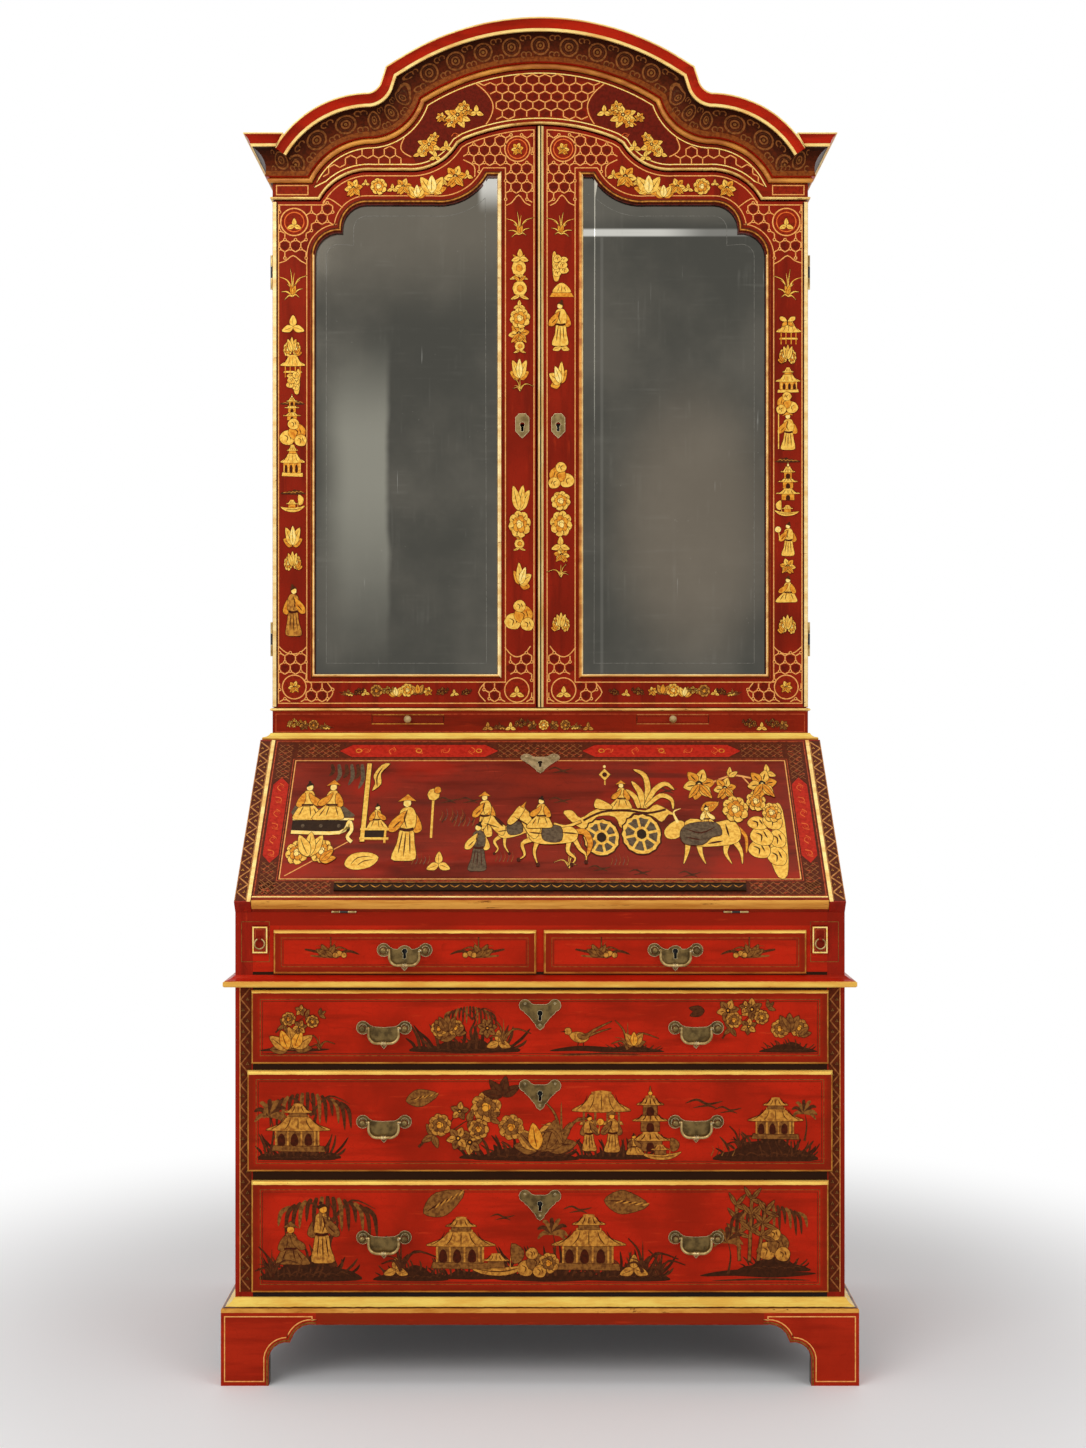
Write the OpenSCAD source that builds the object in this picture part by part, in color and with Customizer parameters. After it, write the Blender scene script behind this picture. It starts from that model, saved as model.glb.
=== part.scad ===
/* [Lower case] */
// Width of the lower case over its sides
case_w = 975; // [930:5:1020]
// Depth of the lower case without mouldings
case_d = 570; // [550:5:600]
// Thickness of the lower case's side boards
side_t = 28; // [27:1:30]
// Thickness of the back boards of both cases
back_t = 12; // [8:1:16]
// Width of the facing strip on each sloping side edge
facing_w = 26; // [24:0.5:26.5]
// Height of the feet and plinth up to the base moulding
foot_h = 116; // [105:1:130]
// Height of the base moulding
base_mould_h = 20; // [16:1:24]
// Projection of the base moulding and feet past the case
base_out = 20; // [14:1:26]
// Visible edge of the bottom board above the base moulding
base_reveal = 8; // [5:1:14]
// Height of the waist moulding
waist_mould_h = 18; // [14:1:20]
// Projection of the waist moulding
waist_out = 17.5; // [12:0.5:22]
// Gap between the top long drawer's front and the waist moulding
waist_gap = 6; // [4:1:10]
// Height from the short drawers' fronts up to the writing surface
sill_h = 29; // [27:1:36]

/* [Feet] */
// Thickness of the bracket boards
bracket_t = 22; // [16:1:26]
// Width of a foot at the floor
foot_w = 76; // [60:1:90]
// Height of the plinth rail between the feet
plinth_h = 19; // [14:1:26]
// Thickness of the plinth rail
plinth_t = 28; // [24:1:36]
// Width of the bracket beside a foot
bracket_w = 75; // [60:1:95]
// Width of the glue block behind each foot
block_w = 42; // [30:1:60]

/* [Drawers] */
// Heights of the long drawers' fronts, from the bottom up
front_h = [179, 162, 118];
// Widths of the long drawers' fronts, from the bottom up
front_w = [923, 936, 923];
// Gaps between the long drawers' fronts
front_gap = [14, 10];
// Height of the short drawers' fronts
short_front_h = 70; // [62:1:76]
// Half the gap between the two short drawers' fronts
short_gap = 6; // [4:0.5:9]
// How far a drawer's front laps over the edges of its opening
lip = 3; // [2:0.5:4]
// Thickness of the lip in front of the case
lip_t = 7.7; // [5:0.1:10]
// Rounding of the lip's front edges
lip_round = 6; // [3:0.5:7]
// Thickness of the front board behind the lip
front_t = 12; // [10:1:16]
// Clearance of a drawer at each side
drawer_side_gap = 1; // [0.5:0.1:2]
// Running clearance under a drawer, slide or support
run_gap = 0.3; // [0.2:0.05:0.5]
// Clearance over a drawer's sides
drawer_top_gap = 3; // [2:0.5:6]
// Thickness of a drawer's side and back boards
box_t = 11; // [8:1:14]
// Thickness of a drawer's bottom board
box_bottom_t = 7; // [5:1:10]
// Length of a drawer's box behind its front board
box_d = 520; // [460:5:525]

/* [Fall and supports] */
// Thickness of the fall
fall_t = 22; // [18:1:24]
// Length of the fall up its slope
fall_len = 395; // [370:1:410]
// Angle of the closed fall from level
fall_angle = 40.4; // [38:0.1:43]
// Width of each fall support
support_w = 23; // [18:0.5:26]
// Height of each fall support
support_h = 43; // [36:1:48]
// Length of each fall support
support_len = 430; // [380:5:480]
// Thickness of the partition beside each support
partition_t = 13; // [10:0.5:16]
// Length of the book rest
rest_len = 661; // [500:1:700]
// Width of the book rest up the slope
rest_w = 20; // [14:1:26]
// Thickness of the book rest
rest_t = 5.5; // [4:0.25:6]
// Distance of the book rest from the hinge line
rest_up = 24; // [14:1:40]

/* [Desk interior] */
// Thickness of the pigeonhole boards
nest_t = 7; // [5:0.5:9]
// Setback of the pigeonholes from the case front
nest_y = 330; // [315:1:360]
// Height of the lower row of compartments
nest_low_h = 72; // [55:1:90]
// Compartments in the lower row
nest_low_n = 3; // [2:1:5]
// Pigeonholes in the upper row
nest_high_n = 5; // [4:1:7]

/* [Upper case] */
// Width of the upper case
cab_w = 938; // [905:1:960]
// Depth of the upper case with its doors
cab_d = 266; // [256:1:272]
// Thickness of the upper case's side boards
cab_side_t = 20; // [16:1:24]
// Height of the rail under the doors
rail_h = 56; // [50:1:64]
// Thickness of the doors, rail and frieze board
door_t = 20; // [18:0.5:22]
// Height of the doors at their outer edges
door_h = 886; // [840:1:940]
// Clearance over and under the doors
door_gap = 3; // [2.5:0.25:4]
// Gap between the two doors
seam_gap = 2; // [1.5:0.25:4]
// Thickness of the cabinet's shelves and bottom board
shelf_t = 12; // [9:1:16]
// Number of shelves
shelf_n = 3; // [2:1:4]
// Height of the retaining moulding on the desk top
top_mould_h = 12; // [9:1:16]
// Width of the retaining moulding at the sides
top_mould_w = 16; // [12:0.5:18]
// Height of the level cornice ends' astragal above the doors' shoulders
cornice_rise = 40; // [36:1:50]
// Projection of the cornice
cornice_out = 45; // [36:1:52]
// Height of the cornice above its astragal
cornice_h = 68; // [60:1:72]
// Thickness of the curved roof's staves
stave_t = 9; // [6:0.5:12]

/* [Doors] */
// Width of the door stiles at the sight edge
stile_w = 74; // [64:1:84]
// Distance of the mirrors' inner edges from the centre line
mirror_in = 75; // [66:1:90]
// Height of the door's bottom rail
door_rail_h = 58; // [48:1:70]
// Height of the mirror's outer shoulder above its sill
mirror_h = 734; // [690:1:780]
// Thickness of the mirror glass
glass_t = 4; // [3:0.5:5]
// Thickness of the board behind the mirror
backing_t = 5; // [4:0.5:6]
// Wood in front of the mirror
sight_t = 8; // [6:0.5:9]
// Rebate around the mirror behind the sight edge
rebate = 6; // [4:0.5:7]
// Width of the astragal over the meeting of the doors
astragal_w = 11; // [8:0.5:14]
// Projection of the astragal
astragal_out = 5; // [3:0.5:7]
// Distance of the door hinges' middles from the door's corners
door_hinge_in = 120; // [90:5:160]
// Height of the door locks above the doors' lower edge
door_lock_up = 493; // [420:1:540]

/* [Candle slides] */
// Width of a candle slide
candle_w = 124; // [100:1:140]
// Thickness of a candle slide
candle_t = 10; // [7:0.5:12]
// Length of a candle slide
candle_len = 180; // [150:1:200]
// Distance of each candle slide from the centre line
candle_x = 232; // [200:1:280]
// Height of the candle slides above the desk top
candle_up = 31; // [28:1:34]

/* [Brasses] */
// Distance of the long drawers' handles from the centre line
handle_x = 249; // [200:1:300]
// Half the distance between a handle's posts
post_x = 33.5; // [31:0.5:38]
// Thickness of the brass plates
plate_t = 1.8; // [1.2:0.2:2.4]
// Height of a bail's pivot above its plate
pivot_up = 8; // [7.5:0.5:11]
// Radius of a bail's rod
bail_r = 2.2; // [1.8:0.1:2.6]
// Drop of a bail below its pivot
bail_drop = 24; // [20:1:28]
// Half the width of a bail
bail_x = 24; // [20:0.5:25]
// Width of the escutcheons on the long drawers and the fall
escutcheon_w = 67; // [56:1:72]
// Width of the escutcheons on the doors
door_plate_w = 24; // [20:1:28]
// Distance of a lock's keyhole from a long drawer's top edge
lock_down = 36; // [34:1:45]
// Radius of a hinge knuckle on the doors
knuckle_r = 3; // [2.5:0.1:4]
// Length of a door hinge
door_hinge_len = 60; // [45:1:80]
// Length of a fall hinge
fall_hinge_len = 39; // [30:1:60]
// Distance of the fall hinges from the centre line
fall_hinge_x = 313.5; // [260:0.5:360]
// Radius of the rings on the fall supports
ring_r = 8; // [6.5:0.5:8.5]

/* [Hidden] */
$fn = 48;

// Clearance between a moving piece and the flat face that it closes on
seat_gap = 0.3;
// Clearance of a board's end under the desk top
board_gap = 0.1;
fall_side_gap = 0.8;
fall_end_gap = 1;
hinge_y = -1;
fall_knuckle_r = 2;
pin_gap = 0.05;
leaf_t = 1.2;
door_pin_r = 1.5;
fall_pin_r = 0.9;

case_hw = case_w / 2;
inner_hw = case_hw - side_t;
back_y = case_d - back_t;

// Levels of the lower case, from the floor up
drawer_z = [
    foot_h + base_mould_h + base_reveal,
    foot_h + base_mould_h + base_reveal + front_h[0] + front_gap[0],
    foot_h + base_mould_h + base_reveal + front_h[0] + front_gap[0] + front_h[1] + front_gap[1]
];
waist_z = drawer_z[2] + front_h[2] + waist_gap;
short_z = waist_z + waist_mould_h + 2;
rail_top_z = short_z + short_front_h + sill_h - fall_t;
writing_z = rail_top_z + fall_t;
bottom_top_z = drawer_z[0] + lip;

// A point of the fall's own frame, up its slope and out from its inner face, as [y, z]
function slope(u, v) = [
    hinge_y + u * cos(fall_angle) - v * sin(fall_angle),
    writing_z + u * sin(fall_angle) + v * cos(fall_angle)
];
fall_top = slope(fall_len, fall_t);
desk_z = fall_top.y;
desk_board_t = 20;
top_mould_y = fall_top.x + 1.5;

cab_hw = cab_w / 2;
cab_y = case_d - cab_d;
door_back_y = cab_y + door_t;
rail_top = desk_z + rail_h;
door_z = rail_top + 1;
shoulder_z = door_z + door_h;
cornice_z = shoulder_z + cornice_rise;
door_pin_x = cab_hw + knuckle_r + 0.3;
door_pin_y = door_back_y - 0.15;
astragal_x = -astragal_w / 2;
seam_right = astragal_x;
seam_left = astragal_x - seam_gap;
door_hinge_z = [door_z + door_hinge_in, shoulder_z - door_hinge_in];

// Vectors, arcs and outlines
function left_of(v) = [-v.y, v.x];
function unit(v) = v / norm(v);
function mitre(a, b, c) =
    let (n1 = left_of(unit(b - a)), n2 = left_of(unit(c - b))) (n1 + n2) / (1 + n1 * n2);
// Points from p up to but not at q, on an arc that bulges by rise to the left of the way
function arc(p, q, rise, n = 6) =
    let (
        chord = norm(q - p),
        along = (q - p) / chord,
        out = left_of(along),
        half = 2 * atan(2 * rise / chord),
        r = chord / (2 * sin(half)),
        centre = (p + q) / 2 + out * (rise - r)
    )
    [for (i = [0:n - 1]) let (t = half * (2 * i / n - 1)) centre + out * r * cos(t) + along * r * sin(t)];
function normal_at(path, i) =
    let (n = len(path))
    i == 0 ? left_of(unit(path[1] - path[0]))
    : i == n - 1 ? left_of(unit(path[n - 1] - path[n - 2]))
    : mitre(path[i - 1], path[i], path[i + 1]);
function shifted(path, d) = [for (i = [0:len(path) - 1]) path[i] + d * normal_at(path, i)];
function grown(loop, d) =
    let (n = len(loop))
    [for (i = [0:n - 1]) loop[i] + d * mitre(loop[(i + n - 1) % n], loop[i], loop[(i + 1) % n])];
function backwards(path) = [for (i = [len(path) - 1:-1:0]) path[i]];
function other_side(path) = [for (q = backwards(path)) [-q.x, q.y]];

// The doors' shaped top edge, from the left corner to the right one
crown_hw = 131;
crown_rise = 26;
crown_step = [11, 7];
sweep_size = [93, 48];
flat_w = 57;
hump_size = [93, 51];
hump_bulge = 16;
sweep_sag = 15;
crown_z = shoulder_z + hump_size.y + sweep_size.y + crown_step.y;
hump_x = -crown_hw - crown_step.x - sweep_size.x - flat_w;
function door_half(n) =
    let (
        sweep_end = [-crown_hw - crown_step.x, crown_z - crown_step.y],
        hump_end = [hump_x, shoulder_z + hump_size.y]
    )
    concat(
        [[-cab_hw, shoulder_z]], arc(hump_end - hump_size, hump_end, hump_bulge, n), [hump_end],
        arc(sweep_end - sweep_size, sweep_end, -sweep_sag, n), [sweep_end, [-crown_hw, crown_z]]
    );
function door_line(n = 6) =
    let (half = door_half(n), crown = arc([-crown_hw, crown_z], [crown_hw, crown_z], crown_rise, 2 * n))
    concat(half, [for (i = [1:len(crown) - 1]) crown[i]], other_side(half));

// The cornice's path along its astragal, from the left corner to the right one
dome_hw = 210;
dome_rise = 62;
dome_lift = [69, 69];
cove_w = 82;
haunch_w = 113;
haunch_bulge = 19;
cove_sag = 16.5;
dome_z = cornice_z + dome_lift[0] + dome_lift[1];
function cornice_half(n) =
    let (
        spring = [-dome_hw, dome_z],
        valley = [-dome_hw - cove_w, dome_z - dome_lift[1]],
        foot = [-dome_hw - cove_w - haunch_w, cornice_z]
    )
    concat([[-cab_hw, cornice_z]], arc(foot, valley, haunch_bulge, n), arc(valley, spring, -cove_sag, n));
function cornice_path(n = 6) =
    let (half = cornice_half(n), spring = [dome_hw, dome_z])
    concat(half, arc([-dome_hw, dome_z], spring, dome_rise, 2 * n), [spring], other_side(half));
roof_out = 56;

// The mirror's sight edge of the left door, clockwise from its lower outer corner
ear = [48, 40];
ear_step = 10;
shoulder = [41, 40];
swell = [96, 49];
tip_w = 17;
ear_bulge = 14;
shoulder_bulge = 11;
swell_sag = 16;
sill_z = door_z + door_rail_h;
function sight_edge(n = 6) =
    let (
        out_x = -cab_hw + stile_w,
        ear_end = [out_x, sill_z + mirror_h] + ear,
        rise_start = ear_end + [0, ear_step],
        rise_end = rise_start + shoulder,
        swell_end = [-mirror_in - tip_w, rise_end.y + swell.y]
    )
    concat(
        [[out_x, sill_z]], arc([out_x, sill_z + mirror_h], ear_end, ear_bulge, n), [ear_end],
        arc(rise_start, rise_end, shoulder_bulge, n), [rise_end],
        arc(swell_end - swell, swell_end, -swell_sag, n),
        [swell_end, [-mirror_in, swell_end.y], [-mirror_in, sill_z]]
    );

// A box between two corners, given as its span along each axis
module board(x, y, z) {
    translate([x[0], y[0], z[0]]) cube([x[1] - x[0], y[1] - y[0], z[1] - z[0]]);
}
// An outline in x and z, made into a board whose front face is at y
module upright(y, t) {
    translate([0, y + t, 0]) rotate([90, 0, 0]) linear_extrude(t) children();
}
// An outline in y and z, drawn out along x
module along_x(x0, x1) {
    translate([x0, 0, 0]) rotate([90, 0, 90]) linear_extrude(x1 - x0) children();
}
// The fall's own frame: x as in the case, y up the slope, z out from its inner face
module on_slope() {
    translate([0, hinge_y, writing_z]) rotate([fall_angle, 0, 0]) children();
}
// The frame of something on a front face: x right, y up, z out
module on_face(x, y, z) {
    translate([x, y, z]) rotate([90, 0, 0]) children();
}
// The whole bureau stands with its origin under the middle of its box
ball_r = 6;
ball_up = pivot_up + 5;
face_y = -seat_gap - lip_t;
front_most = face_y - plate_t - ball_up - ball_r;
module placed() {
    translate([0, -(case_d + min(-base_out, front_most)) / 2, 0]) children();
}
module each_side() {
    children();
    mirror([1, 0, 0]) children();
}

// A moulding on a front and two sides, mitred, from a profile of [projection, height] that starts
// and ends at no projection. Its projection in front may differ from the one at the sides
module wrap_moulding(half, y, z, out, h, profile, front_out) {
    ahead = is_undef(front_out) ? out : front_out;
    front = [for (q = profile) [y - q.x * ahead / out, q.y]];
    sides = concat(
        [for (q = profile) [half + q.x, q.y]], [for (q = backwards(profile)) [-half - q.x, q.y]]
    );
    translate([0, 0, z]) difference() {
        intersection() {
            along_x(-half - out, half + out) polygon(concat(front, [[case_d, h], [case_d, 0]]));
            translate([0, case_d, 0]) rotate([90, 0, 0]) linear_extrude(case_d - y + ahead)
                polygon(sides);
        }
        board([-half, half], [y, case_d + 1], [-1, h + 1]);
    }
}

// A closed profile of [across, out], drawn over its outer side from its first point to its last,
// swept through stations of [origin, across, out]
module swept(stations, profile) {
    n = len(profile);
    m = len(stations);
    points = [for (s = stations) for (q = profile) s[0] + s[1] * q.x + s[2] * q.y];
    walls = [for (i = [0:m - 2]) for (j = [0:n - 1]) let (k = (j + 1) % n)
        each [[i * n + j, i * n + k, (i + 1) * n + k], [i * n + j, (i + 1) * n + k, (i + 1) * n + j]]];
    ends = [[for (j = [n - 1:-1:0]) j], [for (j = [0:n - 1]) (m - 1) * n + j]];
    polyhedron(points, concat(walls, ends));
}
// Stations along a path on the cabinet's front, with level returns along its sides
function face_stations(path) =
    let (
        last = len(path) - 1,
        first_z = path[0].y
    )
    concat(
        [[[-cab_hw, case_d, first_z], [0, 0, 1], [-1, 0, 0]]],
        [[[-cab_hw, cab_y, first_z], [0, 0, 1], [-1, -1, 0]]],
        [for (i = [1:last - 1]) let (n = normal_at(path, i))
            [[path[i].x, cab_y, path[i].y], [n.x, 0, n.y], [0, -1, 0]]],
        [[[cab_hw, cab_y, first_z], [0, 0, 1], [1, -1, 0]]],
        [[[cab_hw, case_d, first_z], [0, 0, 1], [1, 0, 0]]]
    );

// Lower case
module bureau_sides() {
    // The sloping edge of the board lies just under the fall's inner face
    front_z = writing_z + (-seat_gap + (-hinge_y) * sin(fall_angle)) / cos(fall_angle);
    slope_end = hinge_y + (desk_z - writing_z + seat_gap / cos(fall_angle)) / tan(fall_angle);
    color("firebrick") placed() each_side() {
        along_x(inner_hw, case_hw)
            polygon([[0, foot_h], [0, front_z], [slope_end, desk_z], [case_d, desk_z], [case_d, foot_h]]);
        along_x(case_hw - facing_w, case_hw)
            polygon([slope(0, -seat_gap), slope(0, fall_t), fall_top, [slope_end, desk_z]]);
    }
}

module bureau_back() {
    color("saddlebrown") placed()
        board([-inner_hw, inner_hw], [back_y, case_d],
            [bottom_top_z, desk_z - desk_board_t - board_gap]);
}

module bureau_bottom() {
    color("firebrick") placed()
        board([-inner_hw, inner_hw], [0, case_d], [foot_h, bottom_top_z]);
}

module desk_top() {
    // Its front edge is bevelled to meet the end of the fall
    bevel_u = fall_len + fall_end_gap;
    top_v = (desk_z - writing_z - bevel_u * sin(fall_angle)) / cos(fall_angle);
    low_v = top_v - desk_board_t / cos(fall_angle);
    color("firebrick") placed() along_x(-inner_hw, inner_hw)
        polygon([slope(bevel_u, top_v), slope(bevel_u, low_v), [case_d, desk_z - desk_board_t],
            [case_d, desk_z]]);
}

module writing_board() {
    color("darkred") placed() difference() {
        board([-inner_hw, inner_hw], [0, back_y], [rail_top_z, writing_z]);
        each_side() translate([fall_hinge_x, hinge_y, writing_z]) fall_hinge_space(-1);
    }
}

// Boards between the drawers: each as its span in height
waist_split = (drawer_z[2] + front_h[2] - lip + short_z + lip) / 2;
divider_spans = [
    [drawer_z[0] + front_h[0] - lip, drawer_z[1] + lip],
    [drawer_z[1] + front_h[1] - lip, drawer_z[2] + lip],
    [drawer_z[2] + front_h[2] - lip, waist_split],
    [waist_split, short_z + lip]
];
module drawer_dividers() {
    color("firebrick") placed() {
        for (s = divider_spans) board([-inner_hw, inner_hw], [0, back_y], s);
        board([-bay_x, bay_x], [0, 40], [short_z + short_front_h - lip, rail_top_z]);
    }
}

// The bay of the short drawers ends at the partitions beside the fall supports
support_side_gap = 0.25;
support_bay = support_w + 2 * support_side_gap;
bay_x = inner_hw - support_bay - partition_t;
muntin_x = short_gap + lip;
support_z = rail_top_z - 0.5 - support_h;
module support_partitions() {
    color("firebrick") placed() {
        each_side() {
            board([bay_x, bay_x + partition_t], [0, back_y], [short_z + lip, rail_top_z]);
            board([bay_x + partition_t, inner_hw], [0, back_y], [short_z + lip, support_z - run_gap]);
        }
        board([-muntin_x, muntin_x], [0, back_y], [short_z + lip, short_z + short_front_h - lip]);
    }
}

module pigeonhole_nest() {
    low_z = writing_z + nest_low_h;
    top_z = desk_z - desk_board_t - board_gap;
    high_z = low_z + nest_t;
    low_step = (2 * inner_hw - nest_t) / nest_low_n;
    high_step = (2 * inner_hw - nest_t) / nest_high_n;
    color("sienna") placed() {
        for (i = [0:nest_low_n]) let (x = -inner_hw + i * low_step)
            board([x, x + nest_t], [nest_y, back_y], [writing_z, low_z]);
        board([-inner_hw, inner_hw], [nest_y, back_y], [low_z, high_z]);
        for (i = [0:nest_high_n]) let (x = -inner_hw + i * high_step)
            board([x, x + nest_t], [nest_y, back_y], [high_z, top_z]);
    }
}

module waist_moulding() {
    nose = 0.5 * waist_mould_h;
    profile = concat(
        [[0, 0], [waist_out - 2, 0]], arc([waist_out, 2], [waist_out, nose - 1], -0.8, 3),
        [[waist_out, nose - 1], [waist_out - 2, nose]],
        arc([waist_out - 3, nose + 1], [1, waist_mould_h], 1.6, 5), [[0, waist_mould_h]]
    );
    color("gold") placed() wrap_moulding(case_hw, 0, waist_z, waist_out, waist_mould_h, profile);
}

// Base moulding with the plinth rails under it
module base_moulding() {
    h = base_mould_h;
    profile = concat(
        [[0, 0], [base_out, 0], [base_out, 0.25 * h]],
        arc([base_out - 2, 0.35 * h], [2, 0.95 * h], 2.5, 6), [[2, 0.95 * h], [0, h]]
    );
    reach = base_out - bracket_t + plinth_t;
    color("gold") placed() wrap_moulding(case_hw, 0, foot_h, base_out, h, profile);
    color("firebrick") placed() {
        board([-case_hw - base_out + foot_reach, case_hw + base_out - foot_reach],
            [-base_out, plinth_t - base_out], [foot_h - plinth_h, foot_h]);
        each_side() board([case_hw + base_out - plinth_t, case_hw + base_out],
            [foot_reach - base_out, case_d - foot_reach], [foot_h - plinth_h, foot_h]);
    }
}

// One bracket board from a corner: its length along x, its outer face at y = 0
foot_reach = foot_w + bracket_w;
module bracket() {
    rail_z = foot_h - plinth_h;
    cusp = [foot_w + 34, 0.71 * rail_z];
    outline = concat(
        [[0, 0], [0, foot_h], [foot_reach, foot_h], [foot_reach, rail_z]],
        backwards(concat(
            arc([foot_w, 0.46 * rail_z], cusp, 9, 5), [cusp],
            arc([cusp.x + 2, cusp.y + 5], [foot_reach, rail_z], 9, 5)
        )),
        [[foot_w, 0]]
    );
    intersection() {
        upright(0, bracket_t) polygon(outline);
        linear_extrude(foot_h)
            polygon([[0, 0], [foot_reach, 0], [foot_reach, bracket_t], [bracket_t, bracket_t]]);
    }
}
module corner_foot() {
    bracket();
    mirror([1, -1, 0]) bracket();
    board([bracket_t, bracket_t + block_w], [bracket_t, bracket_t + block_w], [0, foot_h]);
}
module bracket_feet() {
    color("firebrick") placed() each_side() {
        translate([-case_hw - base_out, -base_out, 0]) corner_foot();
        translate([-case_hw - base_out, case_d, 0]) mirror([0, 1, 0]) corner_foot();
    }
}

// Retaining moulding around the foot of the upper case
module desk_top_moulding() {
    h = top_mould_h;
    out = top_mould_w;
    profile = concat([[0, 0], [out, 0], [out, 0.3 * h]], arc([out - 1.5, 0.4 * h], [3, h], 2, 5),
        [[3, h], [0, h]]);
    color("gold") placed() wrap_moulding(cab_hw, cab_y, desk_z, out, h, profile, cab_y - top_mould_y);
}

// Upper case
roof_z = cornice_z + roof_out;
module cabinet_sides() {
    color("firebrick") placed() each_side() difference() {
        board([cab_hw - cab_side_t, cab_hw], [door_back_y, case_d], [desk_z, roof_z - stave_t]);
        for (z = door_hinge_z) door_leaf(z, door_back_y, 0.5);
    }
}

slide_z = desk_z + candle_up;
module cabinet_base() {
    slot = [-candle_w / 2 - 0.5, candle_w / 2 + 0.5];
    color("firebrick") placed() difference() {
        board([-cab_hw, cab_hw], [cab_y, door_back_y], [desk_z, rail_top]);
        for (s = [-1, 1]) translate([s * candle_x, 0, slide_z])
            board(slot, [cab_y - 1, door_back_y + 1], [-run_gap, candle_t + run_gap]);
    }
    color("saddlebrown") placed() {
        board([-inner_cab, inner_cab], [door_back_y, case_d - back_t], [rail_top - shelf_t, rail_top]);
        for (s = [-1, 1]) translate([s * candle_x, 0, desk_z])
            board(slot, [door_back_y, door_back_y + candle_len], [0, candle_up - run_gap]);
    }
}

inner_cab = cab_hw - cab_side_t;
module cabinet_back() {
    rim = [for (q = shifted(cornice_path(roof_n), roof_out - stave_t)) if (abs(q.x) < inner_cab) q];
    rim_z = roof_z - stave_t;
    color("saddlebrown") placed() upright(case_d - back_t, back_t) polygon(concat(
        [[-inner_cab, desk_z], [-inner_cab, rim_z]], rim, [[inner_cab, rim_z], [inner_cab, desk_z]]
    ));
}

module cabinet_shelves() {
    step = (door_h - 40) / (shelf_n + 1);
    color("saddlebrown") placed() for (i = [1:shelf_n]) let (z = rail_top + i * step)
        board([-inner_cab, inner_cab], [door_back_y + 6, case_d - back_t], [z, z + shelf_t]);
}

module frieze_board() {
    top = shifted(cornice_path(), roof_out);
    low = shifted(door_line(), door_gap);
    color("firebrick") placed() upright(cab_y, door_t) polygon(concat(top, backwards(low)));
}

// Coopered staves that follow the cornice
roof_n = 3;
module cabinet_roof() {
    outer = shifted(cornice_path(roof_n), roof_out - 1);
    inner = shifted(cornice_path(roof_n), roof_out - stave_t);
    color("saddlebrown") placed() for (i = [0:len(outer) - 2])
        upright(door_back_y, case_d - door_back_y)
            polygon([outer[i], outer[i + 1], inner[i + 1], inner[i]]);
}

module cornice() {
    bead_h = -4;
    p = cornice_out;
    h = cornice_h;
    fascia = h - 16;
    profile = concat(
        [[-9, 0]], arc([bead_h - 4.5, 4], [bead_h + 4.5, 4], 4, 4),
        [[bead_h + 5, 4], [12, 4]], arc([12, 6], [fascia - 5, p - 14], -9, 6),
        [[fascia - 5, p - 11], [fascia, p - 11], [h - 2, p - 2], [h - 2, p], [h, p], [h, 0]]
    );
    color("firebrick") placed() swept(face_stations(cornice_path()), profile);
}

// Beads around the cabinet: on the rail under the doors and along the frieze's lower edge
bead_r = 2.5;
bead_out = 4;
module cabinet_beads() {
    section = [for (a = [0:30:180]) [bead_r * (1 - cos(a)), bead_out * sin(a)]];
    color("gold") placed() {
        wrap_moulding(cab_hw, cab_y, rail_top - 2 * bead_r - 0.5, bead_out, 2 * bead_r,
            [for (q = section) [q.y, q.x]]);
        swept(face_stations(shifted(door_line(), door_gap)), section);
    }
}

// Hinges: the axis of a door hinge is upright, that of a fall hinge lies along x
hinge_leaf_w = 20;
// The plate of a door hinge, let into wood on either side of the plane at y
module door_leaf(z, y, more = 0) {
    translate([cab_hw - hinge_leaf_w, y, z - door_hinge_len / 2])
        cube([hinge_leaf_w - (more ? 0 : 0.3) + more, leaf_t, door_hinge_len]);
}
// One barrel of a door hinge, reaching back to its plate at y
module door_barrel(z, h, y) {
    translate([door_pin_x, door_pin_y, z - h / 2]) cylinder(r = knuckle_r, h = h);
    translate([cab_hw - 1, y, z - h / 2]) cube([door_pin_x - cab_hw + 1, leaf_t, h]);
}
door_leaf_y = door_back_y - seat_gap - leaf_t;
module door_hinge_fixed(z) {
    third = door_hinge_len / 3;
    door_leaf(z, door_back_y);
    for (s = [-1, 1]) door_barrel(z + s * (third + 0.1), third - 0.2, door_back_y);
    translate([door_pin_x, door_pin_y, z - door_hinge_len / 2])
        cylinder(r = door_pin_r, h = door_hinge_len);
}
module door_hinge_moving(z) {
    third = door_hinge_len / 3;
    door_leaf(z, door_leaf_y);
    difference() {
        door_barrel(z, third - 0.2, door_leaf_y);
        translate([door_pin_x, door_pin_y, z - third]) cylinder(r = door_pin_r + pin_gap, h = 2 * third);
    }
}

// A bar of the fall hinges along x, centred on the hinge
module hinge_bar(r, h) {
    translate([-h / 2, 0, 0]) rotate([0, 90, 0]) cylinder(r = r, h = h);
}
// A fall hinge's plate starts clear of the other half's barrels
leaf_start = fall_knuckle_r + 0.4;
// The room that a board gives the hinge: a groove for its barrels and a bed for its plate
module fall_hinge_space(side) {
    hinge_bar(fall_knuckle_r + 0.3, fall_hinge_len + 0.6);
    translate([-fall_hinge_len / 2, 0, side < 0 ? -leaf_t : -1])
        cube([fall_hinge_len, leaf_start + hinge_leaf_w, leaf_t + 1]);
}
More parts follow.
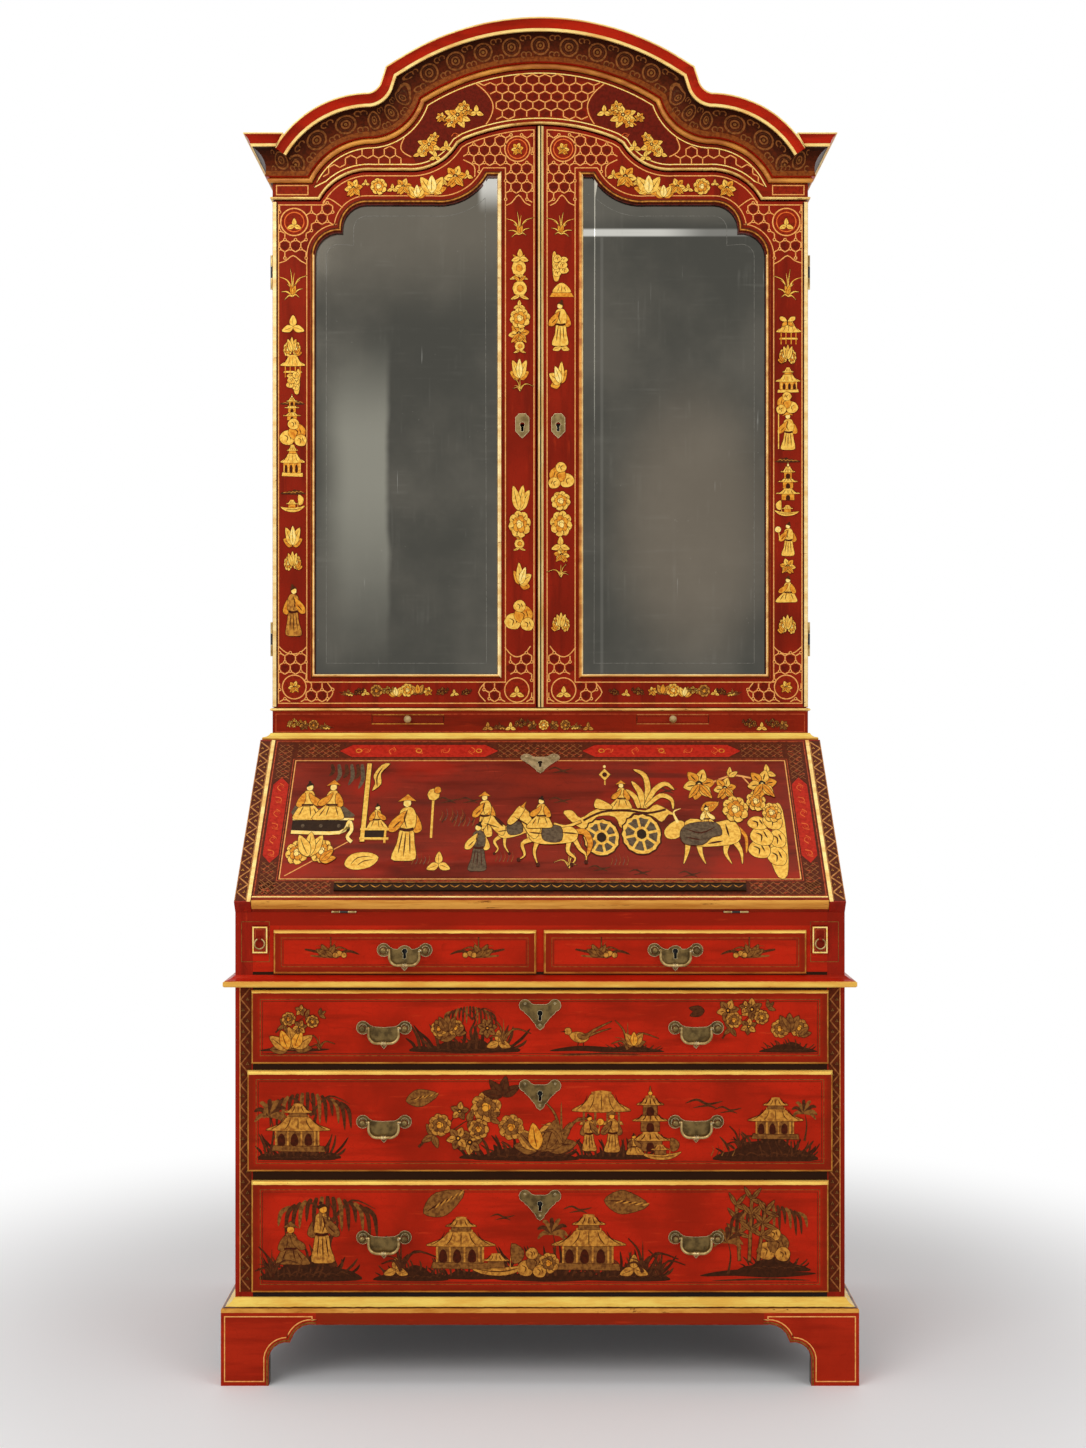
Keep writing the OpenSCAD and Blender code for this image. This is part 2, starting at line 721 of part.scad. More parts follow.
// A barrel and its link along y to a plate whose face is at z = side * leaf_t
module fall_barrel(x, h, side) {
    translate([x, 0, 0]) {
        hinge_bar(fall_knuckle_r, h);
        translate([-h / 2, 0, side < 0 ? -leaf_t : 0]) cube([h, leaf_start + 1, leaf_t]);
    }
}
module fall_plate(side) {
    translate([-fall_hinge_len / 2, leaf_start, side < 0 ? -leaf_t : 0])
        cube([fall_hinge_len, hinge_leaf_w, leaf_t]);
}
module fall_hinge_fixed() {
    third = fall_hinge_len / 3;
    for (s = [-1, 1]) fall_barrel(s * (third + 0.1), third - 0.2, -1);
    fall_plate(-1);
    hinge_bar(fall_pin_r, fall_hinge_len);
}
module fall_hinge_moving() {
    third = fall_hinge_len / 3;
    fall_plate(1);
    difference() {
        fall_barrel(0, third - 0.2, 1);
        hinge_bar(fall_pin_r + pin_gap, third);
    }
}
module hinge_pins() {
    color("goldenrod") placed() each_side() {
        for (z = door_hinge_z) door_hinge_fixed(z);
        translate([fall_hinge_x, hinge_y, writing_z]) fall_hinge_fixed();
    }
}

// Fall, in its own frame
fall_hw = case_hw - facing_w - fall_side_gap;
fall_lock_u = fall_len - 61;
lock_size = [60, 36, 9];
module fall_board() {
    edge_r = 8;
    profile = concat(
        [[0, 0]], [[0, fall_t - edge_r]], arc([0, fall_t - edge_r + 0.1], [edge_r, fall_t], 2.3, 6),
        [[edge_r, fall_t], [fall_len, fall_t], [fall_len, 0]]
    );
    color("darkred") placed() on_slope() difference() {
        along_x(-fall_hw, fall_hw) polygon(profile);
        each_side() translate([fall_hinge_x, 0, 0]) fall_hinge_space(1);
        translate([-lock_size.x / 2, fall_lock_u - lock_size.y / 2, -1])
            cube([lock_size.x, lock_size.y, lock_size.z + 1]);
        translate([0, fall_lock_u, 0]) linear_extrude(fall_t + 1) keyhole();
    }
}
module book_rest() {
    profile = concat([[0, 0], [0, 0.6 * rest_t]],
        arc([0.15 * rest_w, 0.7 * rest_t], [0.6 * rest_w, rest_t], 0.8, 4),
        [[0.6 * rest_w, rest_t], [0.85 * rest_w, rest_t], [rest_w, 0.5 * rest_t], [rest_w, 0]]);
    color("darkolivegreen") placed() on_slope() translate([0, rest_up, fall_t])
        along_x(-rest_len / 2, rest_len / 2) polygon(profile);
}
module fall_brasses() {
    color("darkkhaki") placed() on_slope() {
        translate([0, fall_lock_u, fall_t]) escutcheon();
        translate([-lock_size.x / 2, fall_lock_u - lock_size.y / 2, 0]) difference() {
            cube(lock_size);
            translate([lock_size.x / 2, lock_size.y / 2, 1]) linear_extrude(lock_size.z) keyhole();
        }
        each_side() translate([fall_hinge_x, 0, 0]) fall_hinge_moving();
    }
}

// Plates, keyholes and pins
module keyhole() {
    circle(r = 4.3);
    translate([-2.4, -12]) square([4.8, 12]);
}
module plate_pin() {
    rotate_extrude() polygon([[0, 0], [1.6, 0], [1.5, 0.6], [1, 1.1], [0, 1.3]]);
}
module escutcheon_shape() {
    e = escutcheon_w / 2;
    half = concat(
        [[0, -0.8] * e], arc([-0.18, -0.67] * e, [-0.33, -0.42] * e, -0.03 * e, 3),
        arc([-0.33, -0.42] * e, [-0.89, 0.12] * e, -0.045 * e, 4), [[-0.95, 0.42] * e, [-0.57, 0.61] * e],
        arc([-0.51, 0.58] * e, [-0.15, 0.42] * e, -0.06 * e, 4), [[0, 0.42] * e]
    );
    polygon(concat(half, [for (i = [len(half) - 2:-1:1]) [-half[i].x, half[i].y]]));
    for (s = [-1, 1]) translate([s * 0.714 * e, 0.372 * e]) circle(r = 0.286 * e);
    translate([0, -0.54 * e]) circle(r = 0.21 * e);
}
escutcheon_pins = [[-0.714, 0.46], [0.714, 0.46], [0, -0.565]] * escutcheon_w / 2;
module escutcheon() {
    difference() {
        linear_extrude(plate_t) escutcheon_shape();
        translate([0, 0, -1]) linear_extrude(plate_t + 2) keyhole();
    }
    for (q = escutcheon_pins) translate([q.x, q.y, plate_t]) plate_pin();
}
module handle_plate_shape() {
    p = post_x;
    half = concat(
        [[0, -p], [-0.12, -0.87] * p], arc([-0.15, -0.81] * p, [-0.33, -0.76] * p, 0.018 * p, 2),
        arc([-0.33, -0.76] * p, [-0.72, -0.36] * p, 0.09 * p, 5),
        [[-0.73, -0.21] * p, [-1, -0.27] * p, [-1, 0.27] * p],
        arc([-0.84, 0.26] * p, [-0.36, 0.015] * p, -0.048 * p, 4), [[0, 0.015] * p]
    );
    polygon(concat(half, [for (i = [len(half) - 2:-1:1]) [-half[i].x, half[i].y]]));
    for (s = [-1, 1]) translate([s * p, 0]) circle(r = 0.316 * p);
}
neck_r = 4.2;
pin_r = 1.7;
pin_depth = 3;
module handle_post(side) {
    difference() {
        union() {
            cylinder(r = neck_r, h = ball_up);
            cylinder(r = neck_r + 2, h = 1.5);
            translate([0, 0, ball_up]) sphere(r = ball_r);
        }
        translate([-side * (neck_r + 3), 0, pivot_up]) rotate([0, side * 90, 0])
            cylinder(r = pin_r + pin_gap, h = pin_depth + 3 + 0.3);
    }
}
// Plate and posts of a handle, at the middle between its posts
module handle(with_keyhole = false) {
    difference() {
        linear_extrude(plate_t) union() {
            handle_plate_shape();
            if (with_keyhole) translate([0, -6]) circle(r = 13);
        }
        if (with_keyhole) translate([0, -2, -1]) linear_extrude(plate_t + 2) keyhole();
    }
    for (s = [-1, 1]) translate([s * post_x, 0, plate_t]) handle_post(s);
}
module bail_half() {
    corner_r = 14;
    reach = post_x - neck_r + pin_depth;
    translate([bail_x, 0, 0]) {
        sphere(r = bail_r + 0.3);
        rotate([0, 90, 0]) cylinder(r = pin_r, h = reach - bail_x);
        rotate([90, 0, 0]) cylinder(r = bail_r, h = bail_drop - corner_r);
    }
    translate([bail_x - corner_r, corner_r - bail_drop, 0]) rotate([0, 0, -90])
        rotate_extrude(angle = 90) translate([corner_r, 0]) circle(r = bail_r);
    translate([0, -bail_drop, 0]) rotate([0, 90, 0]) cylinder(r = bail_r, h = bail_x - corner_r);
}
module bail() {
    translate([0, 0, plate_t + pivot_up]) {
        each_side() bail_half();
        translate([0, -bail_drop, 0]) rotate([0, 90, 0]) rotate_extrude()
            polygon([[0, -6], [bail_r, -6], [bail_r + 1.2, -3], [bail_r + 0.6, -1], [bail_r + 1.6, 0],
                [bail_r + 0.6, 1], [bail_r + 1.2, 3], [bail_r, 6], [0, 6]]);
    }
}

// Doors. Everything is drawn on the left and mirrored for the right one, but for the seam
module one_side(side) {
    if (side < 0) children();
    else mirror([1, 0, 0]) children();
}
function seam_x(side) = side < 0 ? seam_left : -seam_right;
door_lock_z = door_z + door_lock_up;
door_lock_x = -31.5;
door_lock_size = [34, 60, 11];
door_rear = cab_y + door_t - seat_gap;
// The moulding around the glass: rings of [inner, outer] distance from the sight edge and height
sight_steps = [[0, 9, 2], [1.5, 7, 4]];
module door_lock_body(more = 0) {
    on_face(door_lock_x, door_rear + more, door_lock_z)
        translate([-door_lock_size.x / 2, -door_lock_size.y / 2, 0])
        cube([door_lock_size.x, door_lock_size.y, door_lock_size.z + more]);
}
module door_frame(side) {
    edge = seam_x(side);
    color("darkred") placed() one_side(side) {
        difference() {
            upright(cab_y, door_rear - cab_y) difference() {
                intersection() {
                    polygon(concat([[-cab_hw, door_z]], door_line(), [[cab_hw, door_z]]));
                    translate([-cab_hw, door_z]) square([cab_hw + edge, crown_z + crown_rise + 1]);
                }
                polygon(sight_edge());
            }
            upright(cab_y + sight_t, door_t) polygon(grown(sight_edge(), rebate));
            mirror([1, 0, 0]) for (z = door_hinge_z) door_leaf(z, door_leaf_y, 0.5);
            if (side > 0) door_lock_body(1);
            on_face(door_lock_x, cab_y + door_t, door_lock_z) linear_extrude(door_t + 1) keyhole();
        }
        for (step = sight_steps) upright(cab_y - step[2], step[2]) difference() {
            polygon(grown(sight_edge(), step[1]));
            polygon(grown(sight_edge(), step[0]));
        }
    }
}
module door_mirror(side) {
    color("lightslategray") placed() one_side(side)
        upright(cab_y + sight_t, glass_t) polygon(grown(sight_edge(), rebate - 0.5));
}
module door_backing(side) {
    color("saddlebrown") placed() one_side(side)
        upright(cab_y + sight_t + glass_t, backing_t) polygon(grown(sight_edge(), rebate - 0.2));
}
module door_brasses(side) {
    color("darkkhaki") placed() {
        one_side(side) on_face(door_lock_x, cab_y, door_lock_z) difference() {
            linear_extrude(plate_t) polygon([for (q = [[-0.5, 1.78], [-1, 1.2], [-1, -0.8], [-0.4, -1.45],
                [0, -1.83], [0.4, -1.45], [1, -0.8], [1, 1.2], [0.5, 1.78]]) q * door_plate_w / 2]);
            translate([0, 2, -1]) linear_extrude(plate_t + 2) keyhole();
        }
        if (side > 0) one_side(side) difference() {
            door_lock_body();
            on_face(door_lock_x, door_rear - 1, door_lock_z) linear_extrude(door_lock_size.z) keyhole();
        }
        one_side(side) mirror([1, 0, 0]) for (z = door_hinge_z) door_hinge_moving(z);
    }
}
module meeting_astragal() {
    w = astragal_w;
    out = astragal_out;
    top = crown_z + crown_rise - 1;
    color("gold") placed() translate([astragal_x, cab_y, door_z])
        linear_extrude(top - door_z) polygon(concat(
            [[w, 0], [0, 0], [0, -0.4 * out]],
            arc([0.1 * w, -0.5 * out], [0.9 * w, -0.5 * out], -0.5 * out, 6),
            [[0.9 * w, -0.5 * out], [w, -0.4 * out]]
        ));
}

// Candle slides, a hair proud of the rail, each with its knob
slide_proud = 0.5;
knob_r = 6.5;
knob_neck_r = 2.6;
rose_r = 4.5;
rose_t = 1.5;
module candle_slide(side) {
    front = cab_y - slide_proud;
    color("firebrick") placed() translate([side * candle_x, 0, 0])
        board([-candle_w / 2, candle_w / 2], [front, cab_y + candle_len], [slide_z, slide_z + candle_t]);
    color("darkkhaki") placed() on_face(side * candle_x, front, slide_z + candle_t / 2) {
        cylinder(r = rose_r, h = rose_t);
        cylinder(r = knob_neck_r, h = knob_r);
        translate([0, 0, 1.4 * knob_r]) sphere(r = knob_r);
    }
}

// Fall supports, each with the stud that carries its ring
stud_up = 23;
support_x = inner_hw - support_bay + support_side_gap;
support_lip = 1.5;
support_face_y = -seat_gap - 3;
module fall_support(side) {
    x1 = support_x + support_w;
    z1 = support_z + support_h;
    color("firebrick") placed() one_side(-side) {
        board([support_x, x1], [-seat_gap, support_len], [support_z, z1]);
        board([support_x - support_lip, x1 + support_lip], [support_face_y, -seat_gap],
            [support_z - support_lip, z1]);
    }
    color("darkkhaki") placed() one_side(-side)
        on_face(support_x + support_w / 2, support_face_y, support_z + stud_up) difference() {
            union() {
                cylinder(r = 4, h = 1);
                cylinder(r = 2.6, h = 7);
                translate([0, 0, 6]) sphere(r = 3.2);
            }
            translate([-5, 0, ring_up]) rotate([0, 90, 0]) cylinder(r = ring_rod + 0.8, h = 10);
        }
}
ring_rod = 1.2;
ring_up = 5;
module support_ring(side) {
    color("darkkhaki") placed() one_side(-side)
        on_face(support_x + support_w / 2, support_face_y, support_z + stud_up)
        translate([0, -ring_r, ring_up])
        rotate_extrude() translate([ring_r, 0]) circle(r = ring_rod);
}

// A board's outline from above or from the side, as [across, y], with its front edges rounded over
function rounded_over(span) =
    let (r = min(lip_round, lip_t - 1))
    concat(
        [[span[0], -seat_gap]],
        arc([span[0], face_y + r], [span[0] + r, face_y], -0.29 * r, 4), [[span[0] + r, face_y]],
        arc([span[1] - r, face_y], [span[1], face_y + r], -0.29 * r, 4), [[span[1], face_y + r]],
        [[span[1], -seat_gap]]
    );
module lip_board(x, z) {
    intersection() {
        along_x(x[0], x[1]) polygon([for (q = rounded_over(z)) [q.y, q.x]]);
        translate([0, 0, z[0]]) linear_extrude(z[1] - z[0]) polygon(rounded_over(x));
    }
}

// Drawers. A front board laps over its opening; its box runs behind it
function front_mid_z(i) = drawer_z[i] + front_h[i] / 2;
module front_board(x0, x1, z0, z1, open_x0, open_x1) {
    g = drawer_side_gap;
    lip_board([x0, x1], [z0, z1]);
    board([open_x0 + g, open_x1 - g], [-seat_gap, front_t], [z0 + lip + run_gap, z1 - lip - 1]);
}
module box(open_x0, open_x1, z0, z1) {
    x0 = open_x0 + drawer_side_gap;
    x1 = open_x1 - drawer_side_gap;
    y1 = front_t + box_d;
    low = z0 + lip + run_gap;
    high = z1 - lip - drawer_top_gap;
    board([x0, x0 + box_t], [front_t, y1], [low, high]);
    board([x1 - box_t, x1], [front_t, y1], [low, high]);
    board([x0 + box_t, x1 - box_t], [y1 - box_t, y1], [low, high]);
    board([x0 + box_t, x1 - box_t], [front_t, y1 - box_t], [low, low + box_bottom_t]);
}
// The lock behind a keyhole, let into the back of a front board
module drawer_lock(z_key, tall) {
    difference() {
        translate([-lock_size.x / 2, front_t - lock_size.z, z_key - tall * 0.6])
            cube([lock_size.x, lock_size.z, tall]);
        on_face(0, front_t - 1, z_key) linear_extrude(lock_size.z) keyhole();
    }
}
module lock_space(z_key, tall) {
    translate([-lock_size.x / 2, front_t - lock_size.z, z_key - tall * 0.6])
        cube([lock_size.x, lock_size.z + 1, tall]);
    on_face(0, front_t, z_key) linear_extrude(front_t + lip_t + 2) keyhole();
}
function key_z(i) = drawer_z[i] + front_h[i] - lock_down;
module long_drawer_front(i) {
    color("red") placed() difference() {
        front_board(-front_w[i] / 2, front_w[i] / 2, drawer_z[i], drawer_z[i] + front_h[i],
            -inner_hw, inner_hw);
        lock_space(key_z(i), lock_size.y);
    }
}
module long_drawer_box(i) {
    color("saddlebrown") placed()
        box(-inner_hw, inner_hw, drawer_z[i], drawer_z[i] + front_h[i]);
}
module long_drawer_brasses(i) {
    color("darkkhaki") placed() {
        for (s = [-1, 1]) on_face(s * handle_x, face_y, front_mid_z(i)) handle();
        on_face(0, face_y, key_z(i)) escutcheon();
        drawer_lock(key_z(i), lock_size.y);
    }
}
module long_bail(i, side) {
    color("darkkhaki") placed() on_face(side * handle_x, face_y, front_mid_z(i)) bail();
}

short_mid_x = (short_gap + bay_x + lip) / 2;
short_mid_z = short_z + short_front_h / 2 + 4;
short_key_z = short_mid_z - 2;
short_lock_h = 26;
module short_drawer(side) {
    z1 = short_z + short_front_h;
    color("red") placed() one_side(-side) {
        difference() {
            front_board(short_gap, bay_x + lip, short_z, z1, muntin_x, bay_x);
            translate([short_mid_x, 0, 0]) lock_space(short_key_z, short_lock_h);
        }
        box(muntin_x, bay_x, short_z, z1);
    }
}
module short_drawer_brasses(side) {
    color("darkkhaki") placed() {
        translate([side * short_mid_x, 0, 0]) {
            on_face(0, face_y, short_mid_z) handle(true);
            drawer_lock(short_key_z, short_lock_h);
        }
    }
}
module short_bail(side) {
    color("darkkhaki") placed() on_face(side * short_mid_x, face_y, short_mid_z) bail();
}

bureau_sides();
bureau_back();
bureau_bottom();
desk_top();
writing_board();
drawer_dividers();
support_partitions();
pigeonhole_nest();
waist_moulding();
base_moulding();
bracket_feet();
desk_top_moulding();
cabinet_sides();
cabinet_base();
cabinet_back();
cabinet_shelves();
frieze_board();
cabinet_roof();
cornice();
cabinet_beads();
hinge_pins();
fall_board();
book_rest();
fall_brasses();
door_frame(-1);  // door_frame_left
door_frame(1);  // door_frame_right
door_mirror(-1);  // door_mirror_left
door_mirror(1);  // door_mirror_right
door_backing(-1);  // door_backing_left
door_backing(1);  // door_backing_right
door_brasses(-1);  // door_brasses_left
door_brasses(1);  // door_brasses_right
meeting_astragal();
candle_slide(-1);  // candle_slide_left
candle_slide(1);  // candle_slide_right
fall_support(-1);  // fall_support_left
fall_support(1);  // fall_support_right
support_ring(-1);  // support_ring_left
support_ring(1);  // support_ring_right
long_drawer_front(2);  // long_drawer_front_1
long_drawer_front(1);  // long_drawer_front_2
long_drawer_front(0);  // long_drawer_front_3
long_drawer_box(2);  // long_drawer_box_1
long_drawer_box(1);  // long_drawer_box_2
long_drawer_box(0);  // long_drawer_box_3
long_drawer_brasses(2);  // long_drawer_brasses_1
long_drawer_brasses(1);  // long_drawer_brasses_2
long_drawer_brasses(0);  // long_drawer_brasses_3
long_bail(2, -1);  // bail_1_left
long_bail(2, 1);  // bail_1_right
long_bail(1, -1);  // bail_2_left
long_bail(1, 1);  // bail_2_right
long_bail(0, -1);  // bail_3_left
long_bail(0, 1);  // bail_3_right
short_drawer(-1);  // short_drawer_left
short_drawer(1);  // short_drawer_right
short_drawer_brasses(-1);  // short_drawer_brasses_left
short_drawer_brasses(1);  // short_drawer_brasses_right
short_bail(-1);  // short_bail_left
short_bail(1);  // short_bail_right
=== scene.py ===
"""Looks of the scarlet japanned bureau bookcase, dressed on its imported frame. Lengths are in millimetres."""

import cmath
import math
import random

import bmesh
import bpy
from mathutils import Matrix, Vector


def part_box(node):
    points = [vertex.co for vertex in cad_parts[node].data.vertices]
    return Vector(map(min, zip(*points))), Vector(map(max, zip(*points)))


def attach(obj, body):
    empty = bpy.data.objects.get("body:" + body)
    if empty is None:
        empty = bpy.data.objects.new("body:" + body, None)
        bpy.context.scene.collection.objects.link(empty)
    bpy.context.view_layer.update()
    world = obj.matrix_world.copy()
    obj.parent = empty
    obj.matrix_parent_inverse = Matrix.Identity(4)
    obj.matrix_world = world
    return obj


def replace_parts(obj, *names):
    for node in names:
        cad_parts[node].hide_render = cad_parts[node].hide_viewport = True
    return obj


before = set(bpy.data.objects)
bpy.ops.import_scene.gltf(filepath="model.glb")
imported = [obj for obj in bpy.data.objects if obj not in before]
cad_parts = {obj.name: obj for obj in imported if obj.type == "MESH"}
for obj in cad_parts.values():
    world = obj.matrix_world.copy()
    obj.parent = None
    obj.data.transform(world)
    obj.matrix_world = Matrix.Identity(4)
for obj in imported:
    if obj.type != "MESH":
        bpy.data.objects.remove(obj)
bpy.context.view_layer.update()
rng = random.Random(1725)
MM = 0.001


# Places taken from the frame
def low(node):
    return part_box(node)[0] / MM


def high(node):
    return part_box(node)[1] / MM


CASE_Y = low("bureau_bottom").y
CASE_HW = high("bureau_sides").x
CASE_BACK = high("bureau_back").y
DESK_Z = high("bureau_sides").z
WRITING_Z = high("writing_board").z
CAB_Y = low("cabinet_base").y
CAB_HW = high("cabinet_sides").x
DOOR_Z = low("door_frame_left").z
DOOR_SIDE_H = 886
SHOULDER_Z = DOOR_Z + DOOR_SIDE_H
CORNICE_Z = SHOULDER_Z + 40
FACING_W = 26
FALL_HW = high("fall_board").x
FALL_T = 22
FALL_LEN = 395
FALL_ANGLE = math.radians(40.4)
HINGE_Y = CASE_Y - 1


# Colours as they look, in sRGB from 0 to 255
def srgb(r, g, b):
    return tuple(((c / 255 + 0.055) / 1.055) ** 2.4 for c in (r, g, b)) + (1.0,)


SCARLET = srgb(192, 34, 14)
SCARLET_DEEP = srgb(138, 24, 8)
SCARLET_LIGHT = srgb(206, 58, 26)
CRIMSON = srgb(140, 30, 12)
CRIMSON_DEEP = srgb(94, 18, 6)
CRIMSON_LIGHT = srgb(166, 46, 20)
BROWN_BAND = srgb(92, 32, 12)
BLACK_BROWN = srgb(40, 16, 8)
GOLD_BRIGHT = srgb(246, 200, 92)
GOLD_PALE = srgb(255, 226, 140)
GOLD_ORANGE = srgb(208, 132, 40)
GOLD_BROWN = srgb(140, 78, 26)
PINK_GOLD = srgb(234, 150, 92)
BRASS_DARK = srgb(78, 60, 30)
BRASS_MID = srgb(124, 100, 56)
BRASS_HIGHLIGHT = srgb(252, 232, 182)
MIRROR_DARK = srgb(82, 80, 73)
MIRROR_REFLECTION = srgb(142, 140, 128)
WOOD_DARK = srgb(112, 70, 38)
WOOD_LIGHT = srgb(158, 108, 64)


WARM = (1.0, 0.45, 0.22)


class Finish:
    """A material built round one Principled shader, its patterns in object coordinates"""

    def __init__(self, name, roughness, metallic=0.0, specular=0.3, tint=(1.0, 1.0, 1.0)):
        self.material = bpy.data.materials.new(name)
        self.material.use_nodes = True
        self.nodes = self.material.node_tree.nodes
        self.shader = self.nodes["Principled BSDF"]
        self.shader.inputs["Roughness"].default_value = roughness
        self.shader.inputs["Metallic"].default_value = metallic
        self.shader.inputs["Specular IOR Level"].default_value = specular
        self.shader.inputs["Specular Tint"].default_value = tint + (1.0,)
        self.place = self.nodes.new("ShaderNodeTexCoord").outputs["Object"]
        self.height = None

    def link(self, source, target):
        if isinstance(source, bpy.types.NodeSocket):
            self.material.node_tree.links.new(source, target)
        else:
            target.default_value = source

    def node(self, kind, output, **inputs):
        made = self.nodes.new(kind)
        for key, value in inputs.items():
            self.link(value, made.inputs[key.replace("_", " ")])
        return made.outputs[output]

    def math(self, operation, a, b=0.0):
        made = self.nodes.new("ShaderNodeMath")
        made.operation = operation
        self.link(a, made.inputs[0])
        self.link(b, made.inputs[1])
        return made.outputs[0]

    def axis(self, name):
        return self.node("ShaderNodeSeparateXYZ", name, Vector=self.place)

    def along(self, way):
        made = self.nodes.new("ShaderNodeVectorMath")
        made.operation = "DOT_PRODUCT"
        self.link(self.place, made.inputs[0])
        made.inputs[1].default_value = way
        return made.outputs["Value"]

    def stretched(self, stretch, shift=0.0):
        return self.node("ShaderNodeMapping", "Vector", Vector=self.place, Scale=stretch,
                         Location=(shift, 0.7 * shift, 1.3 * shift))

    def noise(self, scale, stretch=(1, 1, 1), detail=4.0, shift=0.0, rough=0.55):
        return self.node("ShaderNodeTexNoise", "Fac", Vector=self.stretched(stretch, shift), Scale=scale,
                         Detail=detail, Roughness=rough)

    def cells(self, scale, stretch=(1, 1, 1), feature="DISTANCE_TO_EDGE"):
        made = self.nodes.new("ShaderNodeTexVoronoi")
        made.feature = feature
        self.link(self.stretched(stretch), made.inputs["Vector"])
        made.inputs["Scale"].default_value = scale
        return made.outputs["Distance"]

    def shades(self, board):
        """One random number for each whole step of a value"""
        made = self.nodes.new("ShaderNodeTexWhiteNoise")
        made.noise_dimensions = "1D"
        self.link(self.math("FLOOR", board), made.inputs["W"])
        return made.outputs["Value"]

    def span(self, value, start, end, to=(0.0, 1.0)):
        made = self.nodes.new("ShaderNodeMapRange")
        made.interpolation_type = "SMOOTHSTEP"
        for name, x in (("From Min", start), ("From Max", end), ("To Min", to[0]), ("To Max", to[1])):
            made.inputs[name].default_value = x
        self.link(value, made.inputs["Value"])
        return made.outputs["Result"]

    def mix(self, factor, a, b):
        made = self.nodes.new("ShaderNodeMix")
        made.data_type = "RGBA"
        self.link(factor, made.inputs[0])
        self.link(a, made.inputs[6])
        self.link(b, made.inputs[7])
        return made.outputs[2]

    def colour(self, value):
        self.link(value, self.shader.inputs["Base Color"])

    def bump(self, height, distance, strength=1.0):
        made = self.nodes.new("ShaderNodeBump")
        made.inputs["Distance"].default_value = distance * MM
        made.inputs["Strength"].default_value = strength
        self.link(height, made.inputs["Height"])
        if self.height:
            self.link(self.height, made.inputs["Normal"])
        self.height = made.outputs["Normal"]
        self.link(self.height, self.shader.inputs["Normal"])

    def outside(self, centre, half, soft):
        """1 where x and z are past the half sizes round the centre, 0 within, all in mm"""
        wobble = self.math("MULTIPLY", self.math("SUBTRACT", self.noise(90, detail=2), 0.5), 0.0012)
        masks = []
        for name, c, h in (("X", centre[0], half[0]), ("Z", centre[1], half[1])):
            away = self.math("ABSOLUTE", self.math("SUBTRACT", self.axis(name), c * MM))
            masks.append(self.span(self.math("ADD", away, wobble), (h - soft) * MM, (h + soft) * MM))
        return self.math("MAXIMUM", *masks)


def lacquer_layers(finish, base, deep, light, along="x", clouding=0.5):
    """Brushed and rubbed lacquer: clouds, long streaks, specks of dirt and a faint net of cracks"""
    stretch = {"x": (0.12, 1, 1), "z": (1, 1, 0.12)}[along]
    clouds = finish.span(finish.noise(7, detail=5), 0.38, 0.68)
    streaks = finish.span(finish.noise(46, stretch, 6, 3.1), 0.46, 0.7)
    rubbed = finish.span(finish.noise(150, stretch, 5, 7.7), 0.6, 0.78)
    specks = finish.span(finish.noise(420, detail=3, shift=1.9), 0.66, 0.72)
    cracks = finish.span(finish.cells(70), 0.0, 0.02, (0.45, 0.0))
    value = finish.mix(clouds, base, finish.mix(clouding, base, deep))
    value = finish.mix(finish.math("MULTIPLY", streaks, 0.75), value, deep)
    value = finish.mix(finish.math("MULTIPLY", rubbed, 0.55), value, light)
    value = finish.mix(finish.math("MULTIPLY", specks, 0.6), value, deep)
    value = finish.mix(cracks, value, deep)
    finish.link(finish.span(streaks, 0, 1, (0.3, 0.46)), finish.shader.inputs["Roughness"])
    finish.bump(finish.noise(46, stretch, 6, 3.1), 0.25)
    finish.bump(finish.noise(900, detail=2), 0.04)
    return value


def lacquer(name, base, deep, light, along="x"):
    finish = Finish(name, 0.35, specular=0.2, tint=WARM)
    finish.colour(lacquer_layers(finish, base, deep, light, along))
    return finish.material


def fall_lacquer():
    """Dull crimson, streaked dark and rubbed through to brighter red in patches"""
    finish = Finish("fall_lacquer", 0.35, specular=0.2, tint=WARM)
    value = lacquer_layers(finish, srgb(138, 34, 17), srgb(84, 18, 10), srgb(176, 56, 34))
    fresh = finish.span(finish.noise(5.5, (0.6, 1, 1), 5, 12.3), 0.52, 0.66)
    value = finish.mix(finish.math("MULTIPLY", fresh, 0.6), value, srgb(176, 32, 14))
    dark = finish.span(finish.noise(22, (0.1, 1, 1), 6, 16.1), 0.56, 0.7)
    finish.colour(finish.mix(finish.math("MULTIPLY", dark, 0.6), value, srgb(66, 18, 10)))
    return finish.material


def gold_layers(finish, bright, deep, worn, stretch=(0.25, 1, 1), wear=0.66):
    """Burnished and rubbed gold over bole"""
    tone = finish.span(finish.noise(60, stretch, 5), 0.35, 0.7)
    value = finish.mix(tone, bright, deep)
    brushed = finish.span(finish.noise(260, stretch, 3, 2.2), 0.5, 0.75)
    value = finish.mix(finish.math("MULTIPLY", brushed, 0.5), value, deep)
    gone = finish.span(finish.noise(210, stretch, 6, 5.5, 0.7), wear, wear + 0.07)
    return finish.mix(gone, value, worn)


def gilding(name, bright=GOLD_BRIGHT, deep=GOLD_ORANGE, worn=GOLD_BROWN, metallic=0.35, wear=0.64):
    finish = Finish(name, 0.38, metallic, 0.4)
    finish.colour(gold_layers(finish, bright, deep, worn, wear=wear))
    finish.bump(finish.noise(240, (0.4, 1, 1), 5), 0.18)
    return finish.material


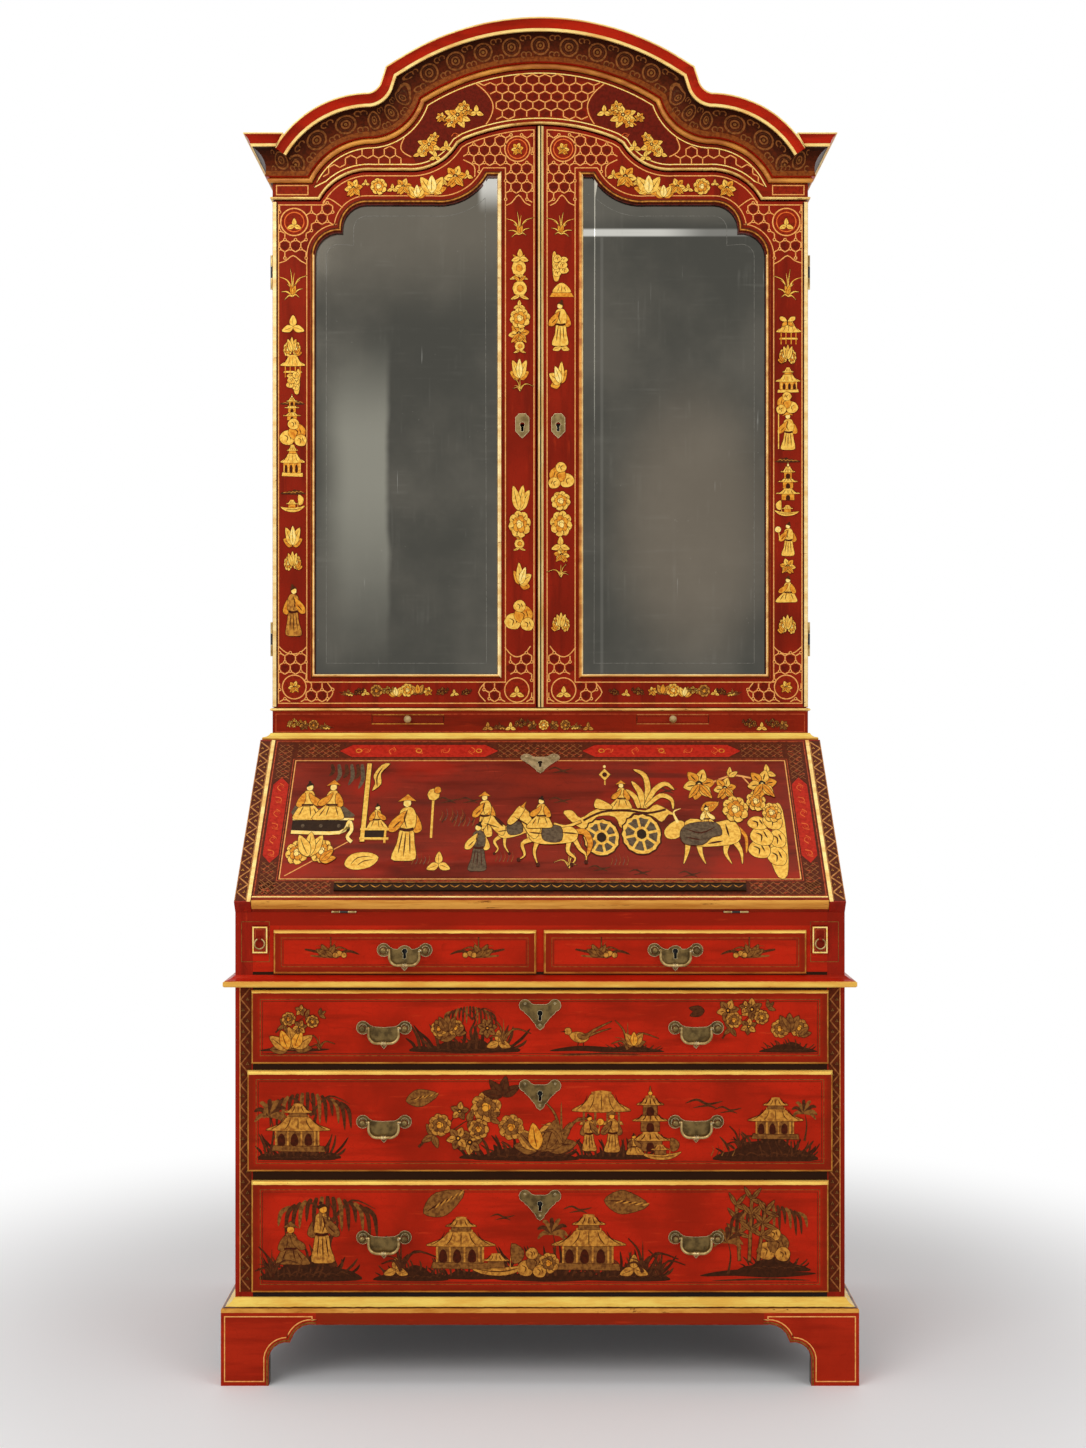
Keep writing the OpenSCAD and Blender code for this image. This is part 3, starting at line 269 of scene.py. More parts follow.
def paint(name, main, second, worn, metallic=0.0, wear=0.68, rough=0.42):
    """Hand-painted colour with brush marks, a second tone and rubbed places"""
    finish = Finish(name, rough, metallic, 0.2, WARM)
    tone = finish.span(finish.noise(170, detail=4, shift=2.7), 0.4, 0.66)
    marks = finish.span(finish.noise(620, (1, 1, 0.35), 3, 4.4), 0.5, 0.72)
    value = finish.mix(tone, main, second)
    value = finish.mix(finish.math("MULTIPLY", marks, 0.45), value, second)
    gone = finish.span(finish.noise(480, detail=5, shift=8.8, rough=0.7), wear, wear + 0.06)
    finish.colour(finish.mix(gone, value, worn))
    finish.bump(finish.noise(700, detail=3), 0.08)
    return finish.material


def brass(name, dark=BRASS_DARK, mid=BRASS_MID, light=BRASS_HIGHLIGHT, rim=0.9, deep=None):
    """Old brass, brown in its hollows, with a painted highlight along its rims and painted shade, near black, on the
    faces deep in its locks
    """
    finish = Finish(name, 0.36, 0.8, 0.5)
    cloud = finish.span(finish.noise(90, detail=5), 0.35, 0.68)
    value = finish.mix(cloud, mid, dark)
    spots = finish.span(finish.noise(700, detail=4, shift=3.3), 0.6, 0.7)
    value = finish.mix(finish.math("MULTIPLY", spots, 0.6), value, dark)
    # Painted highlight: where the rounded normal turns away from the true one, at the rims, the colour goes to the
    # light tone
    geometry = finish.nodes.new("ShaderNodeNewGeometry")
    rounded = finish.nodes.new("ShaderNodeBevel")
    rounded.samples = 6
    rounded.inputs["Radius"].default_value = rim * MM
    turned = finish.nodes.new("ShaderNodeVectorMath")
    turned.operation = "DOT_PRODUCT"
    finish.link(geometry.outputs["Normal"], turned.inputs[0])
    finish.link(rounded.outputs["Normal"], turned.inputs[1])
    edge = finish.span(turned.outputs["Value"], 0.9, 0.999, (0.95, 0))
    value = finish.mix(edge, value, light)
    # Painted shade: faces deeper than the limit, inside the locks behind the keyholes, go near black and lose their
    # shine
    if deep:
        way, limit = deep
        inner = finish.span(finish.along(way), (limit - 0.3) * MM, (limit + 0.3) * MM)
        value = finish.mix(inner, value, srgb(20, 14, 8))
        finish.link(finish.math("SUBTRACT", 0.8, finish.math("MULTIPLY", inner, 0.8)), finish.shader.inputs["Metallic"])
    finish.colour(value)
    finish.link(finish.span(cloud, 0, 1, (0.28, 0.5)), finish.shader.inputs["Roughness"])
    finish.bump(finish.noise(500, detail=4), 0.05)
    return finish.material


def wood(name, dark=WOOD_DARK, light=WOOD_LIGHT, stretch=(0.06, 1, 1), seams=None):
    """Grain, pores and, for backs, the joints between their boards"""
    finish = Finish(name, 0.6, specular=0.25)
    grain = finish.noise(120, stretch, 7, rough=0.65)
    value = finish.mix(finish.span(grain, 0.3, 0.7), dark, light)
    pores = finish.span(finish.noise(900, stretch, 2, 6.1), 0.62, 0.7)
    value = finish.mix(finish.math("MULTIPLY", pores, 0.6), value, dark)
    if seams:
        axis, pitch = seams
        board = finish.math("DIVIDE", finish.math("ADD", finish.axis(axis), 10 * pitch * MM), pitch * MM)
        edge = finish.math("ABSOLUTE", finish.math("SUBTRACT", finish.math("FRACT", board), 0.5))
        joint = finish.span(edge, 1.1 / pitch, 0.6 / pitch)
        tone = finish.shades(board)
        value = finish.mix(finish.math("MULTIPLY", tone, 0.4), value, dark)
        value = finish.mix(joint, value, srgb(38, 24, 14))
        grain = finish.math("SUBTRACT", grain, joint)
    finish.colour(value)
    finish.bump(grain, 0.3)
    return finish.material


def mirror(name, side):
    """Old silvering: grey, faintly clouded, with specks of lost silver and fine scratches, and painted reflections
    fixed on each plate as lighter patches, bands and lines
    """
    finish = Finish(name, 0.08, 1.0, 0.5)
    cloud = finish.span(finish.noise(5, detail=6), 0.35, 0.7)
    value = finish.mix(cloud, srgb(74, 73, 67), srgb(92, 89, 81))
    # Painted reflections on the left plate: a soft upright veil of light and a lighter crown at its top
    if side < 0:
        wobble = finish.math("MULTIPLY", finish.math("SUBTRACT", finish.noise(6, detail=3), 0.5), 0.03)
        across = finish.math("ADD", finish.axis("X"), wobble)
        reflected_light_band = finish.math("MULTIPLY", finish.span(across, -0.4, -0.33), finish.span(across, -0.275, -0.262, (1, 0)))
        reflected_light_band = finish.math("MULTIPLY", reflected_light_band, finish.span(finish.axis("Z"), 1.12, 1.5))
        reflected_light_band = finish.math("MULTIPLY", reflected_light_band, finish.span(finish.axis("Z"), 1.54, 1.76, (1, 0)))
        value = finish.mix(finish.math("MULTIPLY", reflected_light_band, 0.95), value, MIRROR_REFLECTION)
        crown = finish.math("MULTIPLY", finish.span(finish.axis("Z"), 1.74, 1.93), 0.5)
        value = finish.mix(crown, value, srgb(128, 120, 106))
    else:
        # Painted reflections on the right plate: a bright level glint line, a lighter band above it, a faint upright
        # line and a soft round patch of light
        reflected_glint_line = finish.math("MULTIPLY", finish.span(finish.axis("Z"), 1.907, 1.911), finish.span(finish.axis("Z"), 1.919, 1.924, (1, 0)))
        reflected_glint_line = finish.math("MULTIPLY", reflected_glint_line, finish.span(finish.axis("X"), 0.2, 0.3, (0.95, 0.25)))
        value = finish.mix(reflected_glint_line, value, srgb(206, 204, 196))
        above = finish.math("MULTIPLY", finish.span(finish.axis("Z"), 1.922, 1.95), 0.4)
        value = finish.mix(above, value, srgb(112, 108, 98))
        upright = finish.math("MULTIPLY", finish.span(finish.axis("X"), 0.104, 0.107), finish.span(finish.axis("X"), 0.109, 0.112, (1, 0)))
        upright = finish.math("MULTIPLY", upright, finish.span(finish.axis("Z"), 1.905, 1.91, (0.16, 0)))
        value = finish.mix(upright, value, srgb(150, 148, 140))
        away = finish.math("DIVIDE", finish.math("SUBTRACT", finish.axis("X"), 0.27), 0.17)
        height = finish.math("DIVIDE", finish.math("SUBTRACT", finish.axis("Z"), 1.4), 0.3)
        spread = finish.math("ADD", finish.math("MULTIPLY", away, away), finish.math("MULTIPLY", height, height))
        value = finish.mix(finish.span(spread, 0, 1.0, (0.5, 0)), value, srgb(134, 122, 106))
    if side < 0:
        # A painted reflection: a bright white patch near the left plate's top
        reflected_white_spot = finish.math("MULTIPLY", finish.span(finish.axis("X"), -0.112, -0.1), finish.span(finish.axis("Z"), 1.945, 2.0))
        value = finish.mix(finish.math("MULTIPLY", reflected_white_spot, 0.9), value, srgb(214, 212, 204))
    for stretch, shift in (((1, 1, 0.05), 2.1), ((0.05, 1, 1), 6.3)):
        streaks = finish.span(finish.noise(120, stretch, 6, shift), 0.52, 0.75)
        streaks = finish.math("MULTIPLY", streaks, finish.span(finish.noise(16, shift=shift), 0.45, 0.7))
        value = finish.mix(finish.math("MULTIPLY", streaks, 0.12), value, srgb(150, 148, 138))
    scratch = finish.span(finish.noise(240, (1, 1, 0.03), 3, 9.1), 0.69, 0.74)
    scratch = finish.math("MULTIPLY", scratch, finish.span(finish.noise(14, shift=4.4), 0.5, 0.7))
    value = finish.mix(finish.math("MULTIPLY", scratch, 0.45), value, srgb(196, 194, 186))
    specks = finish.span(finish.cells(110, feature="F1"), 0.02, 0.05, (1, 0))
    specks = finish.math("MULTIPLY", specks, finish.span(finish.noise(12, shift=1.4), 0.52, 0.62))
    value = finish.mix(specks, value, srgb(205, 200, 188))
    finish.colour(value)
    finish.link(finish.span(cloud, 0, 1, (0.06, 0.16)), finish.shader.inputs["Roughness"])
    return finish.material


def drawer_lacquer(name, node, top=5.6):
    """Scarlet field, a darker brown-red margin and a gilt lip round it, with a painted highlight along the lip's top
    and painted shade, near black, where the keyhole shows
    """
    a, b = low(node), high(node)
    centre = ((a.x + b.x) / 2, (a.z + b.z) / 2)
    half = ((b.x - a.x) / 2, (b.z - a.z) / 2)
    finish = Finish(name, 0.35, specular=0.2, tint=WARM)
    field = lacquer_layers(finish, SCARLET, SCARLET_DEEP, SCARLET_LIGHT, clouding=0.75)
    margin = finish.outside(centre, (half[0] - 13, half[1] - 12), 6)
    field = finish.mix(finish.math("MULTIPLY", margin, 0.7), field, srgb(112, 28, 9))
    rim = finish.outside(centre, (half[0] - 3, half[1] - 3.6), 0.35)
    value = finish.mix(rim, field, gold_layers(finish, srgb(214, 150, 62), srgb(164, 94, 34), BROWN_BAND))
    # A painted highlight: a band of brighter gold along the lip's top edge, top mm wide
    wobble = finish.math("MULTIPLY", finish.math("SUBTRACT", finish.noise(60, detail=3), 0.5), 0.0016)
    top_highlight = finish.span(finish.math("ADD", finish.axis("Z"), wobble), (b.z - top - 0.3) * MM, (b.z - top + 0.3) * MM)
    value = finish.mix(top_highlight, value, gold_layers(finish, srgb(255, 214, 106), srgb(240, 184, 86), BROWN_BAND, wear=0.64))
    # Painted shade: near black on the front where the keyhole in the plate shows through
    key = (centre[0], b.z - 38 if "long" in node else centre[1] - 6)
    keyhole_shade = finish.math("SUBTRACT", 1, finish.outside(key, (5.4, 9.5), 0.2))
    value = finish.mix(keyhole_shade, value, srgb(12, 7, 4))
    finish.colour(value)
    finish.link(finish.math("MULTIPLY", rim, 0.3), finish.shader.inputs["Metallic"])
    return finish.material


def banded(name, axis, bands, along=(0.25, 1, 1), wander=1.1, roughness=0.38, beyond=None):
    """Bands across one axis: [(upper limit, kind)], from the lowest up; an axis may be a direction"""
    finish = Finish(name, roughness, specular=0.25, tint=WARM)
    wobble = finish.math("MULTIPLY", finish.math("SUBTRACT", finish.noise(70, detail=2), 0.5), wander * MM)
    level = finish.math("ADD", finish.axis(axis) if isinstance(axis, str) else finish.along(axis), wobble)
    kinds = {
        "gold": lambda: gold_layers(finish, GOLD_BRIGHT, srgb(230, 166, 70), GOLD_BROWN, along),
        "yellow": lambda: gold_layers(finish, srgb(255, 222, 108), srgb(242, 190, 82), GOLD_ORANGE, along, 0.7),
        "cream": lambda: gold_layers(finish, srgb(250, 222, 150), srgb(226, 178, 100), GOLD_BROWN, along),
        "deep_gold": lambda: gold_layers(finish, srgb(206, 138, 52), srgb(150, 84, 28), BROWN_BAND, along),
        "orange": lambda: gold_layers(finish, srgb(232, 168, 76), srgb(190, 116, 40), srgb(120, 64, 22), along, 0.6),
        "red": lambda: lacquer_layers(finish, SCARLET, SCARLET_DEEP, SCARLET_LIGHT),
        "crimson": lambda: lacquer_layers(finish, CRIMSON, CRIMSON_DEEP, CRIMSON_LIGHT),
        "dull_red": lambda: lacquer_layers(finish, srgb(134, 38, 14), SCARLET_DEEP, SCARLET_LIGHT),
        "brown": lambda: lacquer_layers(finish, srgb(84, 26, 10), srgb(58, 16, 6), srgb(120, 44, 20)),
        "black": lambda: lacquer_layers(finish, srgb(27, 10, 5), srgb(16, 6, 3), srgb(52, 17, 8)),
        "brass": lambda: gold_layers(finish, srgb(196, 172, 122), srgb(140, 112, 64), BRASS_DARK, (1, 1, 1)),
    }
    value = kinds[bands[0][1]]()
    for (limit, _), (_, kind) in zip(bands, bands[1:]):
        above = finish.span(level, (limit - 0.25) * MM, (limit + 0.25) * MM)
        value = finish.mix(above, value, kinds[kind]())
    if beyond:
        way, limit, kind = beyond
        deeper = finish.math("ADD", finish.along(way), wobble)
        value = finish.mix(finish.span(deeper, (limit - 0.25) * MM, (limit + 0.25) * MM), value, kinds[kind]())
    finish.colour(value)
    return finish.material


def foot_finish():
    """Scarlet outside, with bare wood on the hidden faces and a thin dark line at the cut edges"""
    finish = Finish("foot_lacquer", 0.4, specular=0.2, tint=WARM)
    geometry = finish.nodes.new("ShaderNodeNewGeometry")
    away = finish.nodes.new("ShaderNodeVectorMath")
    away.operation = "SUBTRACT"
    finish.link(finish.place, away.inputs[0])
    away.inputs[1].default_value = (0, (CASE_Y + CASE_BACK) / 2 * MM, 0)
    facing = finish.nodes.new("ShaderNodeVectorMath")
    facing.operation = "DOT_PRODUCT"
    finish.link(away.outputs[0], facing.inputs[0])
    finish.link(geometry.outputs["Normal"], facing.inputs[1])
    hidden = finish.span(facing.outputs["Value"], -0.012, -0.002, (1, 0))
    grain = finish.noise(120, (0.06, 1, 1), 7, rough=0.65)
    bare = finish.mix(finish.span(grain, 0.3, 0.7), srgb(58, 46, 36), srgb(92, 76, 60))
    outer = lacquer_layers(finish, srgb(176, 38, 17), SCARLET_DEEP, SCARLET_LIGHT)
    finish.colour(finish.mix(hidden, outer, bare))
    return finish.material


def shade(name, colour, second, rough=0.6):
    finish = Finish(name, rough, specular=0.15)
    finish.colour(finish.mix(finish.span(finish.noise(40, (0.2, 1, 1), 5), 0.35, 0.7), colour, second))
    finish.bump(finish.noise(200, (0.3, 1, 1), 4), 0.1)
    return finish.material


PAINTS = {
    "scarlet": lacquer("scarlet_lacquer", SCARLET, SCARLET_DEEP, SCARLET_LIGHT),
    "scarlet_upright": lacquer("scarlet_lacquer_upright", srgb(158, 28, 15), srgb(104, 18, 9),
                               SCARLET_LIGHT, "z"),
    "crimson": lacquer("crimson_lacquer", CRIMSON, CRIMSON_DEEP, CRIMSON_LIGHT),
    "crimson_upright": lacquer("crimson_lacquer_upright", srgb(146, 30, 15), srgb(104, 18, 9),
                               CRIMSON_LIGHT, "z"),
    "fall_field": fall_lacquer(),
    "tan": paint("tan_line", srgb(204, 140, 76), srgb(160, 98, 48), BROWN_BAND, 0.1, 0.68),
    "olive": paint("olive_bronze", srgb(128, 86, 42), srgb(90, 54, 26), BROWN_BAND, 0.2, 0.64),
    "dusk": paint("dusk_brown", srgb(58, 28, 15), srgb(42, 20, 11), CRIMSON_DEEP, wear=0.7),
    "cove_ring": paint("cove_ring", srgb(142, 84, 40), srgb(98, 54, 24), BLACK_BROWN, 0.15, 0.62),
    "reserve": paint("reserve_scarlet", srgb(196, 40, 24), srgb(170, 26, 14), CRIMSON, wear=0.72),
    "dark": paint("dark_lacquer", srgb(66, 24, 12), srgb(44, 16, 9), CRIMSON, wear=0.72),
    "band": paint("band_lacquer", BROWN_BAND, srgb(70, 24, 10), CRIMSON, wear=0.72),
    "black": paint("black_paint", srgb(26, 18, 12), srgb(40, 27, 16), CRIMSON_DEEP, wear=0.76),
    "cell": paint("cell_lacquer", srgb(112, 20, 8), srgb(86, 14, 6), CRIMSON, wear=0.74),
    "net": paint("net_line", srgb(158, 98, 52), srgb(120, 64, 30), BROWN_BAND, 0.1, 0.64),
    "cartouche": paint("cartouche_red", srgb(106, 22, 14), srgb(86, 16, 10), CRIMSON, wear=0.74),
    "ground": paint("ground_red", srgb(150, 34, 14), srgb(120, 24, 10), CRIMSON, wear=0.72),
    "ink": paint("ink_line", srgb(70, 22, 10), srgb(48, 15, 8), CRIMSON_DEEP, wear=0.8),
    "gold": paint("bright_gold_paint", GOLD_BRIGHT, srgb(222, 160, 60), GOLD_BROWN, 0.3, 0.7),
    "orange": paint("orange_gold_paint", srgb(232, 160, 52), srgb(196, 112, 30), GOLD_BROWN, 0.3, 0.7),
    "pale": paint("pale_gold_paint", GOLD_PALE, GOLD_BRIGHT, GOLD_ORANGE, 0.25, 0.72),
    "old_gold": paint("old_gold_paint", srgb(206, 142, 56), srgb(150, 92, 36), srgb(110, 50, 22), 0.25, 0.66),
    "bronze": paint("bronze_paint", srgb(142, 92, 40), srgb(98, 56, 26), srgb(96, 30, 14), 0.25, 0.64),
    "umber": paint("umber_paint", srgb(84, 44, 22), srgb(58, 28, 15), srgb(110, 28, 14), 0.0, 0.66),
    "grey": paint("grey_paint", srgb(104, 88, 66), srgb(72, 58, 44), srgb(130, 96, 54), 0.1, 0.72),
    "pink_line": paint("pink_gold_line", srgb(246, 178, 100), srgb(228, 148, 74), srgb(170, 70, 34), 0.1, 0.75),
    "red_gold": paint("red_gold_scroll", srgb(232, 120, 52), srgb(214, 84, 36), srgb(196, 50, 26), 0.1, 0.66),
    "red_line": paint("red_gold_line", srgb(196, 84, 46), srgb(150, 52, 28), CRIMSON, 0.1, 0.72),
}
GILT = gilding("gilding")
GILT_ORANGE = gilding("gilding_orange", srgb(222, 152, 60), srgb(168, 92, 30), BROWN_BAND)
GILT_CREAM = gilding("gilding_cream", srgb(250, 224, 158), srgb(226, 182, 108), GOLD_BROWN, wear=0.62)
GILT_BEAD = gilding("gilding_bead", srgb(255, 222, 130), srgb(196, 126, 48), BROWN_BAND, wear=0.6)
GILT_PALE = gilding("gilding_pale", GOLD_PALE, srgb(232, 178, 92), GOLD_ORANGE)


class Mesh:
    """Points and faces in millimetres, with a material for each face"""

    def __init__(self):
        self.points, self.faces, self.paints = [], [], []

    def add(self, points):
        start = len(self.points)
        self.points += [Vector(p) for p in points]
        return list(range(start, start + len(points)))

    def face(self, corners, material):
        self.faces.append(corners)
        self.paints.append(material)

    def ring(self, a, b, material, closed=True):
        """Faces between two rows of points"""
        for i in range(len(a) if closed else len(a) - 1):
            j = (i + 1) % len(a)
            self.face([a[i], a[j], b[j], b[i]], material)

    def make(self, name, body, slot, smooth=32):
        data = bpy.data.meshes.new(name)
        data.from_pydata([p * MM for p in self.points], [], self.faces)
        kinds = sorted({m.name for m in self.paints})
        for kind in kinds:
            data.materials.append(bpy.data.materials[kind])
        for polygon, m in zip(data.polygons, self.paints):
            polygon.material_index = kinds.index(m.name)
        work = bmesh.new()
        work.from_mesh(data)
        bmesh.ops.recalc_face_normals(work, faces=work.faces)
        work.to_mesh(data)
        work.free()
        data.shade_smooth()
        data.set_sharp_from_angle(angle=math.radians(smooth))
        piece = bpy.data.objects.new(name, data)
        bpy.context.scene.collection.objects.link(piece)
        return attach(piece, body)


# Plane outlines as complex numbers, x across and y up
def unit(v):
    return v / abs(v)


def arc(p, q, rise, n=14):
    """Points from p up to but not at q, on an arc that bulges by rise to the left of the way"""
    chord = abs(q - p)
    along = (q - p) / chord
    half = 2 * math.atan(2 * rise / chord)
    r = chord / (2 * math.sin(half))
    centre = (p + q) / 2 + along * 1j * (rise - r)
    turns = [half * (2 * i / n - 1) for i in range(n)]
    return [centre + along * (1j * r * math.cos(t) + r * math.sin(t)) for t in turns]


def mitre(a, b, c):
    n1, n2 = unit(b - a) * 1j, unit(c - b) * 1j
    return (n1 + n2) / (1 + (n1 * n2.conjugate()).real)


def normals(path):
    inner = [mitre(*path[i - 1:i + 2]) for i in range(1, len(path) - 1)]
    return [unit(path[1] - path[0]) * 1j] + inner + [unit(path[-1] - path[-2]) * 1j]


def line_ways(path, closed):
    """The way out of a line at each point, kept short at sharp corners"""
    last = len(path) - 1
    ways = []
    for i, p in enumerate(path):
        a = path[i - 1] if closed or i else None
        b = path[(i + 1) % len(path)] if closed or i < last else None
        n1 = unit(p - a) * 1j if a is not None and abs(p - a) > 1e-6 else None
        n2 = unit(b - p) * 1j if b is not None and abs(b - p) > 1e-6 else None
        n1, n2 = n1 or n2 or 1j, n2 or n1 or 1j
        both = n1 + n2
        ways.append(n1 if abs(both) < 0.9 else both / (abs(both) ** 2 / 2))
    return ways


def shifted(path, d):
    return [p + d * n for p, n in zip(path, normals(path))]


def grown(loop, d):
    n = len(loop)
    return [loop[i] + d * mitre(loop[i - 1], loop[i], loop[(i + 1) % n]) for i in range(n)]


def apart(q, a, b):
    """How far q lies from the line between a and b"""
    way = b - a
    t = min(1, max(0, ((q - a) * way.conjugate()).real / max(1e-9, abs(way) ** 2)))
    return abs(q - a - t * way)


def parallel(path, d):
    """A line beside the path, without the points that come too near it or shoot away"""
    pairs = list(zip(path, path[1:]))
    moved = [p + d * n for p, n in zip(path, normals(path)) if abs(n) < 1.5]
    return [q for q in moved if min(apart(q, a, b) for a, b in pairs) > 0.93 * abs(d)]


def inset_loop(loop, d):
    """A line d inside the loop, with the place in it that belongs to each point of the loop"""
    pairs = list(zip(loop, loop[1:] + loop[:1]))
    moved = grown(loop, -d)
    kept = [i for i, q in enumerate(moved) if min(apart(q, a, b) for a, b in pairs) > 0.96 * d and inside(q, loop)]
    n = len(loop)
    near = [min(range(len(kept)), key=lambda k: min(abs(kept[k] - i), n - abs(kept[k] - i))) for i in range(n)]
    return [moved[i] for i in kept], near


def other_side(path):
    return [-p.conjugate() for p in reversed(path)]


def smooth(points, steps=4, closed=False):
    """A round curve through the points"""
    n = len(points)
    result = []
    for i in range(n if closed else n - 1):
        near = [points[k % n] if closed else points[max(0, min(n - 1, k))] for k in range(i - 1, i + 3)]
        a, b, c, d = near
        for t in (s / steps for s in range(steps)):
            result.append(0.5 * (2 * b + (c - a) * t + (2 * a - 5 * b + 4 * c - d) * t ** 2
                                 + (3 * b - a - 3 * c + d) * t ** 3))
    return result if closed else result + [points[-1]]


def inside(p, loop):
    odd = False
    for a, b in zip(loop, loop[1:] + loop[:1]):
        if (a.imag > p.imag) != (b.imag > p.imag):
            if p.real < a.real + (p.imag - a.imag) / (b.imag - a.imag) * (b.real - a.real):
                odd = not odd
    return odd


def rect(x0, x1, y0, y1):
    return [complex(x0, y0), complex(x1, y0), complex(x1, y1), complex(x0, y1)]


# The cabinet's shaped lines, as on the frame
CROWN_HW, CROWN_RISE = 131, 26
CROWN_STEP = 11 + 7j
SWEEP = 93 + 48j
FLAT_W = 57
HUMP = 93 + 51j
HUMP_BULGE, SWEEP_SAG = 16, 15
CROWN_Z = SHOULDER_Z + HUMP.imag + SWEEP.imag + CROWN_STEP.imag
DOME_HW, DOME_RISE = 210, 62
COVE = 82 + 69j
HAUNCH = 113 + 69j
HAUNCH_BULGE, COVE_SAG = 19, 16.5
DOME_Z = CORNICE_Z + HAUNCH.imag + COVE.imag


def door_line(n=14):
    hump_end = complex(-CROWN_HW - CROWN_STEP.real - SWEEP.real - FLAT_W, SHOULDER_Z + HUMP.imag)
    sweep_end = complex(-CROWN_HW - CROWN_STEP.real, CROWN_Z - CROWN_STEP.imag)
    half = [complex(-CAB_HW, SHOULDER_Z)] + arc(hump_end - HUMP, hump_end, HUMP_BULGE, n) + [hump_end]
    half += arc(sweep_end - SWEEP, sweep_end, -SWEEP_SAG, n) + [sweep_end, complex(-CROWN_HW, CROWN_Z)]
    crown = arc(complex(-CROWN_HW, CROWN_Z), complex(CROWN_HW, CROWN_Z), CROWN_RISE, 2 * n)
    return half + crown[1:] + other_side(half)


def cornice_line(n=16):
    spring = complex(-DOME_HW, DOME_Z)
    valley = spring - COVE
    foot = valley - HAUNCH
    half = [complex(-CAB_HW, CORNICE_Z)] + arc(foot, valley, HAUNCH_BULGE, n)
    half += arc(valley, spring, -COVE_SAG, n)
    return half + arc(spring, -spring.conjugate(), DOME_RISE, 2 * n) + other_side(half + [spring])


STILE_W = 74
MIRROR_IN = 75
SILL_Z = DOOR_Z + 58
MIRROR_H = 734
EAR = 48 + 40j
EAR_STEP = 10j
SHOULDER = 41 + 40j
SWELL = 96 + 49j
TIP_W = 17


def sight_edge(n=12, inset=0.0):
    """The left mirror's visible edge, clockwise from its lower outer corner, or a line inside it"""
    out_x = -CAB_HW + STILE_W + inset
    in_x = -MIRROR_IN - inset
    sill = SILL_Z + inset
    ear_end = complex(out_x, SILL_Z + MIRROR_H) + EAR - 0.75j * inset
    rise = ear_end + EAR_STEP * (1 - inset / 40) + SHOULDER * (1 - inset / 90)
    tip = complex(in_x - TIP_W * (1 - inset / 50), rise.imag + SWELL.imag - 0.5 * inset)
    points = [complex(out_x, sill)]
    points += arc(complex(out_x, SILL_Z + MIRROR_H - 0.5 * inset), ear_end, 14 - 0.2 * inset, n) + [ear_end]
    points += arc(ear_end + EAR_STEP * (1 - inset / 40), rise, 11 - 0.2 * inset, n) + [rise]
    points += arc(tip - SWELL, tip, -16, n) + [tip, complex(in_x, tip.imag), complex(in_x, sill)]
    return points


# Sweeps along the cabinet's front with returns along its sides
def face_stations(path):
    first = path[0].imag
    stations = [(Vector((-CAB_HW, CASE_BACK, first)), Vector((0, 0, 1)), Vector((-1, 0, 0))),
                (Vector((-CAB_HW, CAB_Y, first)), Vector((0, 0, 1)), Vector((-1, -1, 0)))]
    for p, n in list(zip(path, normals(path)))[1:-1]:
        stations.append((Vector((p.real, CAB_Y, p.imag)), Vector((n.real, 0, n.imag)), Vector((0, -1, 0))))
    stations += [(Vector((CAB_HW, CAB_Y, first)), Vector((0, 0, 1)), Vector((1, -1, 0))),
                 (Vector((CAB_HW, CASE_BACK, first)), Vector((0, 0, 1)), Vector((1, 0, 0)))]
    return stations


def sweep(mesh, stations, profile):
    """Draws a closed profile of (across, out, material) through stations of origin, across and out"""
    rows = [mesh.add([o + a * q[0] + out * q[1] for q in profile]) for o, a, out in stations]
    n = len(profile)
    for row, after in zip(rows, rows[1:]):
        for j in range(n):
            k = (j + 1) % n
            mesh.face([row[j], row[k], after[k], after[j]], profile[j][2])
    for row in (rows[0], rows[-1]):
        mesh.face(row, profile[-1][2])


def profile_arc(p, q, rise, material, n=6):
    return [(c.real, c.imag, material) for c in arc(complex(*p), complex(*q), rise, n)]


CORNICE_OUT = 45
CORNICE_H = 68
COVE_START, COVE_END = (2.0, 12.0), (CORNICE_H - 21.0, 31.0)


# Painted light and shade across the cove: a warm lit glow near its lower edge, darkening step by step up into the
# hollow
COVE_LIGHT_AND_SHADE = [paint(f"cove_{k}", srgb(*a), srgb(*b), CRIMSON_DEEP, wear=0.74) for k, (a, b) in enumerate((
    ((140, 72, 26), (104, 44, 16)), ((98, 36, 12), (72, 24, 8)), ((84, 27, 9), (58, 17, 6)),
    ((72, 22, 8), (50, 14, 5)), ((58, 17, 6), (40, 11, 4)), ((44, 13, 5), (30, 9, 4))))]


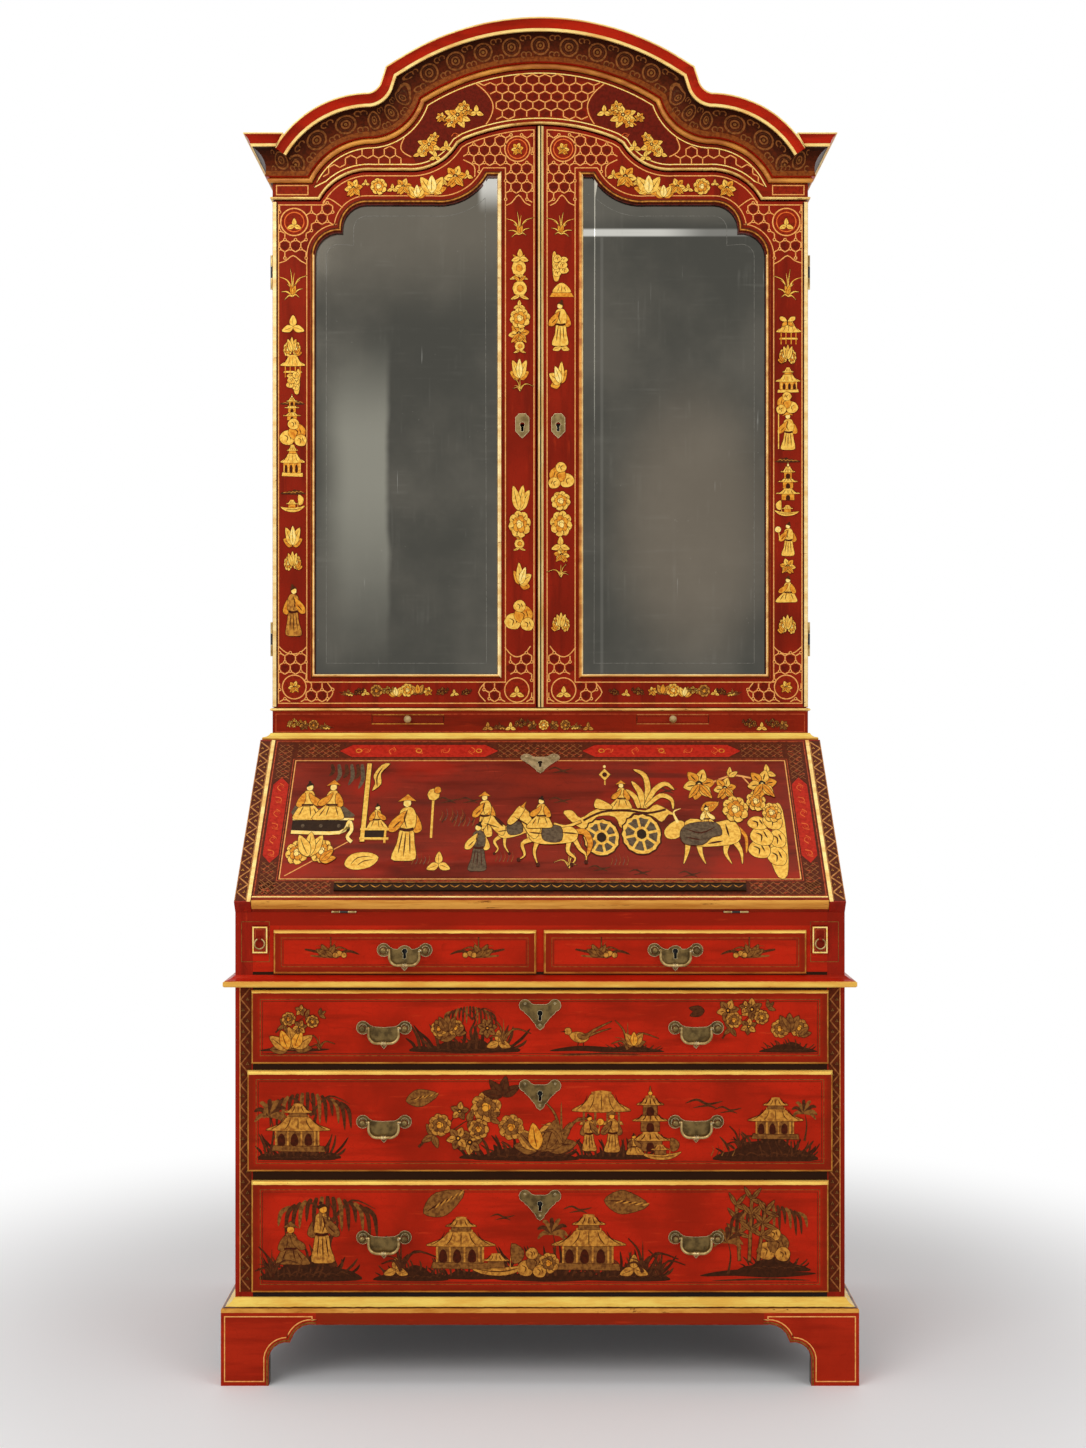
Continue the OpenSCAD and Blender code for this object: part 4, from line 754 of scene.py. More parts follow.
def make_cornice():
    red = PAINTS["scarlet"]
    inner = PAINTS["crimson"]
    cove = [(u, v, COVE_LIGHT_AND_SHADE[min(5, i // 2)])
            for i, (u, v, _) in enumerate(profile_arc(COVE_START, COVE_END, -9, None, 12))]
    p, h = CORNICE_OUT, CORNICE_H
    fascia = h - 16
    profile = [(-9, 0, PAINTS["dark"])] + profile_arc((-8.6, 3.6), (0.6, 3.6), 4.4, GILT_ORANGE, 8)
    profile += [(0.6, 4, red), (1.0, 11.2, inner)] + cove
    profile += [(fascia - 5, p - 14, GILT_PALE), (fascia - 4.4, p - 11.4, GILT_PALE),
                (fascia - 0.6, p - 11, GILT_PALE), (fascia, p - 10.6, red)]
    profile += profile_arc((fascia, p - 10.6), (h - 2.4, p - 2), -1.2, red, 5)[1:]
    profile += [(h - 2.4, p - 2, GILT_PALE), (h - 2.2, p - 0.3, GILT_PALE), (h - 1.6, p, GILT_PALE),
                (h - 0.2, p, red), (h, p - 0.4, red), (h, 0, red)]
    mesh = Mesh()
    sweep(mesh, face_stations(cornice_line()), profile)
    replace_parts(mesh.make("cornice_dressed", "carcase", "red_lacquer", 24), "cornice")


BEAD_R, BEAD_OUT = 2.5, 4.0


def make_beads():
    mesh = Mesh()
    half = [(BEAD_R * (1 - math.cos(t)), BEAD_OUT * math.sin(t), GILT_BEAD)
            for t in (math.pi * i / 10 for i in range(11))]
    sweep(mesh, face_stations(shifted(door_line(), 3)), half)
    rail = complex(0, DOOR_Z - 1 - 2 * BEAD_R - 0.5)
    level = [complex(-CAB_HW, 0), complex(0, 0), complex(CAB_HW, 0)]
    sweep(mesh, face_stations([p + rail for p in level]), half)
    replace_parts(mesh.make("cabinet_beads_gilt", "carcase", "gilding"), "cabinet_beads")


def upright_stations(loop, y):
    """Stations round a closed outline on the cabinet's front: out from the glass, and forward"""
    n = len(loop)
    return [(Vector((loop[i].real, y, loop[i].imag)), mitre(loop[i - 1], loop[i], loop[(i + 1) % n]))
            for i in range(n)]


def make_door_parts(side, name):
    """Gilt moulding round the glass and a bevelled mirror plate"""
    def turned(p):
        return complex(p.real * -side, p.imag)

    edge = sight_edge()
    moulding = [(-0.4, -0.2), (0, 1.6), (0.8, 3.4), (2.2, 4.6), (4.2, 4.9), (6.0, 4.4), (7.2, 3.4), (7.6, 2.5),
                (9.2, 2.3), (9.4, -0.2)]
    red, dark, brown = PAINTS["crimson"], PAINTS["dark"], PAINTS["band"]
    looks = {
        "inner": [GILT_CREAM] * (6 if side < 0 else 3) + ([dark] if side < 0 else [GILT_ORANGE] * 4) + [red] * 3,
        "sill": [brown, GILT_CREAM, GILT_CREAM, GILT_ORANGE, brown, brown, dark, red, red, red],
        "outer": [brown, GILT_ORANGE, GILT_CREAM, GILT_ORANGE, brown, red, PAINTS["orange"], red, red, red],
        "arch": [dark, dark, brown, PAINTS["old_gold"], brown, dark, dark, red, red, red],
    }
    looks = {key: (row + [red] * 10)[:10] for key, row in looks.items()}
    mesh = Mesh()
    rows = []
    for o, out in upright_stations(edge, CAB_Y):
        row = []
        for q in moulding:
            p = turned(complex(o.x, o.z) + out * q[0])
            row.append((p.real, o.y - q[1], p.imag))
        rows.append(mesh.add(row))
    for i, (row, after) in enumerate(zip(rows, rows[1:] + rows[:1])):
        a, b = edge[i], edge[(i + 1) % len(edge)]
        upright = abs(a.real - b.real) < 0.5
        where = "arch"
        if upright and a.real > -MIRROR_IN - 2:
            where = "inner"
        elif upright and abs(b - a) > 200:
            where = "outer"
        elif max(a.imag, b.imag) < SILL_Z + 1:
            where = "sill"
        for j in range(len(moulding)):
            k = (j + 1) % len(moulding)
            mesh.face([row[j], row[k], after[k], after[j]], looks[where][j])
    mesh.make(f"glass_moulding_{name}", f"door_{name}", "gilding", 40)

    glass_y = low(f"door_mirror_{name}").y
    plate = mirror(f"old_mirror_{name}", side)
    mesh = Mesh()
    inner, near = inset_loop(edge, 19)
    glint = bpy.data.materials.get("bevel_line") or paint("bevel_line", srgb(128, 126, 118), srgb(98, 96, 90),
                                                         MIRROR_DARK, 0.6, 0.56, 0.2)
    loops = [(grown(edge, 5.4), 4.0), (grown(edge, 5.4), 0.4), (inner, 0.0), (grown(inner, -0.7), 0.0)]
    rows = [mesh.add([(turned(p).real, glass_y + depth, turned(p).imag) for p in loop]) for loop, depth in loops]
    mesh.ring(rows[0], rows[1], plate)
    for i in range(len(edge)):
        j = (i + 1) % len(edge)
        a, b = rows[2][near[i]], rows[2][near[j]]
        mesh.face([rows[1][i], rows[1][j], b, a] if a != b else [rows[1][i], rows[1][j], a], plate)
    mesh.ring(rows[2], rows[3], glint)
    mesh.face(rows[3], plate)
    mesh.face(rows[0][::-1], plate)
    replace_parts(mesh.make(f"bevelled_mirror_{name}", f"door_{name}", "mirror_glass", 3), f"door_mirror_{name}")





# Brush work in relief
EVEN = lambda t: 1.0
TAIL = lambda t: 1.0 - 0.92 * t
SPINDLE = lambda t: 0.12 + 0.88 * math.sin(math.pi * t) ** 0.8
COMMA = lambda t: 0.1 + 0.9 * math.sin(math.pi * min(1, 0.15 + 0.85 * t)) ** 0.7


def ribbon(path, width, taper):
    left, right = [], []
    last = len(path) - 1
    for i, p in enumerate(path):
        way = unit(path[min(i + 1, last)] - path[max(i - 1, 0)]) * 1j * width / 2 * taper(i / last)
        left.append(p + way)
        right.append(p - way)
    return left + right[::-1]


class Panel:
    """Painting on one face. place(p, h) turns a plane point and a height over the face into space"""

    def __init__(self, place, base=0.28):
        self.mesh = Mesh()
        self.place = place
        self.base = base
        self.rank = 0
        self.drawn = 0

    def slab(self, outline, material, height):
        top = self.mesh.add([self.place(p, height) for p in outline])
        bottom = self.mesh.add([self.place(p, -0.03) for p in outline])
        self.mesh.ring(bottom, top, material)
        self.mesh.face(top, material)
        self.mesh.face(bottom[::-1], material)

    def shape(self, outline, colour, edge=None, edge_w=0.8):
        """One brushed shape, a hair higher than the one before it"""
        height = self.base + 0.02 * self.rank
        self.rank += 1
        if edge:
            self.slab(grown_safely(outline, edge_w), PAINTS[edge], height)
        self.slab(outline, PAINTS[colour], height + 0.01)

    def line(self, path, width, colour, closed=False, height=0.24):
        """A thin line of even width"""
        ways = line_ways(path, closed)
        sides = [[p + lean * width / 2 * n for p, n in zip(path, ways)] for lean in (1, -1)]
        rows = [self.mesh.add([self.place(p, h) for p in side])
                for side, h in ((sides[0], -0.03), (sides[0], height), (sides[1], height), (sides[1], -0.03))]
        for a, b in zip(rows, rows[1:] + rows[:1]):
            self.mesh.ring(a, b, PAINTS[colour], closed)
        if not closed:
            for i in (0, -1):
                self.mesh.face([row[i] for row in rows], PAINTS[colour])

    def make(self, name, body, slot="gilding"):
        return self.mesh.make(name, body, slot, 40)


def grown_safely(outline, d):
    """The outline made wider all round, with its corners kept from shooting out"""
    n = len(outline)
    area = sum((outline[i - 1].conjugate() * outline[i]).imag for i in range(n))
    way = -1 if area > 0 else 1
    result = []
    for i in range(n):
        a, b, c = outline[i - 1], outline[i], outline[(i + 1) % n]
        if abs(b - a) < 1e-6 or abs(c - b) < 1e-6:
            result.append(b)
            continue
        n1, n2 = unit(b - a) * 1j, unit(c - b) * 1j
        both = n1 + n2
        if abs(both) < 0.3:
            result.append(b + way * d * n1)
        else:
            result.append(b + way * d * both / max(0.9, (both.real * n1.real + both.imag * n1.imag)))
    return result


LOOKS = {
    "fall": {"gold": "gold", "second": "orange", "pale": "pale", "ink": "ink", "dark": "black", "grey": "grey",
             "leaf": "gold", "wash": "umber", "ink_w": 0.95, "tall": 1.48},
    "door": {"gold": "gold", "second": "orange", "pale": "pale", "ink": "ink", "dark": "umber", "grey": "old_gold",
             "leaf": "gold", "wash": "umber", "ink_w": 0.6},
    "drawer": {"gold": "old_gold", "second": "bronze", "pale": "orange", "ink": "ink", "dark": "dusk",
               "grey": "umber", "leaf": "bronze", "wash": "umber", "ink_w": 0.75},
}


class Pen:
    """Draws motifs in their own units: the size of one unit, its place and its turn on the panel"""

    def __init__(self, panel, look, at, size, turn=0, flip=False):
        self.panel, self.look, self.at, self.size, self.flip = panel, LOOKS[look], at, size, flip
        self.turn = cmath.rect(1, math.radians(turn))
        self.tall = self.look.get("tall", 1)

    def spot(self, p):
        p = complex(p)
        way = self.size * self.turn * (complex(-p.real, p.imag) if self.flip else p)
        return self.at + complex(way.real, way.imag * self.tall)

    def fill(self, points, colour="gold", edge=True):
        self.panel.shape([self.spot(p) for p in points], self.look.get(colour, colour),
                         self.look["ink"] if edge else None, self.look["ink_w"])

    def blob(self, points, colour="gold", edge=True, steps=3):
        self.fill(smooth(points, steps, True), colour, edge)

    def disc(self, c, r, colour="gold", edge=True, n=14):
        self.fill([c + cmath.rect(r * (1 + 0.04 * math.sin(3 * i)), 2 * math.pi * i / n) for i in range(n)],
                  colour, edge)

    def stroke(self, points, width, colour="gold", taper=SPINDLE, edge=False, steps=4):
        wide = max(width, 0.55 / self.size)
        self.fill(ribbon(smooth(points, steps), wide, taper), colour, edge)

    def lines(self, strokes, width, colour="ink", taper=SPINDLE):
        for points in strokes:
            self.stroke(points, width, colour, taper, steps=3)

    def ring(self, c, r, w, colour="gold", n=24):
        loop = [self.spot(c + cmath.rect(r, -2 * math.pi * i / n)) for i in range(n)]
        height = self.panel.base + 0.02 * self.panel.rank
        self.panel.rank += 1
        self.panel.line(loop, w * self.size, self.look.get(colour, colour), True, height)

    def leaf(self, base, tip, fat=0.32, colour="leaf", vein=True):
        way = tip - base
        side = way * 1j * fat
        points = [base, base + 0.25 * way + 0.75 * side, base + 0.55 * way + 0.8 * side, tip,
                  base + 0.55 * way - 0.8 * side, base + 0.25 * way - 0.75 * side]
        self.blob(points, colour)
        if vein:
            self.stroke([base + 0.08 * way, base + 0.45 * way + 0.08 * side, base + 0.85 * way],
                        0.035 * abs(way), "ink")


# Motifs, each about one unit high unless its comment says otherwise
def flower(pen, c=0j, r=0.5, petals=6, aim=10, colour="gold", core="dark"):
    for k in range(petals):
        way = cmath.rect(r, math.radians(aim + 360 * k / petals))
        pen.leaf(c + 0.12 * way, c + way, 0.42, colour if k % 2 else "second", vein=False)
        pen.stroke([c + 0.3 * way, c + 0.75 * way], 0.04 * r * 2, "ink")
    pen.disc(c, 0.24 * r, core, edge=False, n=10)
    pen.disc(c, 0.1 * r, "pale", edge=False, n=8)


def peony(pen, c=0j, r=0.5, aim=0):
    for ring, count, size, colour in ((0.62, 8, 0.36, "gold"), (0.34, 5, 0.3, "second"), (0.1, 3, 0.2, "pale")):
        for k in range(count):
            way = cmath.rect(r * ring, math.radians(aim + 360 * k / count + 20 * ring))
            pen.disc(c + way, r * size, colour, n=10)
    for k in range(7):
        way = cmath.rect(r, math.radians(aim + 50 * k))
        pen.stroke([c + 0.5 * way, c + 0.86 * way], 0.05 * r, "ink")


def lily(pen, c=0j, r=0.5, aim=90):
    """Pointed petals that open upwards"""
    for spread, length, colour in ((-70, 0.8, "second"), (70, 0.8, "second"), (-35, 1, "gold"), (35, 1, "gold"),
                                   (0, 0.9, "pale")):
        pen.leaf(c, c + cmath.rect(r * length, math.radians(aim + spread)), 0.3, colour)


def leaves(pen, c, r, turns, colour="leaf", fat=0.28):
    for turn in turns:
        pen.leaf(c, c + cmath.rect(r, math.radians(turn)), fat, colour)


def grass(pen, c=0j, h=1.0, n=7, spread=70, colour="leaf"):
    for k in range(n):
        turn = math.radians(90 + spread * (k / (n - 1) - 0.5) * 2)
        reach = h * (0.72 + 0.28 * math.cos(1.7 * k))
        tip = c + cmath.rect(reach, turn)
        bend = c + cmath.rect(0.6 * reach, (turn + math.pi / 2) / 2)
        pen.stroke([c, bend, tip], 0.07 * h, colour, TAIL, edge=k % 2 == 0)


def sprig(pen):
    """A tuft of fine stalks with two that droop"""
    grass(pen, 0.04j, 0.95, 8, 44, "gold")
    for tip, width in ((-0.5 + 0.2j, 0.08), (0.46 + 0.3j, 0.07), (-0.36 - 0.06j, 0.06), (0.3 + 0.02j, 0.06)):
        pen.stroke([0.06j, 0.5 * tip + 0.1j, tip], width, "gold", TAIL, edge=True)
    leaves(pen, 0.1j, 0.34, (66, 104), "second")


def branch_of_flowers(pen):
    """About two units long, from the lower left to the upper right"""
    pen.stroke([-1 - 0.45j, -0.6 - 0.1j, -0.2 - 0.05j, 0.3 + 0.25j, 0.8 + 0.3j], 0.07, "wash", TAIL)
    pen.stroke([-0.3 - 0.05j, -0.1 + 0.3j, 0.05 + 0.5j], 0.04, "wash", TAIL)
    leaves(pen, -0.62 - 0.15j, 0.34, (120, 210, 290))
    leaves(pen, 0.28 + 0.2j, 0.34, (-60, 70, -20))
    leaves(pen, 0.85 + 0.3j, 0.28, (30, 80, -30), "second")
    peony(pen, -0.45 + 0.12j, 0.3)
    flower(pen, 0.02 - 0.22j, 0.3, 6)
    flower(pen, 0.06 + 0.48j, 0.24, 5)
    peony(pen, 0.55 + 0.02j, 0.27, 30)


def mound(pen, lines=5):
    """Broken ground two units wide, from -1 to 1, with a flat foot"""
    pen.blob([-1, -0.8 + 0.07j, -0.55 + 0.06j, -0.35 + 0.13j, -0.1 + 0.12j, 0.1 + 0.2j, 0.35 + 0.15j, 0.5 + 0.16j,
              0.75 + 0.07j, 1, 0.3 - 0.04j, -0.5 - 0.03j], "dark", False)
    for k in range(lines):
        x = -0.6 + 1.2 * k / max(1, lines - 1)
        pen.stroke([x - 0.2 + 0.03j, x + 0.07j + 0.01 * k * 1j, x + 0.25 + 0.03j], 0.03, "grey")


def knoll(pen):
    """A dark hill two units wide and half a unit high, with brush on its back"""
    first = pen.panel.rank
    pen.blob([-1, -0.84 + 0.14j, -0.6 + 0.2j, -0.42 + 0.36j, -0.12 + 0.4j, 0.08 + 0.5j, 0.34 + 0.42j, 0.52 + 0.24j,
              0.8 + 0.16j, 1, 0.4 - 0.04j, -0.4 - 0.03j], "dark", False)
    for k in range(16):
        pen.panel.rank = first + 1 + 0.29 * (k % 8)
        foot = complex(-0.8 + 0.105 * k, 0.1 + 0.26 * math.cos(0.16 * (k - 7)) ** 2 * (0.4 + 0.6 * (k % 3 > 0)))
        reach = cmath.rect(0.2 + 0.16 * abs(math.sin(1.7 * k)), math.radians(140 - 6 * k + 18 * math.sin(4 * k)))
        pen.stroke([foot, foot + 0.5 * reach + 0.03, foot + reach], 0.05, ("dark", "wash", "grey")[k % 3], COMMA)
    for k in range(6):
        pen.panel.rank = first + 4 + 0.2 * k
        x = -0.62 + 0.22 * k
        pen.stroke([x + 0.06j, x + 0.12 + (0.12 + 0.03 * (k % 2)) * 1j, x + 0.3 + 0.07j], 0.026, "grey")


def strand(pen):
    """A flat shore two units wide with ripples under it"""
    pen.stroke([-1, -0.4 + 0.05j, 0.3 + 0.02j, 1 + 0.04j], 0.12, "dark", SPINDLE)
    pen.stroke([-0.8 - 0.09j, 0.1 - 0.06j, 0.9 - 0.08j], 0.04, "wash", SPINDLE)


def rock(pen):
    for c, r, colour in ((-0.22 + 0.3j, 0.3, "gold"), (0.16 + 0.52j, 0.34, "second"), (0.02 + 0.84j, 0.22, "gold"),
                         (0.3 + 0.2j, 0.24, "gold")):
        pen.blob([c - r, c + r * (-0.5 + 0.8j), c + r * (0.35 + 0.95j), c + r * (1 + 0.2j), c + r * (0.6 - 0.8j),
                  c + r * (-0.5 - 0.75j)], colour)
        pen.lines([[c + r * (-0.4 + 0.4j), c + r * (0.1 + 0.1j), c + r * (-0.1 - 0.5j)],
                   [c + r * (0.3 + 0.5j), c + r * (0.5 - 0.2j)]], 0.035)


def figure(pen, hat="cap", prop="fan", robe="gold", over="second"):
    for x in (-0.07, 0.09):
        pen.blob([x - 0.05, x + 0.03j, x + 0.07 + 0.01j, x + 0.06 - 0.02j], "ink", False)
    pen.blob([-0.17 + 0.03j, -0.14 + 0.26j, -0.09 + 0.5j, 0.09 + 0.5j, 0.14 + 0.26j, 0.21 + 0.03j, 0.02 + 0.0j], robe)
    pen.lines([[-0.05 + 0.46j, -0.08 + 0.1j], [0.01 + 0.44j, 0.02 + 0.06j], [0.06 + 0.46j, 0.11 + 0.1j]], 0.022)
    pen.blob([-0.06 + 0.78j, -0.18 + 0.66j, -0.24 + 0.48j, -0.13 + 0.43j, -0.05 + 0.6j], over)
    pen.blob([-0.1 + 0.47j, -0.14 + 0.66j, -0.08 + 0.81j, 0.03 + 0.83j, 0.12 + 0.77j, 0.13 + 0.6j, 0.09 + 0.47j], robe)
    pen.blob([0.02 + 0.77j, 0.15 + 0.7j, 0.27 + 0.58j, 0.29 + 0.46j, 0.18 + 0.45j, 0.07 + 0.58j], over)
    pen.lines([[0.0 + 0.8j, 0.05 + 0.66j, 0.0 + 0.5j], [0.1 + 0.62j, 0.22 + 0.5j]], 0.022)
    pen.stroke([-0.11 + 0.49j, 0.0 + 0.47j, 0.11 + 0.49j], 0.045, "ink", EVEN)
    pen.disc(0.02 + 0.895j, 0.062, "pale", n=12)
    if hat == "cap":
        pen.blob([-0.055 + 0.9j, -0.05 + 0.96j, 0.03 + 0.985j, 0.085 + 0.94j, 0.03 + 0.935j], "dark", False)
        pen.disc(-0.02 + 1.0j, 0.03, "dark", False, 8)
    else:
        pen.fill([-0.12 + 0.93j, 0.02 + 1.04j, 0.17 + 0.92j, 0.02 + 0.945j], "second")
    if prop == "fan":
        pen.stroke([0.26 + 0.48j, 0.3 + 0.72j], 0.025, "gold", EVEN)
        pen.disc(0.32 + 0.8j, 0.09, "pale")
    elif prop == "staff":
        pen.stroke([0.27 + 0.02j, 0.27 + 1.04j], 0.028, "gold", EVEN)
        pen.disc(0.27 + 1.09j, 0.07, "second")
    elif prop == "parasol":
        pen.stroke([0.26 + 0.46j, 0.2 + 1.12j], 0.025, "gold", EVEN)
        pen.blob([-0.08 + 1.04j, 0.05 + 1.17j, 0.2 + 1.22j, 0.36 + 1.15j, 0.46 + 1.02j, 0.2 + 1.07j], "second")
        pen.lines([[0.2 + 1.2j, 0.06 + 1.07j], [0.2 + 1.2j, 0.2 + 1.08j], [0.2 + 1.2j, 0.34 + 1.07j]], 0.02)


def seated(pen, hat="cap", robe="gold", over="second"):
    pen.blob([-0.34 + 0.02j, -0.3 + 0.2j, -0.16 + 0.4j, 0.05 + 0.44j, 0.24 + 0.3j, 0.42 + 0.12j, 0.44 + 0.0j, 0j], robe)
    pen.lines([[-0.1 + 0.36j, -0.2 + 0.1j], [0.05 + 0.38j, 0.12 + 0.08j], [0.16 + 0.3j, 0.3 + 0.08j]], 0.028)
    pen.blob([-0.16 + 0.36j, -0.2 + 0.56j, -0.1 + 0.74j, 0.07 + 0.75j, 0.16 + 0.6j, 0.14 + 0.38j], robe)
    pen.blob([0.0 + 0.7j, 0.16 + 0.6j, 0.32 + 0.5j, 0.36 + 0.38j, 0.22 + 0.36j, 0.06 + 0.5j], over)
    pen.blob([-0.12 + 0.7j, -0.26 + 0.54j, -0.3 + 0.36j, -0.16 + 0.34j, -0.08 + 0.52j], over)
    pen.stroke([-0.16 + 0.38j, 0.14 + 0.38j], 0.05, "ink", EVEN)
    pen.disc(0.0 + 0.84j, 0.085, "pale", n=12)
    if hat == "cap":
        pen.blob([-0.09 + 0.85j, -0.07 + 0.93j, 0.03 + 0.96j, 0.1 + 0.9j, 0.02 + 0.89j], "dark", False)
        pen.disc(-0.02 + 0.98j, 0.04, "dark", False, 8)
    else:
        pen.fill([-0.18 + 0.89j, 0.0 + 1.04j, 0.19 + 0.88j, 0.0 + 0.92j], "second")


def horse(pen, coat="gold"):
    """Trots to the left; about 1.2 units long"""
    for hoof in ([-0.26 + 0.42j, -0.46 + 0.34j, -0.42 + 0.16j, -0.52 + 0.08j], [-0.2 + 0.4j, -0.26 + 0.2j, -0.2 + 0.0j],
                 [0.34 + 0.42j, 0.3 + 0.22j, 0.42 + 0.1j, 0.36 + 0.0j], [0.4 + 0.44j, 0.5 + 0.26j, 0.6 + 0.16j, 0.6 + 0.04j]):
        pen.stroke(hoof, 0.085, coat, TAIL, edge=True)
        pen.disc(hoof[-1], 0.035, "ink", False, 8)
    pen.stroke([0.44 + 0.54j, 0.6 + 0.52j, 0.68 + 0.34j, 0.62 + 0.14j], 0.1, "second", COMMA, edge=True)
    pen.blob([-0.34 + 0.5j, -0.18 + 0.6j, 0.1 + 0.57j, 0.34 + 0.62j, 0.47 + 0.52j, 0.42 + 0.38j, 0.18 + 0.34j,
              -0.1 + 0.33j, -0.3 + 0.38j], coat)
    pen.blob([-0.16 + 0.6j, -0.3 + 0.8j, -0.44 + 0.92j, -0.55 + 0.86j, -0.48 + 0.7j, -0.36 + 0.5j, -0.24 + 0.42j], coat)
    pen.blob([-0.42 + 0.93j, -0.52 + 0.96j, -0.62 + 0.84j, -0.72 + 0.7j, -0.66 + 0.65j, -0.54 + 0.74j], coat)
    pen.fill([-0.44 + 0.93j, -0.4 + 1.04j, -0.5 + 0.95j], "second")
    pen.lines([[-0.3 + 0.84j, -0.22 + 0.7j, -0.16 + 0.62j], [-0.36 + 0.9j, -0.28 + 0.74j, -0.2 + 0.6j]], 0.05)
    pen.blob([-0.1 + 0.62j, 0.18 + 0.62j, 0.2 + 0.4j, 0.04 + 0.36j, -0.12 + 0.42j], "grey")
    pen.lines([[-0.34 + 0.52j, -0.12 + 0.5j], [0.2 + 0.52j, 0.46 + 0.5j], [-0.6 + 0.78j, -0.3 + 0.6j]], 0.025)


def ox(pen, coat="gold"):
    """Walks to the left; about 1.2 units long"""
    for leg in ([-0.3 + 0.34j, -0.34 + 0.16j, -0.4 + 0.0j], [-0.14 + 0.3j, -0.12 + 0.14j, -0.06 + 0.0j],
                [0.3 + 0.32j, 0.26 + 0.16j, 0.34 + 0.0j], [0.42 + 0.34j, 0.5 + 0.18j, 0.5 + 0.0j]):
        pen.stroke(leg, 0.1, coat, TAIL, edge=True)
    pen.stroke([0.48 + 0.56j, 0.6 + 0.4j, 0.58 + 0.16j], 0.05, "second", COMMA)
    pen.blob([-0.4 + 0.5j, -0.24 + 0.68j, 0.1 + 0.62j, 0.4 + 0.66j, 0.52 + 0.5j, 0.46 + 0.32j, 0.1 + 0.26j,
              -0.26 + 0.28j], coat)
    pen.blob([-0.34 + 0.62j, -0.5 + 0.64j, -0.66 + 0.5j, -0.62 + 0.38j, -0.44 + 0.4j], coat)
    pen.stroke([-0.44 + 0.62j, -0.5 + 0.78j, -0.38 + 0.84j], 0.05, "pale", TAIL)
    pen.lines([[-0.2 + 0.6j, -0.1 + 0.4j], [0.3 + 0.6j, 0.34 + 0.4j], [0.0 + 0.3j, 0.24 + 0.34j]], 0.03)


def cart(pen):
    """A travelling cart with plumes behind its driver, about 1.8 units long"""
    body = [-0.94 + 0.64j, -0.8 + 0.68j, -0.66 + 0.56j, -0.4 + 0.7j, 0.0 + 0.74j, 0.4 + 0.68j, 0.6 + 0.78j, 0.9 + 0.6j,
            0.78 + 0.62j, 0.66 + 0.5j, 0.5 + 0.6j, 0.2 + 0.64j, 0.0 + 0.4j, -0.1 + 0.58j, -0.4 + 0.58j, -0.62 + 0.38j]
    pen.blob(body, "gold")
    pen.stroke([-0.62 + 0.52j, -0.3 + 0.66j, 0.1 + 0.68j, 0.44 + 0.64j, 0.74 + 0.7j], 0.035, "ink", EVEN)
    for c, r in ((-0.33 + 0.25j, 0.28), (0.32 + 0.3j, 0.31)):
        pen.disc(c, r + 0.025, "ink", False, 30)
        pen.disc(c, r, "gold", False, 30)
        pen.disc(c, r - 0.05, "grey", False, 28)
        for k in range(8):
            way = cmath.rect(1, math.pi * k / 4 + 0.2)
            pen.stroke([c + 0.08 * way, c + (r - 0.03) * way], 0.04, "gold", EVEN)
        pen.disc(c, 0.12, "gold", False, 14)
        pen.disc(c, 0.08, "dark", False, 12)
    for way, wide in (([0.36 + 0.72j, 0.46 + 1.0j, 0.42 + 1.26j, 0.24 + 1.36j], 0.09),
                      ([0.34 + 0.72j, 0.34 + 0.96j, 0.2 + 1.16j], 0.1), ([0.4 + 0.72j, 0.56 + 1.0j, 0.76 + 1.12j, 0.9 + 1.02j], 0.08),
                      ([0.42 + 0.74j, 0.66 + 0.92j, 0.84 + 0.86j, 0.86 + 0.7j], 0.07),
                      ([0.3 + 0.72j, 0.24 + 0.9j, 0.1 + 1.02j], 0.08)):
        pen.stroke(way, wide, "gold", COMMA, edge=True)
    seated(Pen(pen.panel, "fall", pen.spot(0.02 + 0.7j), 0.46 * pen.size, 0, not pen.flip), "hat")
    pen.blob([-0.42 + 0.72j, -0.4 + 0.86j, -0.3 + 0.84j, -0.16 + 0.76j, -0.16 + 0.7j], "gold")
    pen.stroke([-0.66 + 0.5j, -0.9 + 0.42j, -1.1 + 0.46j], 0.04, "gold", EVEN, edge=True)


def roof(pen, x, y, w, h, colour="second"):
    """A tiled roof with lifted eaves, centred on x with its eaves at y"""
    pen.blob([x - w + 0.1j * h + y * 1j, x - 0.82 * w + y * 1j, x + (y - 0.04 * h) * 1j, x + 0.82 * w + y * 1j,
              x + w + (y + 0.1 * h) * 1j, x + 0.55 * w + (y + 0.5 * h) * 1j, x + 0.3 * w + (y + h) * 1j,
              x - 0.3 * w + (y + h) * 1j, x - 0.55 * w + (y + 0.5 * h) * 1j], colour)
    pen.lines([[x + k * 0.24 * w + (y + 0.92 * h) * 1j, x + k * 0.3 * w + (y + 0.45 * h) * 1j,
                x + k * 0.44 * w + (y + 0.06 * h) * 1j] for k in (-2, -1, 0, 1, 2)], 0.02)
    pen.stroke([x - 0.34 * w + (y + h) * 1j, x + (y + 1.08 * h) * 1j, x + 0.34 * w + (y + h) * 1j], 0.05, "gold", EVEN)


